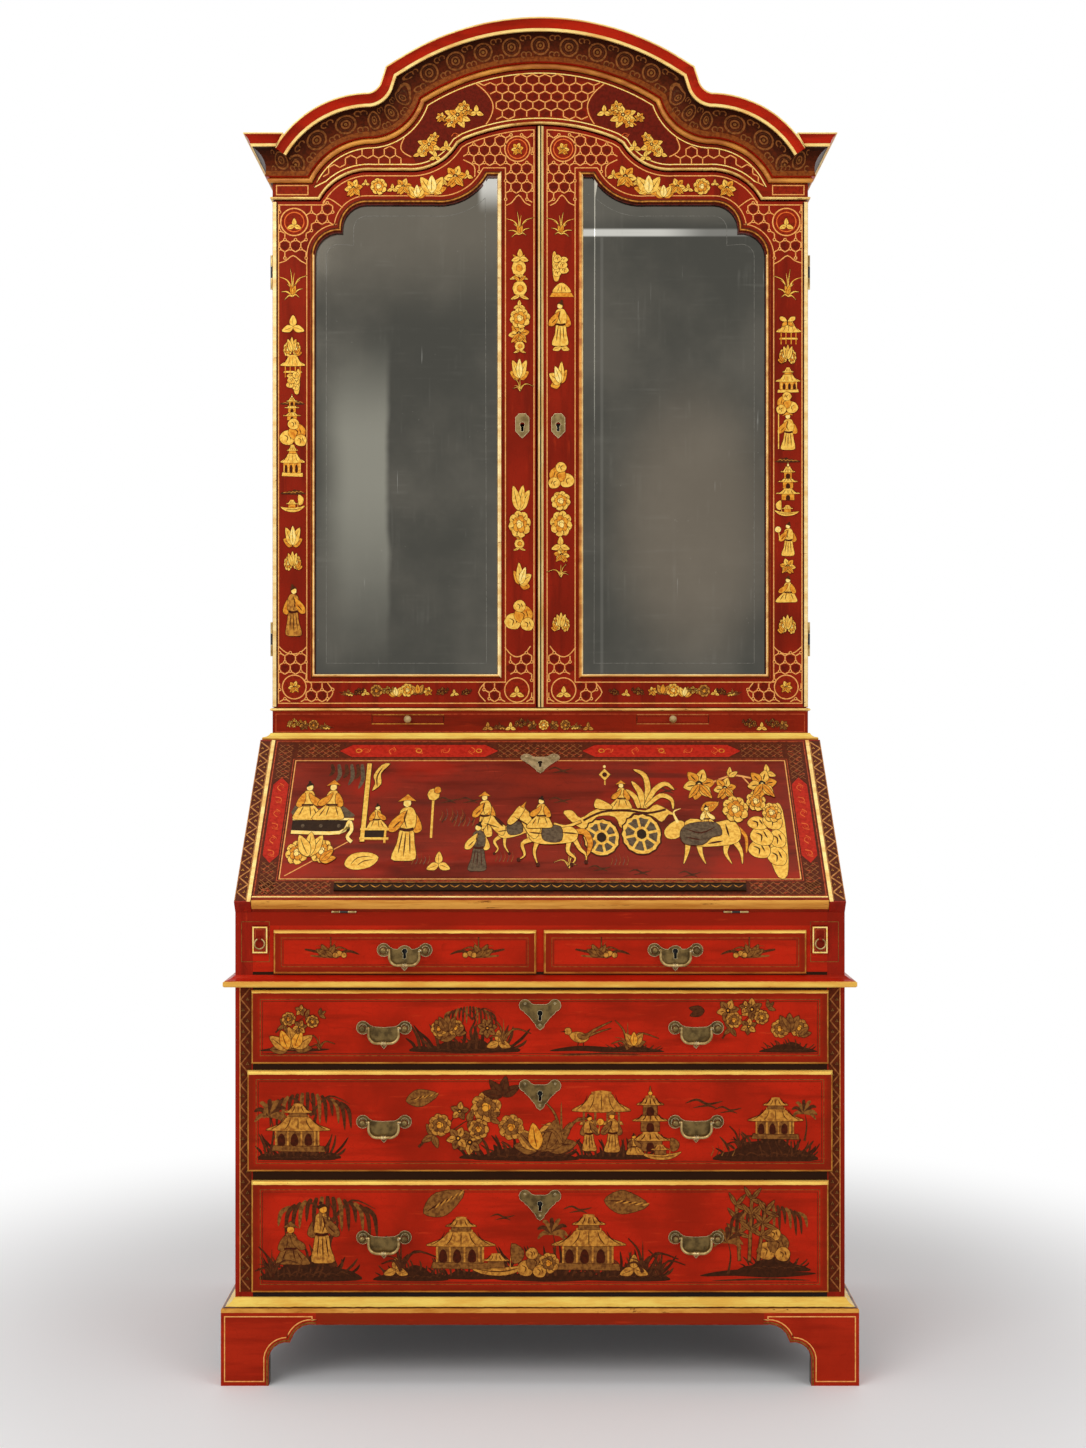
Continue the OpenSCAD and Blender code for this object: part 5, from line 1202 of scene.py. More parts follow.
def house(pen):
    """A low house on a stone foot, about 1.3 units wide"""
    pen.fill([-0.6, 0.58 - 0.02j, 0.56 + 0.1j, -0.56 + 0.12j], "leaf")
    pen.fill([-0.48 + 0.12j, 0.44 + 0.1j, 0.44 + 0.46j, -0.48 + 0.46j], "second")
    for x in (-0.36, -0.08, 0.22):
        pen.blob([x - 0.07 + 0.13j, x - 0.07 + 0.3j, x + 0.38j, x + 0.07 + 0.3j, x + 0.07 + 0.13j], "ink", False)
    pen.lines([[x + 0.12j, x + 0.45j] for x in (-0.48, -0.22, 0.07, 0.36, 0.44)], 0.035, "gold", EVEN)
    roof(pen, 0, 0.44, 0.68, 0.3, "gold")
    pen.fill([-0.2 + 0.74j, 0.2 + 0.74j, 0.18 + 0.84j, -0.18 + 0.84j], "second")
    roof(pen, 0, 0.83, 0.3, 0.16, "gold")


def pagoda(pen):
    for y, w in ((0.0, 0.2), (0.34, 0.16), (0.62, 0.12)):
        pen.fill([-w + y * 1j, w + y * 1j, w + (y + 0.2) * 1j, -w + (y + 0.2) * 1j], "second")
        pen.blob([-0.06 + y * 1j, -0.05 + (y + 0.13) * 1j, 0.05 + (y + 0.13) * 1j, 0.06 + y * 1j], "ink", False)
        roof(pen, 0, y + 0.18, w * 1.9, 0.13, "gold")
    pen.stroke([0.94j, 1.12j], 0.035, "gold", TAIL, edge=True)
    pen.disc(1.0j, 0.035, "pale", n=8)


def hut(pen):
    """An open hut with a hipped roof on posts"""
    pen.fill([-0.5 + 0.2j, 0.5 + 0.2j, 0.46 + 0.27j, -0.46 + 0.27j], "gold")
    pen.lines([[x, x + 0.55j] for x in (-0.4, -0.14, 0.14, 0.4)], 0.05, "second", EVEN)
    roof(pen, 0, 0.5, 0.66, 0.42, "gold")


def boat(pen):
    pen.blob([-0.7 + 0.24j, -0.4 + 0.06j, 0.1, 0.5 + 0.08j, 0.8 + 0.3j, 0.4 + 0.22j, -0.3 + 0.2j], "gold")
    pen.lines([[-0.5 + 0.16j, 0.1 + 0.1j, 0.6 + 0.2j]], 0.03)
    pen.fill([-0.22 + 0.2j, 0.22 + 0.2j, 0.2 + 0.4j, -0.2 + 0.4j], "second")
    roof(pen, 0, 0.38, 0.34, 0.16, "gold")
    pen.stroke([0.36 + 0.2j, 0.4 + 0.86j], 0.03, "gold", TAIL)
    pen.blob([0.4 + 0.82j, 0.7 + 0.66j, 0.66 + 0.4j, 0.42 + 0.34j], "leaf")


def willow(pen, colour="wash"):
    """A leaning trunk with a hanging crown, about 1.4 units wide"""
    pen.stroke([0.1, 0.02 + 0.3j, 0.14 + 0.6j, 0.04 + 0.86j], 0.1, colour, TAIL, edge=False)
    pen.stroke([0.08 + 0.6j, -0.2 + 0.86j, -0.5 + 0.8j], 0.05, colour, TAIL)
    pen.stroke([0.08 + 0.64j, 0.34 + 0.9j, 0.66 + 0.78j], 0.05, colour, TAIL)
    for k in range(15):
        x = -0.62 + 0.09 * k
        top = 0.82 + 0.14 * math.cos(1.9 * x) - 0.1 * abs(x)
        drop = 0.26 + 0.2 * abs(math.sin(2.3 * k))
        pen.stroke([x * 0.8 + top * 1j, x + (top - 0.3 * drop) * 1j, x * 1.06 + (top - drop) * 1j], 0.06,
                   colour if k % 3 else "leaf", COMMA)


def palm(pen):
    pen.stroke([0.0, 0.06 + 0.4j, 0.0 + 0.74j], 0.06, "wash", TAIL)
    for turn in (200, 165, 130, 95, 60, 25, -10, -30):
        reach = cmath.rect(0.34, math.radians(turn))
        pen.stroke([0.72j, 0.74j + 0.6 * reach + 0.06j, 0.72j + reach], 0.09, "wash" if turn % 2 else "leaf", COMMA)


def bamboo(pen):
    for x, lean, h in ((-0.12, -0.05, 0.9), (0.04, 0.04, 1.0), (0.18, 0.12, 0.8)):
        pen.stroke([x, x + 0.5 * lean + 0.5j * h, x + lean + h * 1j], 0.045, "leaf", EVEN, edge=True)
        for k in (0.5, 0.75, 1.0):
            knot = x + lean * k + h * k * 1j
            leaves(pen, knot, 0.24, (20 + 30 * k, 160 - 40 * k, -20), "leaf", 0.16)


def bird(pen):
    """Stands and looks left, with a long tail up to the right"""
    pen.stroke([0.1 + 0.36j, 0.45 + 0.6j, 0.86 + 0.8j], 0.1, "second", TAIL, edge=True)
    pen.stroke([0.08 + 0.34j, 0.5 + 0.5j, 0.84 + 0.6j], 0.07, "leaf", TAIL, edge=True)
    pen.blob([-0.34 + 0.42j, -0.2 + 0.24j, 0.05 + 0.2j, 0.22 + 0.34j, 0.06 + 0.46j, -0.16 + 0.5j], "gold")
    pen.blob([-0.1 + 0.44j, 0.1 + 0.44j, 0.3 + 0.5j, 0.14 + 0.3j, -0.06 + 0.32j], "second")
    pen.disc(-0.38 + 0.52j, 0.1, "gold")
    pen.fill([-0.46 + 0.54j, -0.6 + 0.5j, -0.45 + 0.49j], "ink", False)
    pen.lines([[-0.08 + 0.22j, -0.12 + 0.02j], [0.06 + 0.22j, 0.06 + 0.02j], [0.0 + 0.4j, 0.2 + 0.42j]], 0.03)


def phoenix(pen):
    """Flies to the upper left, wings spread over a tail of plumes"""
    for k, turn in enumerate((-50, -30, -8, 12)):
        reach = cmath.rect(0.75 - 0.06 * k, math.radians(turn))
        pen.stroke([0.05 + 0.4j, 0.05 + 0.4j + 0.5 * reach - 0.08j, 0.05 + 0.4j + reach], 0.07, "gold", COMMA, True)
    for turn, reach in ((128, 0.5), (104, 0.56), (80, 0.54), (56, 0.46)):
        pen.stroke([0.42j, 0.42j + cmath.rect(0.6 * reach, math.radians(turn + 8)),
                    0.42j + cmath.rect(reach, math.radians(turn))], 0.09, "second", COMMA, True)
    pen.blob([-0.2 + 0.5j, -0.08 + 0.32j, 0.12 + 0.34j, 0.14 + 0.46j, -0.04 + 0.54j], "gold")
    pen.disc(-0.28 + 0.56j, 0.08, "pale")
    pen.fill([-0.35 + 0.57j, -0.46 + 0.54j, -0.34 + 0.52j], "ink", False)


def butterfly(pen):
    for side in (-1, 1):
        pen.blob([0.0, side * 0.2 + 0.3j, side * 0.5 + 0.34j, side * 0.46 + 0.1j, side * 0.1 + 0.0j], "gold")
        pen.blob([0.0, side * 0.3 - 0.06j, side * 0.34 - 0.28j, side * 0.08 - 0.22j], "second")
    pen.stroke([-0.24j, 0.14j], 0.08, "ink")


def winged_leaf(pen):
    """A feathered wing shape, drifting"""
    pen.leaf(-0.6 - 0.2j, 0.5 + 0.24j, 0.3, "second")
    for k in range(5):
        x = -0.3 + 0.16 * k
        pen.stroke([x + x * 0.4j, x + 0.16 + (0.4 * x + 0.16) * 1j], 0.04, "gold")


def cloud(pen):
    pen.stroke([-0.5, -0.2 + 0.1j, 0.1 - 0.02j, 0.5 + 0.06j], 0.07, "wash")
    pen.stroke([-0.3 - 0.12j, 0.1 - 0.06j, 0.34 - 0.14j], 0.05, "wash")


def vase(pen):
    pen.blob([-0.12, -0.2 + 0.2j, -0.14 + 0.4j, -0.06 + 0.5j, 0.06 + 0.5j, 0.14 + 0.4j, 0.2 + 0.2j, 0.12], "grey")
    leaves(pen, 0.5j, 0.34, (60, 120, 20, 160), "gold")
    flower(pen, 0.84j, 0.18, 5)
    flower(pen, 0.2 + 0.7j, 0.14, 5)


def fruit(pen):
    """A round fruit between curling leaves"""
    pen.disc(0.5j, 0.36, "gold", n=18)
    pen.disc(0.02 + 0.5j, 0.16, "second", n=12)
    leaves(pen, 0.16j, 0.5, (200, -20), "gold", 0.18)
    leaves(pen, 0.84j, 0.4, (140, 40), "second", 0.2)


# Borders and fields
def border(panel, loop, w, colour):
    panel.line(loop, w, colour, True)


def indented(x0, x1, y0, y1, step):
    """A rectangle with square steps cut into its corners"""
    return [complex(x0 + step, y0), complex(x1 - step, y0), complex(x1 - step, y0 + step), complex(x1, y0 + step),
            complex(x1, y1 - step), complex(x1 - step, y1 - step), complex(x1 - step, y1),
            complex(x0 + step, y1), complex(x0 + step, y1 - step), complex(x0, y1 - step),
            complex(x0, y0 + step), complex(x0 + step, y0 + step)]


def comb(panel, keep, box, pitch, squash=1.0, knots=False, width=1.9):
    """Dark six-sided cells in a net of pale lines, wherever keep allows it"""
    x0, x1, y0, y1 = box
    step = pitch * 0.866 * squash
    drawn = set()
    for row in range(int((y1 - y0) / step) + 2):
        for col in range(int((x1 - x0) / pitch) + 2):
            c = complex(x0 + pitch * (col + (row % 2) / 2), y0 + step * row)
            ways = [cmath.rect(pitch, math.radians(30 + 60 * k)) for k in range(7)]
            ways = [complex(w.real, w.imag * squash) for w in ways]
            cell = [c + 0.4 * w for w in ways[:6]]
            if all(keep(q) for q in cell):
                panel.slab(cell, PAINTS["cell"], 0.14)
            corners = [c + w / math.sqrt(3) for w in ways]
            for a, b in zip(corners, corners[1:]):
                key = (round(a.real + b.real), round(a.imag + b.imag))
                if key not in drawn and keep(a) and keep(b):
                    drawn.add(key)
                    panel.line([a, b], width, "pink_line", False, 0.26)
            if knots and keep(corners[1]):
                for r, colour, height in ((3.1, "pink_line", 0.28), (1.5, "cell", 0.3)):
                    panel.slab([corners[1] + cmath.rect(r, math.radians(45 * k)) for k in range(8)], PAINTS[colour], height)


def zigzag(panel, a, b, half, pitch, colour="old_gold", dots=None, width=1.1):
    """A zigzag from a to b, half wide to either side, with a small flower in each notch"""
    n = max(2, round(abs(b - a) / pitch))
    way = (b - a) / n
    side = unit(way) * 1j * half
    points = [a + way * k + (side if k % 2 else -side) for k in range(n + 1)]
    panel.line(points, width, colour)
    if dots:
        pen = Pen(panel, "door", 0j, 1)
        for k in range(1, n):
            panel.rank = 0
            c = a + way * k + (-side if k % 2 else side) * 0.5
            for turn in (90, 210, 330):
                pen.leaf(c, c + cmath.rect(3, math.radians(turn)), 0.4, dots, vein=False)





def diaper(panel, x0, x1, y0, y1, pitch=9, colour="net"):
    """Crossed slanting lines over a dark ground, with dots in their meshes"""
    panel.slab(rect(x0, x1, y0, y1), PAINTS["band"], 0.09)
    box = rect(x0 + 1, x1 - 1, y0 + 1, y1 - 1)
    for lean in (1, -1):
        k = -int((y1 - y0) / pitch) - 1
        while k * pitch < (x1 - x0) + (y1 - y0):
            run = [complex(x0 + k * pitch + (t if lean > 0 else (y1 - y0) - t), y0 + t)
                   for t in (s * 1.5 for s in range(int((y1 - y0) / 1.5)))]
            run = [p for p in run if inside(p, box)]
            if len(run) > 2:
                panel.line([run[0], run[-1]], 1.1, colour, False, 0.2)
            k += 1
    for _ in range(int((x1 - x0) * (y1 - y0) / 160)):
        c = complex(rng.uniform(x0 + 3, x1 - 3), rng.uniform(y0 + 3, y1 - 3))
        panel.slab(ribbon(smooth([c - 2.6, c + rng.uniform(-2, 2) * 1j, c + 2.6 + 1j], 2), 1.5, SPINDLE),
                   PAINTS["red_line"], 0.24)


# Faces of the case, as the way from a plane point and a height to space
def front_face(y):
    return lambda p, h: (p.real, y - h, p.imag)


def rear_face(y):
    return lambda p, h: (p.real, y + h, p.imag)


def side_face(side, x):
    return lambda p, h: (side * (x + h), p.real, p.imag)


def slope_face(v):
    c, s = math.cos(FALL_ANGLE), math.sin(FALL_ANGLE)
    return lambda p, h: (p.real, HINGE_Y + p.imag * c - (v + h) * s, WRITING_Z + p.imag * s + (v + h) * c)


def draw(panel, look, motif, x, y, size, turn=0, flip=False, layer=0, tall=1.0, **kind):
    """Draws one motif; a higher layer lies over its neighbours"""
    panel.rank = 45 * layer + 0.17 * (panel.drawn % 11) - (7 if motif in (mound, knoll, strand, thicket, stalks) else 0)
    panel.drawn += 1
    pen = Pen(panel, look, complex(x, y), size, turn, flip)
    pen.tall *= tall
    motif(pen, **kind)


def paint_fall():
    panel = Panel(slope_face(FALL_T))
    hw, top = FALL_HW, FALL_LEN - 3
    panel.slab(rect(-hw + 1, hw - 1, 13, top), PAINTS["band"], 0.05)
    field = (-hw + 40, hw - 40, 52, 340)
    panel.slab(rect(*field), PAINTS["fall_field"], 0.08)
    for x0, x1 in ((-hw + 7, -hw + 34), (hw - 34, hw - 7)):
        for y0, y1 in ((18, 92), (292, 384)):
            diaper(panel, x0, x1, y0, y1, 13)
        reserve(panel, smooth_reserve(x0, x1, 88, 298, upright=True))
        for k in range(6):
            draw(panel, "door", scroll, (x0 + x1) / 2, 112 + 32 * k, 15, 80 if k % 2 else -70, colour="red_gold")
    for s in (-1, 1):
        for x0, x1 in ((346, hw - 40), (0, 74)):
            diaper(panel, *sorted((s * x0, s * x1)), 348, 384, 13)
        x0, x1 = sorted((s * 72, s * 348))
        reserve(panel, smooth_reserve(x0, x1, 349, 382))
        for x in (x0 + 34, (x0 + x1) / 2, x1 - 34):
            Pen(panel, "door", complex(x, 366), 1).ring(0j, 4.5, 1.5, "orange")
        for k, turn in enumerate((10, 60, 120, 200, 260)):
            draw(panel, "door", scroll, x0 + 46 + 46 * k, 366, 15, turn, colour="red_gold")
        diaper(panel, *sorted((s * (REST_HW + 4), s * (hw - 8))), 17, 47, 13)
    border(panel, rect(-hw + 3, hw - 3, 15, top - 2), 1.5, "red_line")
    border(panel, rect(-hw + 36, hw - 36, 48, 344), 1.2, "red_line")
    border(panel, rect(*field), 1.8, "pink_line")
    draw_fall_scene(panel)
    # Painted shade: a black keyhole shape on the fall where the lock's opening shows dark
    fall_keyhole_shade = complex(0, FALL_LEN - 61)
    panel.slab([fall_keyhole_shade + 4.9 * cmath.exp(1j * k * math.tau / 16) for k in range(16)], PAINTS["black"], 0.5)
    panel.slab(rect(-3, 3, fall_keyhole_shade.imag - 12.4, fall_keyhole_shade.imag), PAINTS["black"], 0.5)
    panel.make("fall_painting", "fall")


REST_HW = high("book_rest").x


def scroll(pen, colour="gold"):
    pen.stroke([-0.6 - 0.2j, -0.2 + 0.3j, 0.3 + 0.2j, 0.2 - 0.15j, -0.05 + 0.0j], 0.12, colour, TAIL)
    pen.stroke([0.6 + 0.2j, 0.3 - 0.3j, -0.1 - 0.3j], 0.1, colour, TAIL)


def smooth_reserve(x0, x1, y0, y1, upright=False):
    """A long field with pointed ends"""
    if upright:
        m, e = (x0 + x1) / 2, (x1 - x0) * 0.7
        return [complex(m, y0), complex(x1, y0 + e), complex(x1, y1 - e), complex(m, y1), complex(x0, y1 - e),
                complex(x0, y0 + e)]
    m, e = (y0 + y1) / 2, (y1 - y0) * 0.7
    return [complex(x0, m), complex(x0 + e, y0), complex(x1 - e, y0), complex(x1, m), complex(x1 - e, y1),
            complex(x0 + e, y1)]


def reserve(panel, loop):
    panel.slab(loop, PAINTS["reserve"], 0.12)
    panel.line(loop, 1.0, "ink", True, 0.2)


def pavilion(pen):
    """A couch with two figures beside a tall post with a banner and a low stool. 1.6 units wide"""
    pen.blob([-0.76 + 0.4j, -0.7 + 0.66j, -0.4 + 0.54j, -0.1 + 0.64j, 0.16 + 0.5j, 0.18 + 0.4j], "grey", False)
    for x, drop in ((-0.24, 0.2), (-0.12, 0.3), (0.0, 0.24), (0.1, 0.36), (0.2, 0.26), (0.28, 0.42)):
        pen.stroke([x + 1.3j, x + 0.04 + (1.3 - 0.6 * drop) * 1j, x - 0.02 + (1.3 - drop) * 1j], 0.07,
                   "wash" if drop < 0.3 else "grey", COMMA)
    pen.fill([-0.78 + 0.17j, 0.2 + 0.17j, 0.22 + 0.36j, -0.78 + 0.36j], "dark", False)
    for x in (-0.6, -0.3, 0.0):
        pen.disc(x + 0.26j, 0.03, "grey", False, 8)
    pen.stroke([-0.78 + 0.37j, 0.24 + 0.37j], 0.035, "pale", EVEN)
    pen.stroke([-0.78 + 0.16j, 0.02 + 0.15j, 0.16 + 0.33j, 0.22 + 0.2j, 0.16 + 0.08j, 0.24 + 0.0j], 0.055, "pale",
               EVEN, edge=True)
    seated(Pen(pen.panel, "fall", pen.spot(-0.56 + 0.36j), 0.64 * pen.size), "cap", over="orange")
    seated(Pen(pen.panel, "fall", pen.spot(-0.16 + 0.36j), 0.64 * pen.size, 0, True), "hat")
    seated(Pen(pen.panel, "fall", pen.spot(0.62 + 0.2j), 0.42 * pen.size), "cap")
    pen.stroke([0.41 + 0.0j, 0.41 + 1.31j], 0.075, "gold", EVEN, edge=True)
    pen.blob([0.5 + 0.84j, 0.64 + 0.96j, 0.62 + 1.14j, 0.76 + 1.3j, 0.62 + 1.28j, 0.5 + 1.1j, 0.54 + 0.98j], "gold")
    pen.lines([[0.64 + 1.24j, 0.56 + 1.08j, 0.58 + 0.9j]], 0.025)
    pen.fill([0.44 + 0.06j, 0.76 + 0.06j, 0.76 + 0.18j, 0.44 + 0.18j], "dark", False)
    for way in ([0.36 + 0.2j, 0.84 + 0.2j], [0.36 + 0.05j, 0.84 + 0.05j], [0.78 - 0.02j, 0.78 + 0.2j]):
        pen.stroke(way, 0.035, "gold", EVEN)


def standard(pen):
    """A pole with a round fan, one unit high"""
    pen.stroke([0.0, 0.84j], 0.045, "gold", EVEN)
    pen.disc(0.86j, 0.12, "gold")
    pen.disc(0.08 + 0.95j, 0.07, "second")
    for k in range(5):
        foot = 0.2 + 0.2 * k + 0.3j
        pen.stroke([foot, foot + 0.06 + 0.12j, foot + 0.02 + 0.24j], 0.03, "wash", TAIL)


def lozenge(pen):
    pen.fill([0.2j, 0.28 + 0.5j, 0.8j, -0.28 + 0.5j], "gold")
    pen.disc(0.5j, 0.12, "ink", False, 8)
    pen.stroke([0.0, 0.2j], 0.06, "gold", EVEN)
    pen.disc(0.9j, 0.07, "pale", False, 8)


def saddle_cloth(pen):
    pen.blob([-0.34 + 0.02j, -0.4 + 0.24j, -0.2 + 0.4j, 0.3 + 0.42j, 0.4 + 0.2j, 0.2 + 0.14j, 0.0 + 0.0j], "grey")
    pen.lines([[-0.3 + 0.3j, 0.0 + 0.22j, 0.3 + 0.34j], [-0.3 + 0.14j, 0.0 + 0.08j]], 0.03)


def branch(pen):
    pen.stroke([-0.6 + 0.0j, 0.0 + 0.2j, 0.55 + 0.12j], 0.05, "pink_line", EVEN)
    pen.stroke([0.3 + 0.16j, 0.55 - 0.2j, 0.5 - 0.5j], 0.045, "pink_line", TAIL)
    leaves(pen, -0.1 + 0.16j, 0.3, (80, 30), "gold")


def crag(pen):
    """A tall crag of rounded stones over a narrow foot, about 0.6 units wide"""
    pen.blob([0.1, 0.24 + 0.02j, 0.3 + 0.4j, 0.3 + 1.0j, 0.2 + 1.1j, 0.1 + 0.7j, 0.02 + 0.3j], "gold")
    for c, w, h in ((0.12 + 0.3j, 0.15, 0.14), (-0.14 + 0.4j, 0.17, 0.13), (0.16 + 0.56j, 0.13, 0.13),
                    (-0.08 + 0.6j, 0.18, 0.14), (-0.12 + 0.8j, 0.16, 0.1), (0.12 + 0.84j, 0.15, 0.14)):
        pen.blob([c - w, c + complex(-0.5 * w, 0.9 * h), c + complex(0.3 * w, h), c + w + 0.1j * h,
                  c + complex(0.6 * w, -0.9 * h), c + complex(-0.5 * w, -0.8 * h)], "gold")
        pen.lines([[c + complex(-0.5 * w, 0.4 * h), c + 0.1j * h, c + complex(-0.1 * w, -0.6 * h)],
                   [c + complex(0.2 * w, 0.6 * h), c + complex(0.5 * w, -0.2 * h)]], 0.026)


def mat(pen):
    pen.blob([-0.5 + 0.1j, -0.3 + 0.4j, 0.2 + 0.46j, 0.55 + 0.3j, 0.3 + 0.02j, -0.2 - 0.06j], "gold")
    pen.lines([[-0.3 + 0.1j, -0.1 + 0.3j, 0.3 + 0.34j], [-0.1 + 0.06j, 0.1 + 0.2j, 0.4 + 0.24j]], 0.03)


def draw_fall_scene(panel):
    draw(panel, "fall", pavilion, -334, 138, 100)
    draw(panel, "fall", figure, -221, 94, 104, flip=True, prop="none", hat="hat")
    draw(panel, "fall", standard, -180, 148, 83)
    draw(panel, "fall", peony_plant, -378, 84, 65)
    draw(panel, "fall", mat, -292, 78, 52)
    draw(panel, "fall", trefoil, -165, 75, 34)
    panel.line([complex(-413, 59), complex(-313, 141)], 1.9, "pink_line")
    draw(panel, "fall", figure, -101, 70, 77, prop="none", robe="grey", over="gold", flip=True)
    draw(panel, "fall", horse, -36, 116, 74, turn=14)
    draw(panel, "fall", horse, 16, 84, 98, layer=1)
    draw(panel, "fall", seated, 2, 170, 52, layer=2, flip=True)
    draw(panel, "fall", figure, -92, 150, 72, layer=0, prop="none", hat="hat", over="orange", flip=True)
    for x, up, size in ((-150, 190, 34), (-128, 176, 30), (-60, 92, 26), (60, 128, 24), (-196, 86, 26), (128, 84, 26)):
        draw(panel, "fall", stalks, x, up, size)
    draw(panel, "fall", grass, 47, 77, 26, colour="gold", flip=True)
    draw(panel, "fall", cart, 135, 111, 102)
    draw(panel, "fall", lozenge, 110, 278, 35)
    draw(panel, "fall", ox, 276, 87, 106)
    draw(panel, "fall", saddle_cloth, 266, 131, 85, layer=1)
    draw(panel, "fall", seated, 278, 172, 37, layer=1, over="pale")
    draw(panel, "fall", crag, 374, 57, 106)
    draw(panel, "fall", flower_up, 270, 238, 55)
    draw(panel, "fall", flower_up, 313, 240, 39)
    draw(panel, "fall", flower_up, 377, 241, 51, layer=1)
    draw(panel, "fall", peony_up, 327, 183, 45, layer=1)
    draw(panel, "fall", peony_up, 363, 211, 34, layer=1)
    draw(panel, "fall", peony_up, 387, 184, 33, layer=1)
    draw(panel, "fall", branch, 328, 285, 57)
    draw(panel, "fall", winged_leaf, 286, 223, 28)
    draw(panel, "fall", trefoil, 388, 301, 25)
    draw(panel, "fall", cloud, -118, 240, 40, layer=0)
    draw(panel, "fall", cloud, 34, 240, 40, layer=0)
    draw(panel, "fall", cloud, 212, 265, 41, layer=0)
    draw(panel, "fall", cloud, 97, 77, 38, layer=0)
    draw(panel, "fall", cloud, 162, 68, 37, layer=0)
    draw(panel, "fall", cloud, 242, 64, 37, layer=0)
    draw(panel, "fall", cloud, 313, 148, 39, layer=0)
    draw(panel, "fall", cloud, -155, 240, 40, layer=0)
    draw(panel, "fall", cloud, 34, 316, 42, layer=0)


def peony_plant(pen):
    peony(pen, -0.3 + 0.3j, 0.3)
    peony(pen, 0.3 + 0.34j, 0.3, 40)
    leaves(pen, 0.2j, 0.6, (60, 90, 120))
    leaves(pen, 0.3 + 0.1j, 0.4, (10, 40), "second")


def trefoil(pen):
    leaves(pen, 0.2j, 0.6, (90, 200, -20), "gold", 0.34)


def stalks(pen):
    """Thin dark shoots, one unit wide"""
    for k in range(5):
        foot = -0.5 + 0.25 * k
        pen.stroke([foot, foot + 0.12 + 0.3j, foot + 0.04 + (0.5 + 0.1 * (k % 3)) * 1j], 0.05, "grey" if k % 2 else "bronze",
                   TAIL)


def thicket(pen):
    """Dark brush behind a motif, two units wide and up to one high"""
    first = pen.panel.rank
    pen.blob([-1, -0.85 + 0.12j, -0.55 + 0.1j, -0.3 + 0.24j, 0.0 + 0.18j, 0.3 + 0.26j, 0.5 + 0.12j, 0.8 + 0.14j, 1, 0.2 - 0.04j,
              -0.4 - 0.03j], "dark", False)
    for k in range(22):
        pen.panel.rank = first + 1 + 0.31 * (k % 9)
        foot = complex(-0.9 + 0.085 * k, 0.06)
        reach = cmath.rect(0.3 + 0.36 * abs(math.sin(2.1 * k)) ** 2, math.radians(126 - 3.4 * k + 16 * math.sin(5 * k)))
        pen.stroke([foot, foot + 0.5 * reach + 0.04, foot + reach], 0.06, ("dark", "wash", "dark", "grey")[k % 4], COMMA)


def paint_facings():
    """Zigzag strips beside the fall"""
    for side in (-1, 1):
        panel = Panel(slope_face(FALL_T))
        x0, x1 = sorted((side * (CASE_HW - FACING_W), side * CASE_HW))
        inner = x0 if side > 0 else x1
        panel.slab(rect(x0 + 0.6, x1 - 0.6, 3, FALL_LEN - 3), PAINTS["band"], 0.06)
        centre = (x0 + x1) / 2 + side * 3
        zigzag(panel, complex(centre, 6), complex(centre, FALL_LEN - 6), 8, 17, "tan", "old_gold", 2.3)
        for x in (centre - side * 8.8, centre + side * 9.2):
            panel.line([complex(x, 4), complex(x, FALL_LEN - 4)], 1.3, "tan")
        panel.slab(rect(*sorted((inner, inner + side * 6)), 1, FALL_LEN - 1), GILT_PALE, 0.5)
        panel.make(f"facing_painting_{'left' if side < 0 else 'right'}", "carcase")


def paint_posts():
    """Brown bands with a zigzag down the front edges of the lower case"""
    bottom, top = high("base_moulding").z, low("waist_moulding").z
    for side in (-1, 1):
        panel = Panel(front_face(CASE_Y))
        x = side * (CASE_HW - 17)
        panel.slab(rect(x - 9, x + 9, bottom + 8, top - 1), PAINTS["band"], 0.08)
        zigzag(panel, complex(x + side * 1, bottom + 12), complex(x + side * 1, top - 4), 7, 17, "net", "olive", 2.0)
        panel.line([complex(x + side * 9.5, bottom + 8), complex(x + side * 9.5, top - 1)], 1.0, "pink_line")
        panel.make(f"post_painting_{'left' if side < 0 else 'right'}", "carcase")


def drawer_panel(node):
    a, b = low(node), high(node)
    panel = Panel(front_face(a.y))
    for inset, w, colour in ((15, 1.0, "bronze"), (18.5, 0.8, "umber")):
        border(panel, rect(a.x + inset, b.x - inset, a.z + inset - 1, b.z - inset + 1), w, colour)
    return panel, a, b


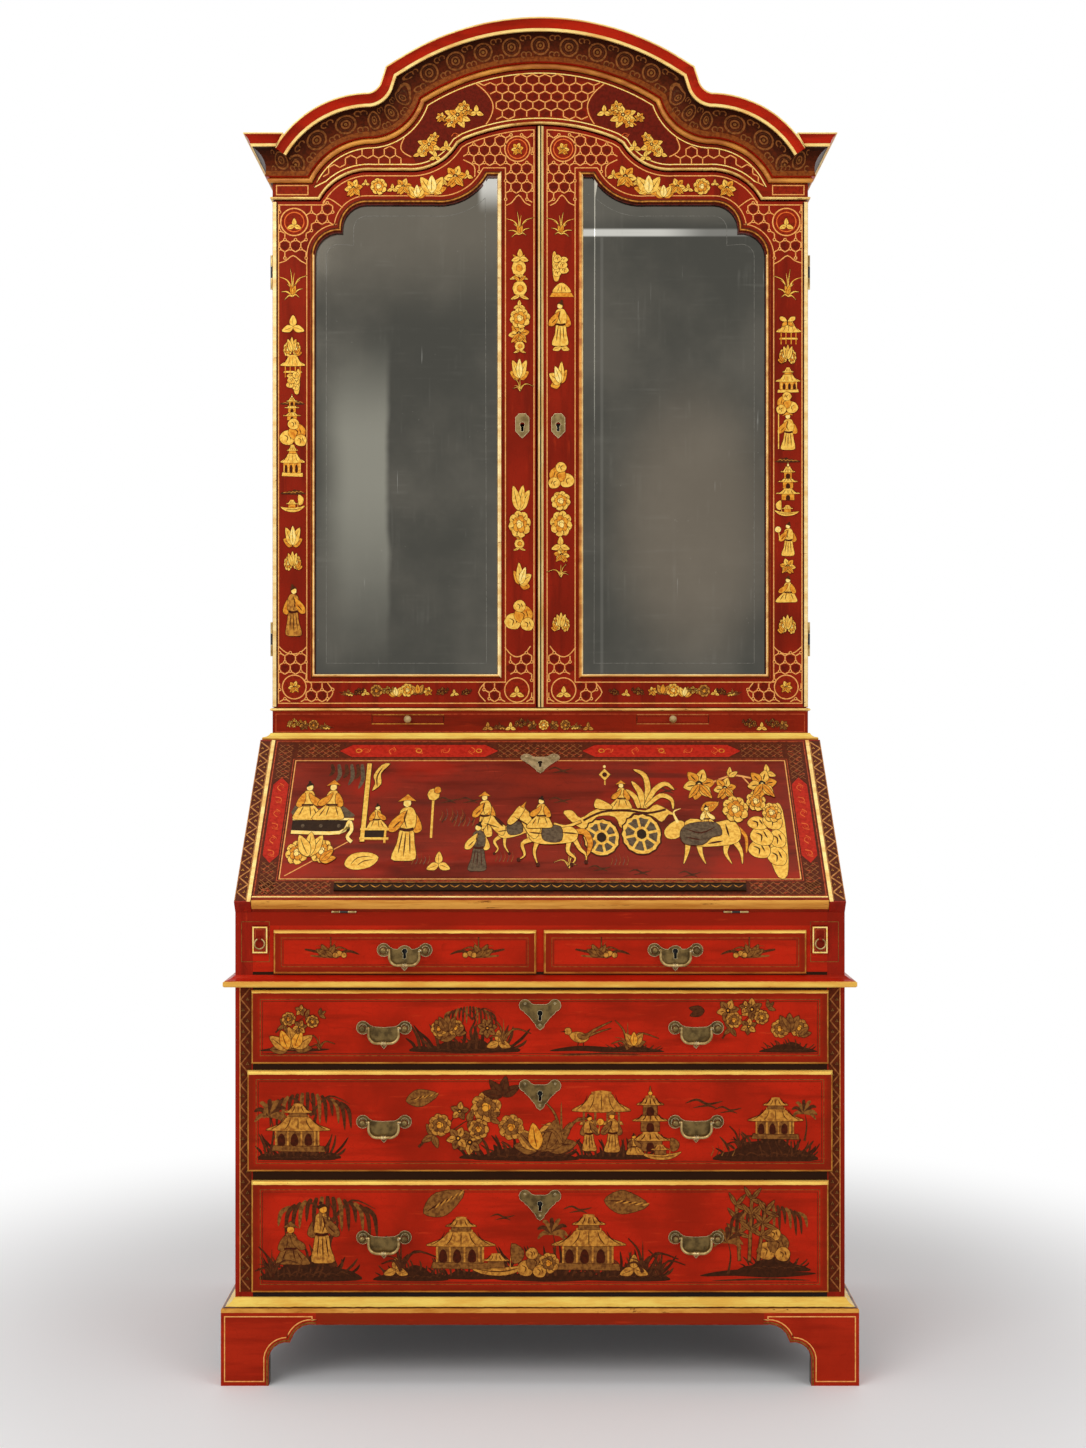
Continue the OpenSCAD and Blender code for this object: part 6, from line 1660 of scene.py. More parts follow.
def paint_drawer_1():
    panel, a, b = drawer_panel("long_drawer_front_1")
    z = a.z + 24
    look = "drawer"
    draw(panel, look, strand, -392, z - 2, 56)
    draw(panel, look, lily, -402, z, 40, c=0j, r=0.9, aim=110)
    draw(panel, look, lily, -392, z + 2, 44, c=0j, r=0.8, aim=70)
    draw(panel, look, branch_of_flowers, -384, z + 44, 38)
    draw(panel, look, grass, -352, z, 26)
    draw(panel, look, knoll, -116, z - 4, 82, tall=0.4)
    draw(panel, look, thicket, -120, z - 3, 88, tall=0.8)
    draw(panel, look, leaves, -160, z + 16, 40, c=0j, r=0.8, turns=(20, 60, 100))
    draw(panel, look, peony_plant, -148, z + 20, 44)
    draw(panel, look, willow, -112, z + 10, 62)
    draw(panel, look, flower, -84, z + 34, 32, c=0j, r=0.5, petals=7, colour="second")
    draw(panel, look, grass, -58, z + 10, 46)
    draw(panel, look, trefoil, -66, z + 4, 34)
    draw(panel, look, strand, 92, z - 2, 76)
    draw(panel, look, bird, 66, z, 56)
    draw(panel, look, grass, 140, z, 52)
    draw(panel, look, lily, 150, z + 6, 30, c=0j, r=0.8)
    draw(panel, look, knoll, 148, z - 4, 50, tall=0.5)
    draw(panel, look, knoll, 396, z - 4, 46, tall=0.7)
    draw(panel, look, branch_of_flowers, 330, z + 46, 44, 12)
    draw(panel, look, peony_plant, 398, z + 18, 50)
    draw(panel, look, flower, 300, z + 62, 36, c=0j, r=0.5, petals=6)
    draw(panel, look, flower, 338, z + 64, 36, c=0j, r=0.5, petals=6, aim=30)
    draw(panel, look, leaves, 262, z + 62, 30, c=0j, r=0.8, turns=(170, 200), colour="wash")
    panel.make("drawer_painting_1", "long_drawer_1")


def paint_drawer_2():
    panel, a, b = drawer_panel("long_drawer_front_2")
    z = a.z + 26
    look = "drawer"
    draw(panel, look, thicket, -384, z - 4, 66)
    draw(panel, look, willow, -372, z + 2, 104)
    draw(panel, look, house, -386, z + 8, 74)
    draw(panel, look, palm, -430, z + 6, 80)
    draw(panel, look, knoll, -388, z - 6, 62, tall=0.5)
    draw(panel, look, winged_leaf, -186, z + 92, 44, -10)
    draw(panel, look, knoll, -22, z - 6, 84, tall=0.6)
    draw(panel, look, thicket, -40, z - 4, 88, tall=0.7)
    draw(panel, look, thicket, 120, z - 4, 64, tall=0.8)
    draw(panel, look, branch_of_flowers, -132, z + 42, 62)
    draw(panel, look, peony, -86, z + 78, 50)
    draw(panel, look, peony, -46, z + 46, 42, aim=20)
    draw(panel, look, flower, -112, z + 22, 40, c=0j, r=0.5, petals=7)
    draw(panel, look, leaves, -60, z + 96, 40, c=0j, r=0.8, turns=(30, 80, 130, 170), colour="wash")
    draw(panel, look, lily, -4, z + 10, 60, c=0j, r=0.8, aim=100)
    draw(panel, look, leaves, 10, z + 12, 62, c=0j, r=0.8, turns=(10, 40, 70, 150), colour="leaf")
    draw(panel, look, grass, 34, z + 20, 80, colour="leaf")
    draw(panel, look, hut, 98, z + 36, 70)
    draw(panel, look, figure, 78, z + 8, 58, prop="fan")
    draw(panel, look, figure, 116, z + 6, 64, prop="none", hat="hat", flip=True)
    draw(panel, look, pagoda, 176, z + 8, 92)
    draw(panel, look, seated, 150, z + 2, 34)
    draw(panel, look, boat, 192, z - 6, 42)
    draw(panel, look, knoll, 360, z - 6, 84, tall=0.9)
    draw(panel, look, thicket, 392, z - 4, 46)
    draw(panel, look, house, 376, z + 28, 64, layer=1)
    draw(panel, look, palm, 422, z + 24, 62)
    draw(panel, look, grass, 318, z + 12, 40, colour="wash")
    draw(panel, look, stalks, 290, z, 34)
    draw(panel, look, cloud, 262, z + 84, 60)
    draw(panel, look, cloud, 300, z + 74, 44)
    panel.make("drawer_painting_2", "long_drawer_2")


def paint_drawer_3():
    panel, a, b = drawer_panel("long_drawer_front_3")
    z = a.z + 26
    look = "drawer"
    draw(panel, look, knoll, -366, z - 4, 82)
    draw(panel, look, thicket, -392, z - 4, 54, tall=1.1)
    draw(panel, look, willow, -340, z + 16, 118)
    draw(panel, look, seated, -398, z + 20, 66, robe="second", over="leaf", hat="hat")
    draw(panel, look, figure, -348, z + 22, 96, prop="none", robe="gold")
    draw(panel, look, grass, -428, z, 54, colour="wash")
    draw(panel, look, knoll, -206, z - 5, 60, tall=0.8)
    draw(panel, look, thicket, -112, z - 2, 62, tall=0.9)
    draw(panel, look, grass, -222, z + 10, 62, colour="wash")
    draw(panel, look, trefoil, -230, z + 4, 34)
    draw(panel, look, house, -126, z + 14, 80)
    draw(panel, look, boat, -70, z + 2, 62)
    draw(panel, look, winged_leaf, -150, z + 118, 62, 6)
    draw(panel, look, thicket, 8, z - 4, 80, tall=1.1)
    draw(panel, look, rock, -14, z, 44)
    draw(panel, look, peony, 14, z + 22, 34)
    draw(panel, look, palm, 20, z + 16, 74)
    draw(panel, look, house, 78, z + 12, 86)
    draw(panel, look, knoll, 146, z - 5, 62, tall=0.9)
    draw(panel, look, thicket, 130, z - 4, 74, tall=1.0)
    draw(panel, look, grass, 164, z + 8, 60, colour="wash")
    draw(panel, look, trefoil, 150, z + 4, 40)
    draw(panel, look, grass, 190, z + 4, 44, colour="wash")
    draw(panel, look, winged_leaf, 140, z + 116, 60, -28)
    draw(panel, look, cloud, -60, z + 96, 40)
    draw(panel, look, cloud, 60, z + 108, 46)
    draw(panel, look, strand, 348, z + 2, 92)
    draw(panel, look, knoll, 374, z + 10, 58, tall=0.8)
    draw(panel, look, willow, 366, z + 28, 92, flip=True)
    draw(panel, look, bamboo, 330, z + 26, 98)
    draw(panel, look, palm, 300, z + 4, 72)
    draw(panel, look, rock, 372, z + 26, 50)
    panel.make("drawer_painting_3", "long_drawer_3")


def paint_short_drawers():
    for side, name in ((-1, "left"), (1, "right")):
        node = f"short_drawer_{name}"
        a, b = low(node), high(node)
        panel = Panel(front_face(a.y))
        border(panel, rect(a.x + 13, b.x - 13, a.z + 12, b.z - 12), 0.9, "bronze")
        border(panel, rect(a.x + 16, b.x - 16, a.z + 15, b.z - 15), 0.7, "umber")
        m = (a.x + b.x) / 2
        for x, flip in ((m - 118, False), (m + 118, True)):
            draw(panel, "drawer", low_spray, x, a.z + 26, 46, flip=flip)
        panel.make(f"short_drawer_painting_{name}", node)


def low_spray(pen):
    """A low plant with a curling tail, about two units wide"""
    pen.stroke([-0.9 + 0.3j, -0.4 + 0.2j, 0.1 + 0.06j], 0.09, "wash", COMMA)
    pen.stroke([0.1 + 0.1j, 0.6 + 0.24j, 1.0 + 0.12j], 0.1, "wash", COMMA)
    pen.stroke([-0.7 + 0.08j, -0.2 + 0.04j, 0.3 + 0.02j], 0.07, "bronze", COMMA)
    grass(pen, 0.04j, 0.7, 9, 74, "leaf")
    leaves(pen, -0.1 + 0.06j, 0.46, (24, 58, 118, 150), "bronze")
    leaves(pen, 0.06 + 0.06j, 0.32, (10, 40, 140), "leaf")
    for c in (0.3 + 0.16j, 0.46 + 0.1j, 0.16 + 0.1j):
        pen.blob([c + 0.09 * cmath.exp(1j * (0.4 + k * math.tau / 6)) for k in range(6)], "gold")


def paint_supports():
    for side, name in ((-1, "left"), (1, "right")):
        node = f"fall_support_{name}"
        a, b = low(node), high(node)
        face = high(f"support_ring_{name}").y
        panel = Panel(front_face(CASE_Y - 3.3))
        border(panel, rect(a.x + 2.2, b.x - 2.2, a.z + 2.2, b.z - 2.2), 2.2, "pale")
        border(panel, rect(a.x + 6, b.x - 6, a.z + 6, b.z - 6), 0.8, "red_line")
        panel.make(f"support_painting_{name}", node)
    panel = Panel(front_face(CASE_Y))
    z0, z1 = low("fall_support_left").z, WRITING_Z - 22
    outer, inner = CASE_HW - 10, 433
    for s in (-1, 1):
        loop = rect(*sorted((s * inner, s * outer)), z0 - 13, z1 + 6)
        border(panel, loop, 0.9, "bronze")
    panel.make("rail_painting", "carcase")


def paint_doors():
    for side, name in ((-1, "left"), (1, "right")):
        mirror_x = (lambda p, h, s=side: (-s * p.real, CAB_Y - h, p.imag))
        panel = Panel(mirror_x)
        edge = sight_edge()
        inner_x = -7 if side < 0 else -1 - 7
        field = shifted([p for p in door_line() if p.real < inner_x - 4], -6)
        left = -CAB_HW + 10.5
        outline = [complex(left, DOOR_Z + 7)] + [p for p in field if p.real > left]
        outline += [complex(inner_x - 4, field[-1].imag), complex(inner_x - 4, DOOR_Z + 7)]
        outline.insert(1, complex(left, SHOULDER_Z - 6))
        panel.slab(rect(-CAB_HW + 0.4, -CAB_HW + 6.6, DOOR_Z + 1, SHOULDER_Z - 1), GILT_CREAM, 0.6)
        panel.slab(rect(-CAB_HW + 6.6, -CAB_HW + 9.2, DOOR_Z + 1, SHOULDER_Z - 1), PAINTS["dark"], 0.1)
        panel.line(outline, 1.8, "pink_line", True)
        ring = grown(edge, 14)
        panel.line(ring, 1.7, "pink_line", True)
        draw_door(panel, side, outline, ring)
        panel.make(f"door_painting_{name}", f"door_{name}")


def draw_door(panel, side, outline, ring):
    outer, inner = -434, -36.5
    spots = [(complex(-431, 1931.9), 24.6, 17, trefoil), (complex(-40, 2060), 22.8, 16.8, flower_up),
             (complex(-431, 1117.2), 21.5, 0, flower_up), (complex(-41, 1112), 22, 0, trefoil)]
    regions = [
        [(-466, 1860), (-446, 1868), (-432.7, 1871), (-420, 1868), (-408, 1858), (-340, 1940), (-346, 1957.5),
         (-369.7, 1973), (-381, 1966), (-392, 1990), (-466, 1990)],
        [(-135, 2041), (-115, 2028), (-115, 2008), (-75, 1990), (-62, 1961), (-50, 1972), (-38, 1978), (-26, 1972),
         (-14, 1961), (-8, 2120), (-135, 2120)],
        [(-466, 1188), (-434, 1176), (-402, 1188), (-400, 1140), (-372, 1138), (-362, 1112), (-374, 1086), (-466, 1086)],
        [(-8, 1189), (-41, 1171), (-74, 1187), (-74, 1140), (-98, 1138), (-108, 1112), (-96, 1086), (-8, 1086)],
    ]
    for points in regions:
        region = [complex(*p) for p in points]
        xs, ys = [p.real for p in region], [p.imag for p in region]

        def keep(q):
            return (inside(q, region) and inside(q, outline) and not inside(q, ring)
                    and all(abs(q - c) > r - 0.6 for c, r, _, _ in spots))
        comb(panel, keep, (min(xs), max(xs), min(ys), max(ys)), 18.6, knots=True)
    for way in ([-458 + 1860j, -446 + 1864j, -433 + 1873j, -420 + 1864j, -409 + 1858j], [-381 + 1966j, -370 + 1973j, -346 + 1957j],
                [-135 + 2041j, -116 + 2030j, -115 + 2011j], [-60 + 1961j, -50 + 1966j, -38 + 1979j, -27 + 1966j, -17 + 1961j],
                [-458 + 1188j, -446 + 1178j, -434 + 1175j, -420 + 1178j, -409 + 1188j],
                [-17 + 1189j, -28 + 1175j, -41 + 1170j, -52 + 1175j, -62 + 1187j],
                [-374 + 1126j, -363 + 1108j, -374 + 1092j], [-96 + 1126j, -108 + 1108j, -96 + 1092j]):
        panel.line(smooth(way, 3), 1.8, "pink_line", False, 0.3)
    for c, r, small, motif in spots:
        panel.rank = 0
        pen = Pen(panel, "door", c, r)
        pen.disc(0j, 0.98, "ground", False, 30)
        pen.ring(0j, 0.97, 0.09, "pink_line", 34)
        if small:
            pen.ring(0j, small / r, 0.075, "red_gold", 28)
        size = 1.3 * small if small else r
        motif(Pen(panel, "door", c - 0.5j * size, size))
    for place, motifs in ((outer, (STILE_LEFT if side < 0 else STILE_RIGHT)["outer"]),
                          (inner, (STILE_LEFT if side < 0 else STILE_RIGHT)["inner"])):
        for k, (motif, up, size, kind) in enumerate(motifs):
            wide = min(size, 44 / WIDTHS.get(motif.__name__, 1.2))
            draw(panel, "door", motif, place + (0, 1, -1, 0.5)[k % 4], DOOR_Z + up, wide, layer=k % 2,
                 tall=min(1.7, size / wide), **kind)
    for x, z, size, motif, look in ((-338, 20, 17, low_spray, "door"), (-318, 27, 9, branch_of_flowers, "drawer"),
                                    (-306, 22, 13, trefoil, "door"), (-286, 18, 22, peony_up, "drawer"),
                                    (-268, 29, 11, branch_of_flowers, "door"), (-252, 18, 19, lily_up, "door"),
                                    (-232, 18, 24, peony_up, "door"), (-214, 22, 20, lily_up, "drawer"),
                                    (-196, 20, 16, flower_up, "door"), (-172, 27, 11, branch_of_flowers, "drawer"),
                                    (-150, 21, 13, trefoil, "door"), (-130, 26, 9, branch_of_flowers, "drawer")):
        draw(panel, look, motif, x, DOOR_Z + z, size, turn=(8, -6, 4)[x % 3])
    for x, z, size, motif in ((-327, 1991, 32, flower_up), (-283, 1994, 30, peony_up), (-259, 1994, 16, trefoil),
                              (-240, 1994, 30, flower_up), (-216, 1986, 26, lily_up), (-190, 1998, 38, lily_up),
                              (-184, 1992, 20, trefoil), (-149, 2011, 40, flower_up), (-128, 2018, 18, trefoil),
                              (-306, 2003, 12, trefoil), (-168, 2004, 14, trefoil)):
        draw(panel, "door", motif, x, z - 0.5 * size, size, layer=x % 2)


def flower_up(pen):
    flower(pen, 0.5j, 0.5, 6)
    leaves(pen, 0.5j, 0.56, (-50, 230), "second", 0.2)


def lily_up(pen):
    lily(pen, 0.1j, 0.9)


def peony_up(pen):
    peony(pen, 0.5j, 0.5)





def dome(pen):
    """A round hat-like roof with a rim, about 1.2 units wide"""
    pen.blob([-0.4 + 0.16j, -0.3 + 0.4j, 0.0 + 0.56j, 0.3 + 0.4j, 0.4 + 0.16j], "gold")
    pen.fill([-0.58 + 0.0j, 0.58 + 0.0j, 0.46 + 0.16j, -0.46 + 0.16j], "second")
    pen.lines([[-0.2 + 0.2j, -0.12 + 0.4j], [0.0 + 0.2j, 0.0 + 0.46j], [0.2 + 0.2j, 0.12 + 0.4j]], 0.03)


WIDTHS = {"sprig": 1.15, "trefoil": 1.2, "peony_plant": 1.75, "hut": 1.35, "mound": 2.0, "crag": 0.65, "pagoda": 0.8,
          "rock": 0.9, "house": 1.4, "boat": 1.55, "lily": 1.6, "figure": 0.6, "fruit": 1.3, "flower_up": 1.1,
          "peony_up": 1.1, "leaves": 1.2, "grass": 1.7, "seated": 0.85, "dome": 1.2, "butterfly": 1.1}
STILE_LEFT = {
    "outer": [
              (sprig, 717, 54, {}), (trefoil, 659, 35, {}), (peony_plant, 614, 58, {}), (hut, 578, 40, {}),
              (mound, 531, 70, {}), (crag, 549, 39, {}), (pagoda, 503, 41, {}), (rock, 458, 45, {}),
              (house, 405, 56, {}), (mound, 374, 88, {}), (boat, 342, 37, {}),
              (lily, 284, 48, {"c": 0j, "r": 0.8}), (peony_plant, 239, 69, {}),
              (figure, 125, 88, {"prop": "none", "robe": "old_gold"})],
    "inner": [
              (sprig, 826, 44, {}), (trefoil, 782, 26, {}), (fruit, 750, 39, {}), (fruit, 715, 37, {}),
              (trefoil, 699, 18, {}), (peony_up, 663, 37, {}), (flower_up, 636, 37, {}),
              (fruit, 621, 23, {}), (lily, 577, 50, {"c": 0j, "r": 0.8}), (grass, 554, 25, {}),
              (leaves, 345, 57, {"c": 0j, "r": 0.8, "turns": (50, 75, 110)}), (peony_up, 296, 49, {}),
              (fruit, 275, 23, {}), (lily, 216, 66, {"c": 0j, "r": 0.8, "aim": 60}), (rock, 135, 50, {})],
}
STILE_RIGHT = {
    "outer": [
              (sprig, 717, 53, {}), (butterfly, 675, 26, {}), (hut, 636, 42, {}),
              (peony_plant, 601, 53, {}), (house, 552, 42, {}), (rock, 514, 36, {}),
              (figure, 451, 65, {"prop": "staff", "hat": "hat"}), (mound, 430, 61, {}),
              (pagoda, 363, 61, {}), (boat, 335, 33, {}), (figure, 265, 58, {"prop": "fan"}),
              (flower_up, 233, 28, {}), (seated, 184, 46, {"hat": "cap"}), (peony_plant, 128, 69, {})],
    "inner": [
              (sprig, 827, 42, {}), (crag, 747, 46, {}), (dome, 719, 44, {}),
              (figure, 633, 78, {"prop": "none"}), (trefoil, 626, 26, {}),
              (lily, 568, 64, {"c": 0j, "r": 0.8, "aim": 60}), (rock, 384, 43, {}), (peony_up, 344, 35, {}),
              (peony_up, 298, 47, {}), (trefoil, 277, 28, {}), (flower_up, 253, 28, {}),
              (grass, 228, 26, {}), (peony_plant, 132, 86, {})],
}


def paint_frieze():
    panel = Panel(front_face(CAB_Y))
    top = shifted(cornice_line(), -15)
    below = shifted(door_line(), 14)
    edge_x = CAB_HW - 7
    foot_x = -DOME_HW - COVE.real - HAUNCH.real
    top_arch = [p for p in top if foot_x + 8 < p.real < -foot_x - 8]
    low_arch = [p for p in below if abs(p.real) < -foot_x - 24 and p.imag > SHOULDER_Z + 20]
    loop = top_arch + low_arch[::-1]
    panel.line(loop, 1.8, "pale", True)
    for s in (-1, 1):
        x0, x1 = sorted((s * edge_x, s * (-foot_x + 2)))
        box = rect(x0, x1, SHOULDER_Z + 12, CORNICE_Z - 12)
        panel.slab(box, PAINTS["ground"], 0.08)
        panel.line(box, 1.8, "pink_line", True)
    right_end = smooth([-112 + 2174j, -94 + 2158j, -83 + 2138j, -86 + 2118j, -97 + 2100j], 4)
    left_end = smooth([-232 + 2092j, -244 + 2066j, -240 + 2054j, -226 + 2046j], 4)

    def within(q):
        return inside(q, loop)

    def middle(q):
        across = min(right_end, key=lambda p: abs(p.imag - q.imag)).real
        return within(q) and abs(q.real) < -across - 2

    def outer(q):
        across = min(left_end, key=lambda p: abs(p.imag - q.imag)).real
        return within(q) and abs(q.real) > -across + 2

    comb(panel, middle, (-120, 120, 2092, 2200), 21.4, 0.8)
    for s in (-1, 1):
        comb(panel, outer, (*sorted((s * 226, s * 400)), 1990, 2100), 19.5, 0.95)
        for path in (right_end, left_end):
            ways = [q for q in path if within(complex(q.real, q.imag))]
            panel.line([complex(-s * q.real, q.imag) for q in ways], 1.8, "pink_line", False, 0.3)
        ground = [q for q in left_end[::-1] if within(q)] + [q for q in top_arch if -234 < q.real < -112]
        ground += [q for q in right_end if within(q)] + [q for q in low_arch[::-1] if -226 < q.real < -97]
        panel.slab([complex(-s * q.real, q.imag) for q in grown_safely(ground, -3)], PAINTS["cartouche"], 0.1)
        for x, z, size, motif in ((-195, 2068, 40, spray), (-145, 2120, 46, spray), (-174, 2115, 18, flower_up),
                                  (-112, 2130, 22, trefoil), (-165, 2068, 20, trefoil), (-128, 2126, 18, flower_up),
                                  (-212, 2056, 18, trefoil), (-184, 2050, 18, trefoil)):
            draw(panel, "door", motif, -s * x, z - 0.5 * size, size, flip=s > 0, layer=size < 30)
        draw(panel, "door", scroll, s * 149, 2084, 11, colour="red_gold")
    panel.make("frieze_painting", "carcase")


def spray(pen):
    """Blossoms crowded on a short twig, one unit high"""
    pen.stroke([-0.5 + 0.1j, -0.1 + 0.4j, 0.4 + 0.9j], 0.05, "second", TAIL)
    leaves(pen, 0.0 + 0.45j, 0.52, (-60, -20, 160, 200, 75), "gold", 0.3)
    flower(pen, 0.0 + 0.5j, 0.34, 5)
    flower(pen, 0.24 + 0.82j, 0.22, 5)
    flower(pen, -0.22 + 0.2j, 0.24, 5)


def paint_cove():
    """Roundels and scrolls that follow the cornice's hollow"""
    path = cornice_line(24)
    turns = normals(path)
    lengths = [0.0]
    for a, b in zip(path, path[1:]):
        lengths.append(lengths[-1] + abs(b - a))
    hollow = [complex(q[0], q[1]) for q in profile_arc(COVE_START, COVE_END, -9, None, 12)] + [complex(*COVE_END)]

    def place(p, h):
        s = min(max(p.real, 0), lengths[-1] - 0.01)
        i = min(max(k for k, v in enumerate(lengths) if v <= s), len(path) - 2)
        t = (s - lengths[i]) / (lengths[i + 1] - lengths[i])
        o = path[i] + (path[i + 1] - path[i]) * t
        n = turns[i] + (turns[i + 1] - turns[i]) * t
        u = min(max(p.imag / COVE_W, 0), 1) * 12
        j = min(int(u), 11)
        q = hollow[j] + (hollow[j + 1] - hollow[j]) * (u - j)
        q = q + unit(hollow[j + 1] - hollow[j]) * 1j * h
        point = o + n * q.real
        return (point.real, CAB_Y - q.imag, point.imag)

    panel = Panel(place)
    total = lengths[-1]
    count = round(total / 47)

    def band(c, r0, r1, colour, start=0.0, sweep=1.0, n=26):
        rows = [[c + cmath.rect(r, 2 * math.pi * (start + sweep * i / n)) for i in range(n + 1)] for r in (r0, r1)]
        for height in (0.45,):
            a, b = [panel.mesh.add([place(p, height) for p in row]) for row in rows]
            c0, d0 = [panel.mesh.add([place(p, -0.03) for p in row]) for row in rows]
            for one, two in ((a, b), (c0, a), (b, d0)):
                panel.mesh.ring(one, two, PAINTS[colour], closed=False)

    for k in range(count):
        c = complex(total * (k + 0.5) / count, COVE_W * 0.52)
        band(c, 12.6, 15.6, "cove_ring")
        band(c, 9.4, 10.6, "umber")
        band(c, 4.6, 7.2, "cove_ring")
        band(c, 0.6, 2.4, "bronze")
        for lean in (-1, 1):
            m = c + lean * total / count / 2
            for y in (0.24, 0.78):
                band(complex(m.real - lean * 4, COVE_W * y), 3.4, 5.4, "cove_ring", 0.1 * lean, 0.7, 14)
    panel.make("cornice_painting", "carcase")


COVE_W = 50


def paint_feet():
    """Gilt lines inside the outlines of the bracket feet"""
    foot_z = high("bracket_feet").z
    a = low("bracket_feet")
    rail_z = foot_z - 19
    foot_w, bracket_w = 76, 75
    reach = foot_w + bracket_w
    cusp = complex(foot_w + 34, 0.71 * rail_z)
    curve = arc(complex(foot_w, 0.46 * rail_z), cusp, 9, 8) + [cusp]
    curve += arc(cusp + 2 + 5j, complex(reach, rail_z), 9, 8)
    whole = [complex(foot_w, 1)] + curve + [complex(reach, rail_z)]
    inner, outer = parallel(whole, 7.5), parallel(whole, 2.6)
    loop = [complex(6, 7), complex(foot_w - 7.5, 7)] + [p for p in inner if p.imag > 9]
    loop += [complex(reach - 6, rail_z + 7), complex(reach - 6, foot_z - 6), complex(6, foot_z - 6)]
    for flip in (-1, 1):
        name = "left" if flip < 0 else "right"
        faces = (("front", lambda p, h, s=flip: (s * (-a.x - p.real) * 1.0, a.y - h, p.imag)),
                 ("side", lambda p, h, s=flip: (s * (-a.x + h), a.y + p.real, p.imag)),
                 ("rear", lambda p, h, s=flip: (s * (-a.x + h), CASE_BACK - p.real, p.imag)))
        for where, place in faces:
            panel = Panel(place)
            panel.line(loop, 1.7, "pink_line", True)
            panel.line(outer, 2.6, "bronze")
            panel.make(f"foot_lines_{where}_{name}", "carcase")


def paint_base_and_rail():
    """Sprigs on the cabinet's rail, and gilt lines round the candle slides"""
    panel = Panel(front_face(CAB_Y))
    z0, z1 = DESK_Z + 14, DOOR_Z - 12
    border(panel, rect(-CAB_HW + 6, CAB_HW - 6, z0, z1), 1.2, "red_line")
    for s, name in ((-1, "left"), (1, "right")):
        a, b = low(f"candle_slide_{name}"), high(f"candle_slide_{name}")
        for z in (a.z - 1.6, b.z + 1.6):
            panel.line([complex(a.x - 1, z), complex(b.x + 1, z)], 1.6 if s < 0 else 1.1, "old_gold" if s < 0 else "tan")
        for x in (a.x - 1.2, b.x + 1.2):
            panel.line([complex(x, a.z - 1.4), complex(x, b.z + 1.4)], 0.8, "band")
    motifs = ((branch_of_flowers, 13, 14), (low_spray, 17, 4), (flower_up, 17, 3), (trefoil, 16, 4), (peony_up, 18, 3))
    for k, x in enumerate((-432, -414, -397, -378, -92, -72, -52, -34, -14, 6, 24, 44, 64, 84, 368, 388, 408, 426)):
        motif, size, up = motifs[(2 * k + k // 5) % 5]
        draw(panel, "drawer" if k % 3 else "door", motif, x, z0 + up, size, flip=x > 0)
    panel.make("rail_sprigs", "carcase")


def paint_sides():
    """Restrained gilt lines and one spray on each side of both cases"""
    for side, name in ((-1, "left"), (1, "right")):
        panel = Panel(side_face(side, CASE_HW))
        y0, y1 = CASE_Y + 22, CASE_BACK - 22
        z0, z1 = high("base_moulding").z + 18, low("waist_moulding").z - 16
        border(panel, rect(y0, y1, z0, z1), 1.6, "old_gold")
        border(panel, indented(y0 + 12, y1 - 12, z0 + 12, z1 - 12, 18), 1.1, "pink_line")
        draw(panel, "drawer", mound, (y0 + y1) / 2, z0 + 60, 150)
        draw(panel, "drawer", willow, y0 + 170, z0 + 80, 220)
        draw(panel, "drawer", peony_plant, (y0 + y1) / 2 + 60, z0 + 96, 110)
        draw(panel, "drawer", branch_of_flowers, (y0 + y1) / 2 + 90, z0 + 250, 110)
        draw(panel, "drawer", phoenix, (y0 + y1) / 2 + 20, z1 - 150, 100)
        slant0, slant1 = WRITING_Z - 82, WRITING_Z - 6
        border(panel, rect(y0, y1, slant0, slant1), 1.4, "old_gold")
        panel.make(f"case_side_painting_{name}", "carcase")
        panel = Panel(side_face(side, CAB_HW))
        y0, y1 = CAB_Y + 34, CASE_BACK - 20
        z0, z1 = DESK_Z + 30, CORNICE_Z - 26
        border(panel, rect(y0, y1, z0, z1), 1.5, "old_gold")
        border(panel, indented(y0 + 10, y1 - 10, z0 + 10, z1 - 10, 14), 1.1, "pink_line")
        m = (y0 + y1) / 2
        for k, (motif, size) in enumerate(((sprig, 80), (pagoda, 130), (peony_plant, 90), (figure, 120),
                                           (branch_of_flowers, 56), (phoenix, 90), (sprig, 80))):
            draw(panel, "drawer", motif, m, z0 + 50 + 126 * k, size)
        panel.make(f"cabinet_side_painting_{name}", "carcase")


def paint_inside():
    """Lines on the fall's inner face and on the backs of the doors"""
    panel = Panel(lambda p, h: slope_face(-h)(p, 0))
    border(panel, rect(-FALL_HW + 14, FALL_HW - 14, 30, FALL_LEN - 14), 1.6, "old_gold")
    border(panel, rect(-FALL_HW + 22, FALL_HW - 22, 38, FALL_LEN - 22), 1.0, "pink_line")
    for x in (-300, 300):
        draw(panel, "drawer", branch_of_flowers, x, 200, 90, flip=x > 0)
    panel.make("fall_inside_painting", "fall")


# Materials of the frame's own pieces
def dress(material, *nodes):
    for node in nodes:
        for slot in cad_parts[node].material_slots:
            slot.material = material


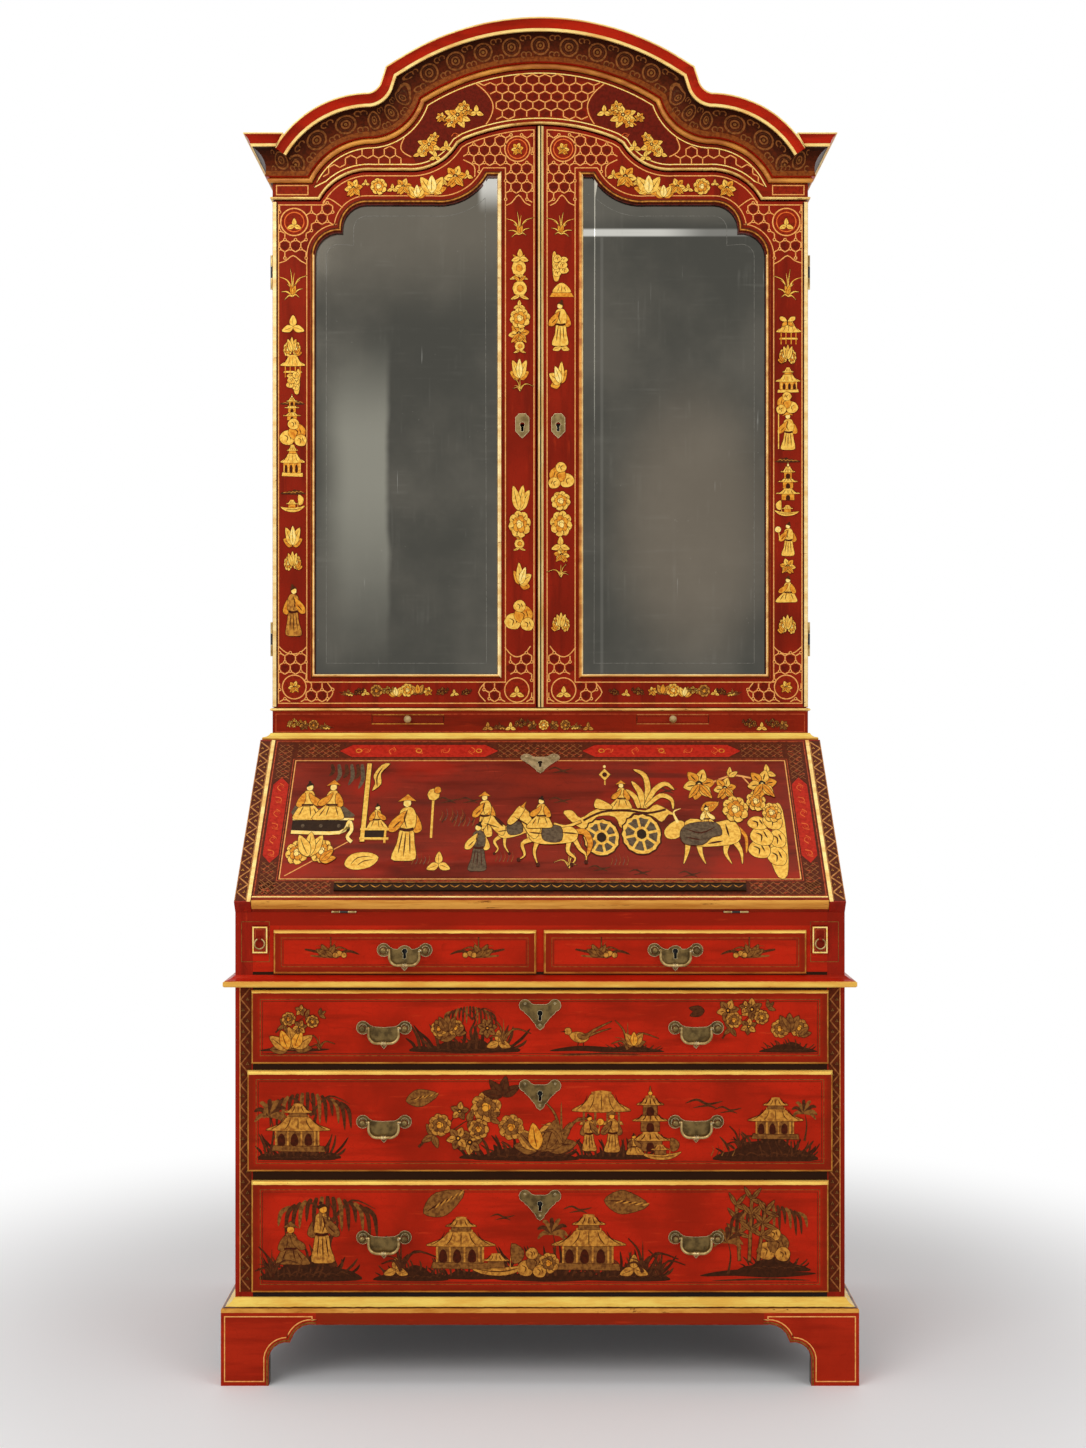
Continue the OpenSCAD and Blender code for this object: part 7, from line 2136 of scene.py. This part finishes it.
def dress_frame():
    inside_wood = wood("oak_inside")
    upright_wood = wood("oak_upright", stretch=(1, 1, 0.06), seams=("X", 134))
    bottom_shade = shade("dark_recess", srgb(30, 10, 5), srgb(20, 7, 3))
    dress(PAINTS["scarlet_upright"], "bureau_sides")
    dress(PAINTS["crimson_upright"], "cabinet_sides", "door_frame_left", "door_frame_right")
    dress(PAINTS["crimson"], "cabinet_base", "frieze_board")
    dress(lacquer("rail_lacquer", srgb(154, 26, 12), SCARLET_DEEP, SCARLET_LIGHT), "writing_board")
    dress(PAINTS["scarlet"], "desk_top", "support_partitions", "pigeonhole_nest")
    dress(PAINTS["crimson_upright"], "fall_support_left", "fall_support_right")
    # Painted shade: the bottom board in near black, for the shadow line between the lowest drawer and the base moulding
    dress(bottom_shade, "bureau_bottom")
    dress(foot_finish(), "bracket_feet")
    c, s = math.cos(FALL_ANGLE), math.sin(FALL_ANGLE)
    hinge = HINGE_Y * c + WRITING_Z * s
    front = HINGE_Y * s - WRITING_Z * c - FALL_T
    dress(banded("fall_bands", (0, c, s), [(hinge + 5, "orange"), (0, "crimson")], (0.08, 1, 1),
                 beyond=((0, s, -c), front + 15.5, "crimson")), "fall_board")
    dress(banded("slide_bands", "Y", [(CAB_Y - 1, "brass"), (0, "crimson")], wander=0), "candle_slide_left",
          "candle_slide_right")
    # Painted shade: below the short drawers the dividers' fronts are black, for the shadowed gaps between the lipped
    # drawers
    rail = high("short_drawer_left").z - 4
    dress(banded("divider_bands", "Z", [(rail, "black"), (0, "red")], wander=0), "drawer_dividers")
    dress(wood("oak_back", seams=("Z", 150)), "bureau_back")
    dress(inside_wood, "cabinet_shelves", "cabinet_roof")
    dress(wood("oak_drawers", stretch=(0.5, 0.06, 1)), "long_drawer_box_1", "long_drawer_box_2", "long_drawer_box_3")
    dress(upright_wood, "cabinet_back", "door_backing_left", "door_backing_right")
    for n in (1, 2, 3):
        dress(drawer_lacquer(f"drawer_lacquer_{n}", f"long_drawer_front_{n}", 4.4 if n == 1 else 6.2),
              f"long_drawer_front_{n}")
    for name in ("left", "right"):
        dress(drawer_lacquer(f"short_drawer_lacquer_{name}", f"short_drawer_{name}", 4.6), f"short_drawer_{name}")
    waist = low("waist_moulding").z
    dress(banded("waist_bands", "Z", [(waist + 9.2, "gold"), (0, "red")]), "waist_moulding")
    # Painted light and shade on the gilt base moulding: bright yellow gold on its upper part, a thin brown shadow line
    # at the fillet and darker orange gold below it; red under the gold
    foot = low("bracket_feet").z + 116
    dress(banded("base_bands", "Z", [(foot, "dull_red"), (foot + 6.6, "orange"), (foot + 8, "brown"), (0, "yellow")]), "base_moulding")
    dress(banded("desk_top_bands", "Z", [(DESK_Z + 2.4, "deep_gold"), (0, "yellow")]), "desk_top_moulding")
    # Painted light and shade on the meeting astragal: cream where its rounded faces catch the light, brown on its
    # flanks and a black stripe of painted shadow at the gap
    dress(banded("astragal_bands", "X", [(-3.7, "brown"), (-0.4, "cream"), (2.0, "black"), (8.1, "cream"), (0, "brown")],
                 (1, 1, 0.25), 0.6), "meeting_astragal")
    plates = brass("old_brass", deep=((0, 1, 0), low("long_drawer_front_1").y + 3))
    dress(plates, "long_drawer_brasses_1", "long_drawer_brasses_2", "long_drawer_brasses_3",
          "short_drawer_brasses_left", "short_drawer_brasses_right")
    dress(brass("door_brass", srgb(104, 84, 48), srgb(150, 128, 82), rim=1.2, deep=((0, 1, 0), CAB_Y + 3)),
          "door_brasses_left", "door_brasses_right")
    edge = (HINGE_Y * s - WRITING_Z * c) - FALL_T + 3
    dress(brass("fall_brass", srgb(128, 108, 70), srgb(178, 160, 118), deep=((0, s, -c), edge)), "fall_brasses")
    bails = brass("worn_brass", srgb(134, 104, 56), srgb(192, 164, 106), srgb(252, 238, 192), 1.2)
    dress(bails, "hinge_pins", "support_ring_left", "support_ring_right",
          *(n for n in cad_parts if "bail" in n))


def make_book_rest():
    """A rounded ledge with carved, gilded leaves on black"""
    a, b = low("book_rest"), high("book_rest")
    place = slope_face(FALL_T)
    mesh = Mesh()
    up, width, thick = 24, 20, 5.4
    black, gold = PAINTS["black"], PAINTS["bronze"]
    section = [(0, 0), (0.4, 3.2), (2, 4.6), (5, 5.3), (9, 5.4), (12, 5.0), (13, 3.6), (14, 3.4), (15, 4.6),
               (17.5, 4.9), (19.4, 3.2), (20, 0)]
    n = 120
    rows = []
    for i in range(n + 1):
        x = -REST_HW + 2 * REST_HW * i / n
        wave = 0.55 + 0.45 * math.cos(2 * math.pi * i / 4)
        rows.append(mesh.add([place(complex(x, up + u), v * (1 if v < 3.4 or u > 12.5 else 0.86 + 0.14 * wave))
                              for u, v in section]))
    for row, after in zip(rows, rows[1:]):
        for j in range(len(section) - 1):
            mesh.face([row[j], row[j + 1], after[j + 1], after[j]], gold if j == 8 else black)
        mesh.face([row[-1], row[0], after[0], after[-1]], black)
    for row in (rows[0], rows[-1]):
        mesh.face(row, black)
    piece = mesh.make("book_rest_carved", "fall", "dark_lacquer")
    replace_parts(piece, "book_rest")
    panel = Panel(slope_face(FALL_T + 5.35), 0.05)
    for i in range(36):
        x = -REST_HW + 12 + (2 * REST_HW - 24) * i / 35
        for lean in (-1, 1):
            outline = ribbon([complex(x, up + 4), complex(x + lean * 4, up + 6.5), complex(x + lean * 8, up + 10)],
                             1.9, COMMA)
            panel.slab(outline, PAINTS["old_gold"], 0.25)
            if i % 2:
                outline = ribbon([complex(x, up + 15), complex(x + lean * 6, up + 17), complex(x + lean * 12, up + 15.5)],
                                 1.1, SPINDLE)
                panel.slab(outline, PAINTS["red_line"], 0.2)
    panel.make("book_rest_leaves", "fall")


def make_strips():
    """A thin gilt line over the fall's rounded lower edge"""
    panel = Panel(slope_face(FALL_T), 0.1)
    hw = FALL_HW
    panel.slab(rect(-hw + 0.4, hw - 0.4, 10.4, 13), GILT_PALE, 0.35)
    panel.make("fall_edge_gilt", "fall")


def build_stage():
    camera = bpy.data.objects.new("camera", bpy.data.cameras.new("camera"))
    bpy.context.scene.collection.objects.link(camera)
    camera.location = (0.0048, -3.4706, 1.0524)
    camera.rotation_euler = (math.pi / 2, 0, 0)
    camera.data.sensor_fit = "VERTICAL"
    camera.data.sensor_height = 36
    camera.data.lens = 36 * 2000 / 1448
    bpy.context.scene.camera = camera

    def soft_light(name, place, aim, size, power):
        data = bpy.data.lights.new(name, "AREA")
        data.shape = "RECTANGLE"
        data.size, data.size_y = size
        data.energy = power
        lamp = bpy.data.objects.new(name, data)
        bpy.context.scene.collection.objects.link(lamp)
        lamp.location = place
        lamp.rotation_euler = (Vector(aim) - Vector(place)).to_track_quat("-Z", "Y").to_euler()

    soft_light("key", (-2.2, -3.6, 3.4), (0, 0, 1.0), (2.4, 2.4), 62)
    soft_light("fill", (2.6, -3.4, 2.2), (0, 0, 1.1), (2.0, 3.0), 26)
    soft_light("top", (0, -0.4, 4.2), (0, 0, 1.0), (3.0, 2.0), 22)

    world = bpy.data.worlds.new("studio")
    bpy.context.scene.world = world
    world.use_nodes = True
    nodes, links = world.node_tree.nodes, world.node_tree.links
    background = nodes["Background"]
    path = nodes.new("ShaderNodeLightPath")
    seen = nodes.new("ShaderNodeMath")
    seen.operation = "MAXIMUM"
    links.new(path.outputs["Is Camera Ray"], seen.inputs[0])
    links.new(path.outputs["Is Glossy Ray"], seen.inputs[1])
    also = nodes.new("ShaderNodeMath")
    also.operation = "MAXIMUM"
    links.new(seen.outputs[0], also.inputs[0])
    links.new(path.outputs["Is Transmission Ray"], also.inputs[1])
    level = nodes.new("ShaderNodeMapRange")
    level.inputs["To Min"].default_value = 0.5
    level.inputs["To Max"].default_value = 1.0
    links.new(also.outputs[0], level.inputs["Value"])
    links.new(level.outputs[0], background.inputs["Strength"])
    background.inputs["Color"].default_value = (1, 1, 1, 1)

    mesh = Mesh()
    span, across, n = 4200, 4200, 8
    grid = [mesh.add([(-across + 2 * across * i / n, -span + 2 * span * j / n, 0) for i in range(n + 1)])
            for j in range(n + 1)]
    floor_material = bpy.data.materials.new("pale_floor")
    floor_material.use_nodes = True
    tree = floor_material.node_tree
    shader = tree.nodes["Principled BSDF"]
    shader.inputs["Base Color"].default_value = (0.93, 0.93, 0.93, 1)
    shader.inputs["Roughness"].default_value = 0.7
    shader.inputs["Specular IOR Level"].default_value = 0.2
    emit = tree.nodes.new("ShaderNodeEmission")
    mixer = tree.nodes.new("ShaderNodeMixShader")
    place = tree.nodes.new("ShaderNodeTexCoord")
    away = tree.nodes.new("ShaderNodeVectorMath")
    away.operation = "LENGTH"
    fade = tree.nodes.new("ShaderNodeMapRange")
    fade.interpolation_type = "SMOOTHSTEP"
    fade.inputs["From Min"].default_value = 0.75
    fade.inputs["From Max"].default_value = 1.7
    seen = tree.nodes.new("ShaderNodeLightPath")
    only = tree.nodes.new("ShaderNodeMath")
    only.operation = "MULTIPLY"
    tree.links.new(place.outputs["Object"], away.inputs[0])
    tree.links.new(away.outputs["Value"], fade.inputs["Value"])
    tree.links.new(fade.outputs["Result"], only.inputs[0])
    tree.links.new(seen.outputs["Is Camera Ray"], only.inputs[1])
    tree.links.new(only.outputs[0], mixer.inputs[0])
    tree.links.new(shader.outputs[0], mixer.inputs[1])
    tree.links.new(emit.outputs[0], mixer.inputs[2])
    tree.links.new(mixer.outputs[0], tree.nodes["Material Output"].inputs["Surface"])
    data = bpy.data.meshes.new("floor")
    for row, after in zip(grid, grid[1:]):
        mesh.ring(row, after, floor_material, closed=False)
    data.from_pydata([p * MM for p in mesh.points], [], mesh.faces)
    data.materials.append(floor_material)
    floor = bpy.data.objects.new("floor", data)
    bpy.context.scene.collection.objects.link(floor)
    bpy.context.scene.view_settings.view_transform = "Standard"


build_stage()
dress_frame()
make_cornice()
make_beads()
for door_side, door_name in ((-1, "left"), (1, "right")):
    make_door_parts(door_side, door_name)
make_book_rest()
make_strips()
paint_fall()
paint_facings()
paint_posts()
paint_drawer_1()
paint_drawer_2()
paint_drawer_3()
paint_short_drawers()
paint_supports()
paint_doors()
paint_frieze()
paint_cove()
paint_feet()
paint_base_and_rail()
paint_sides()
paint_inside()
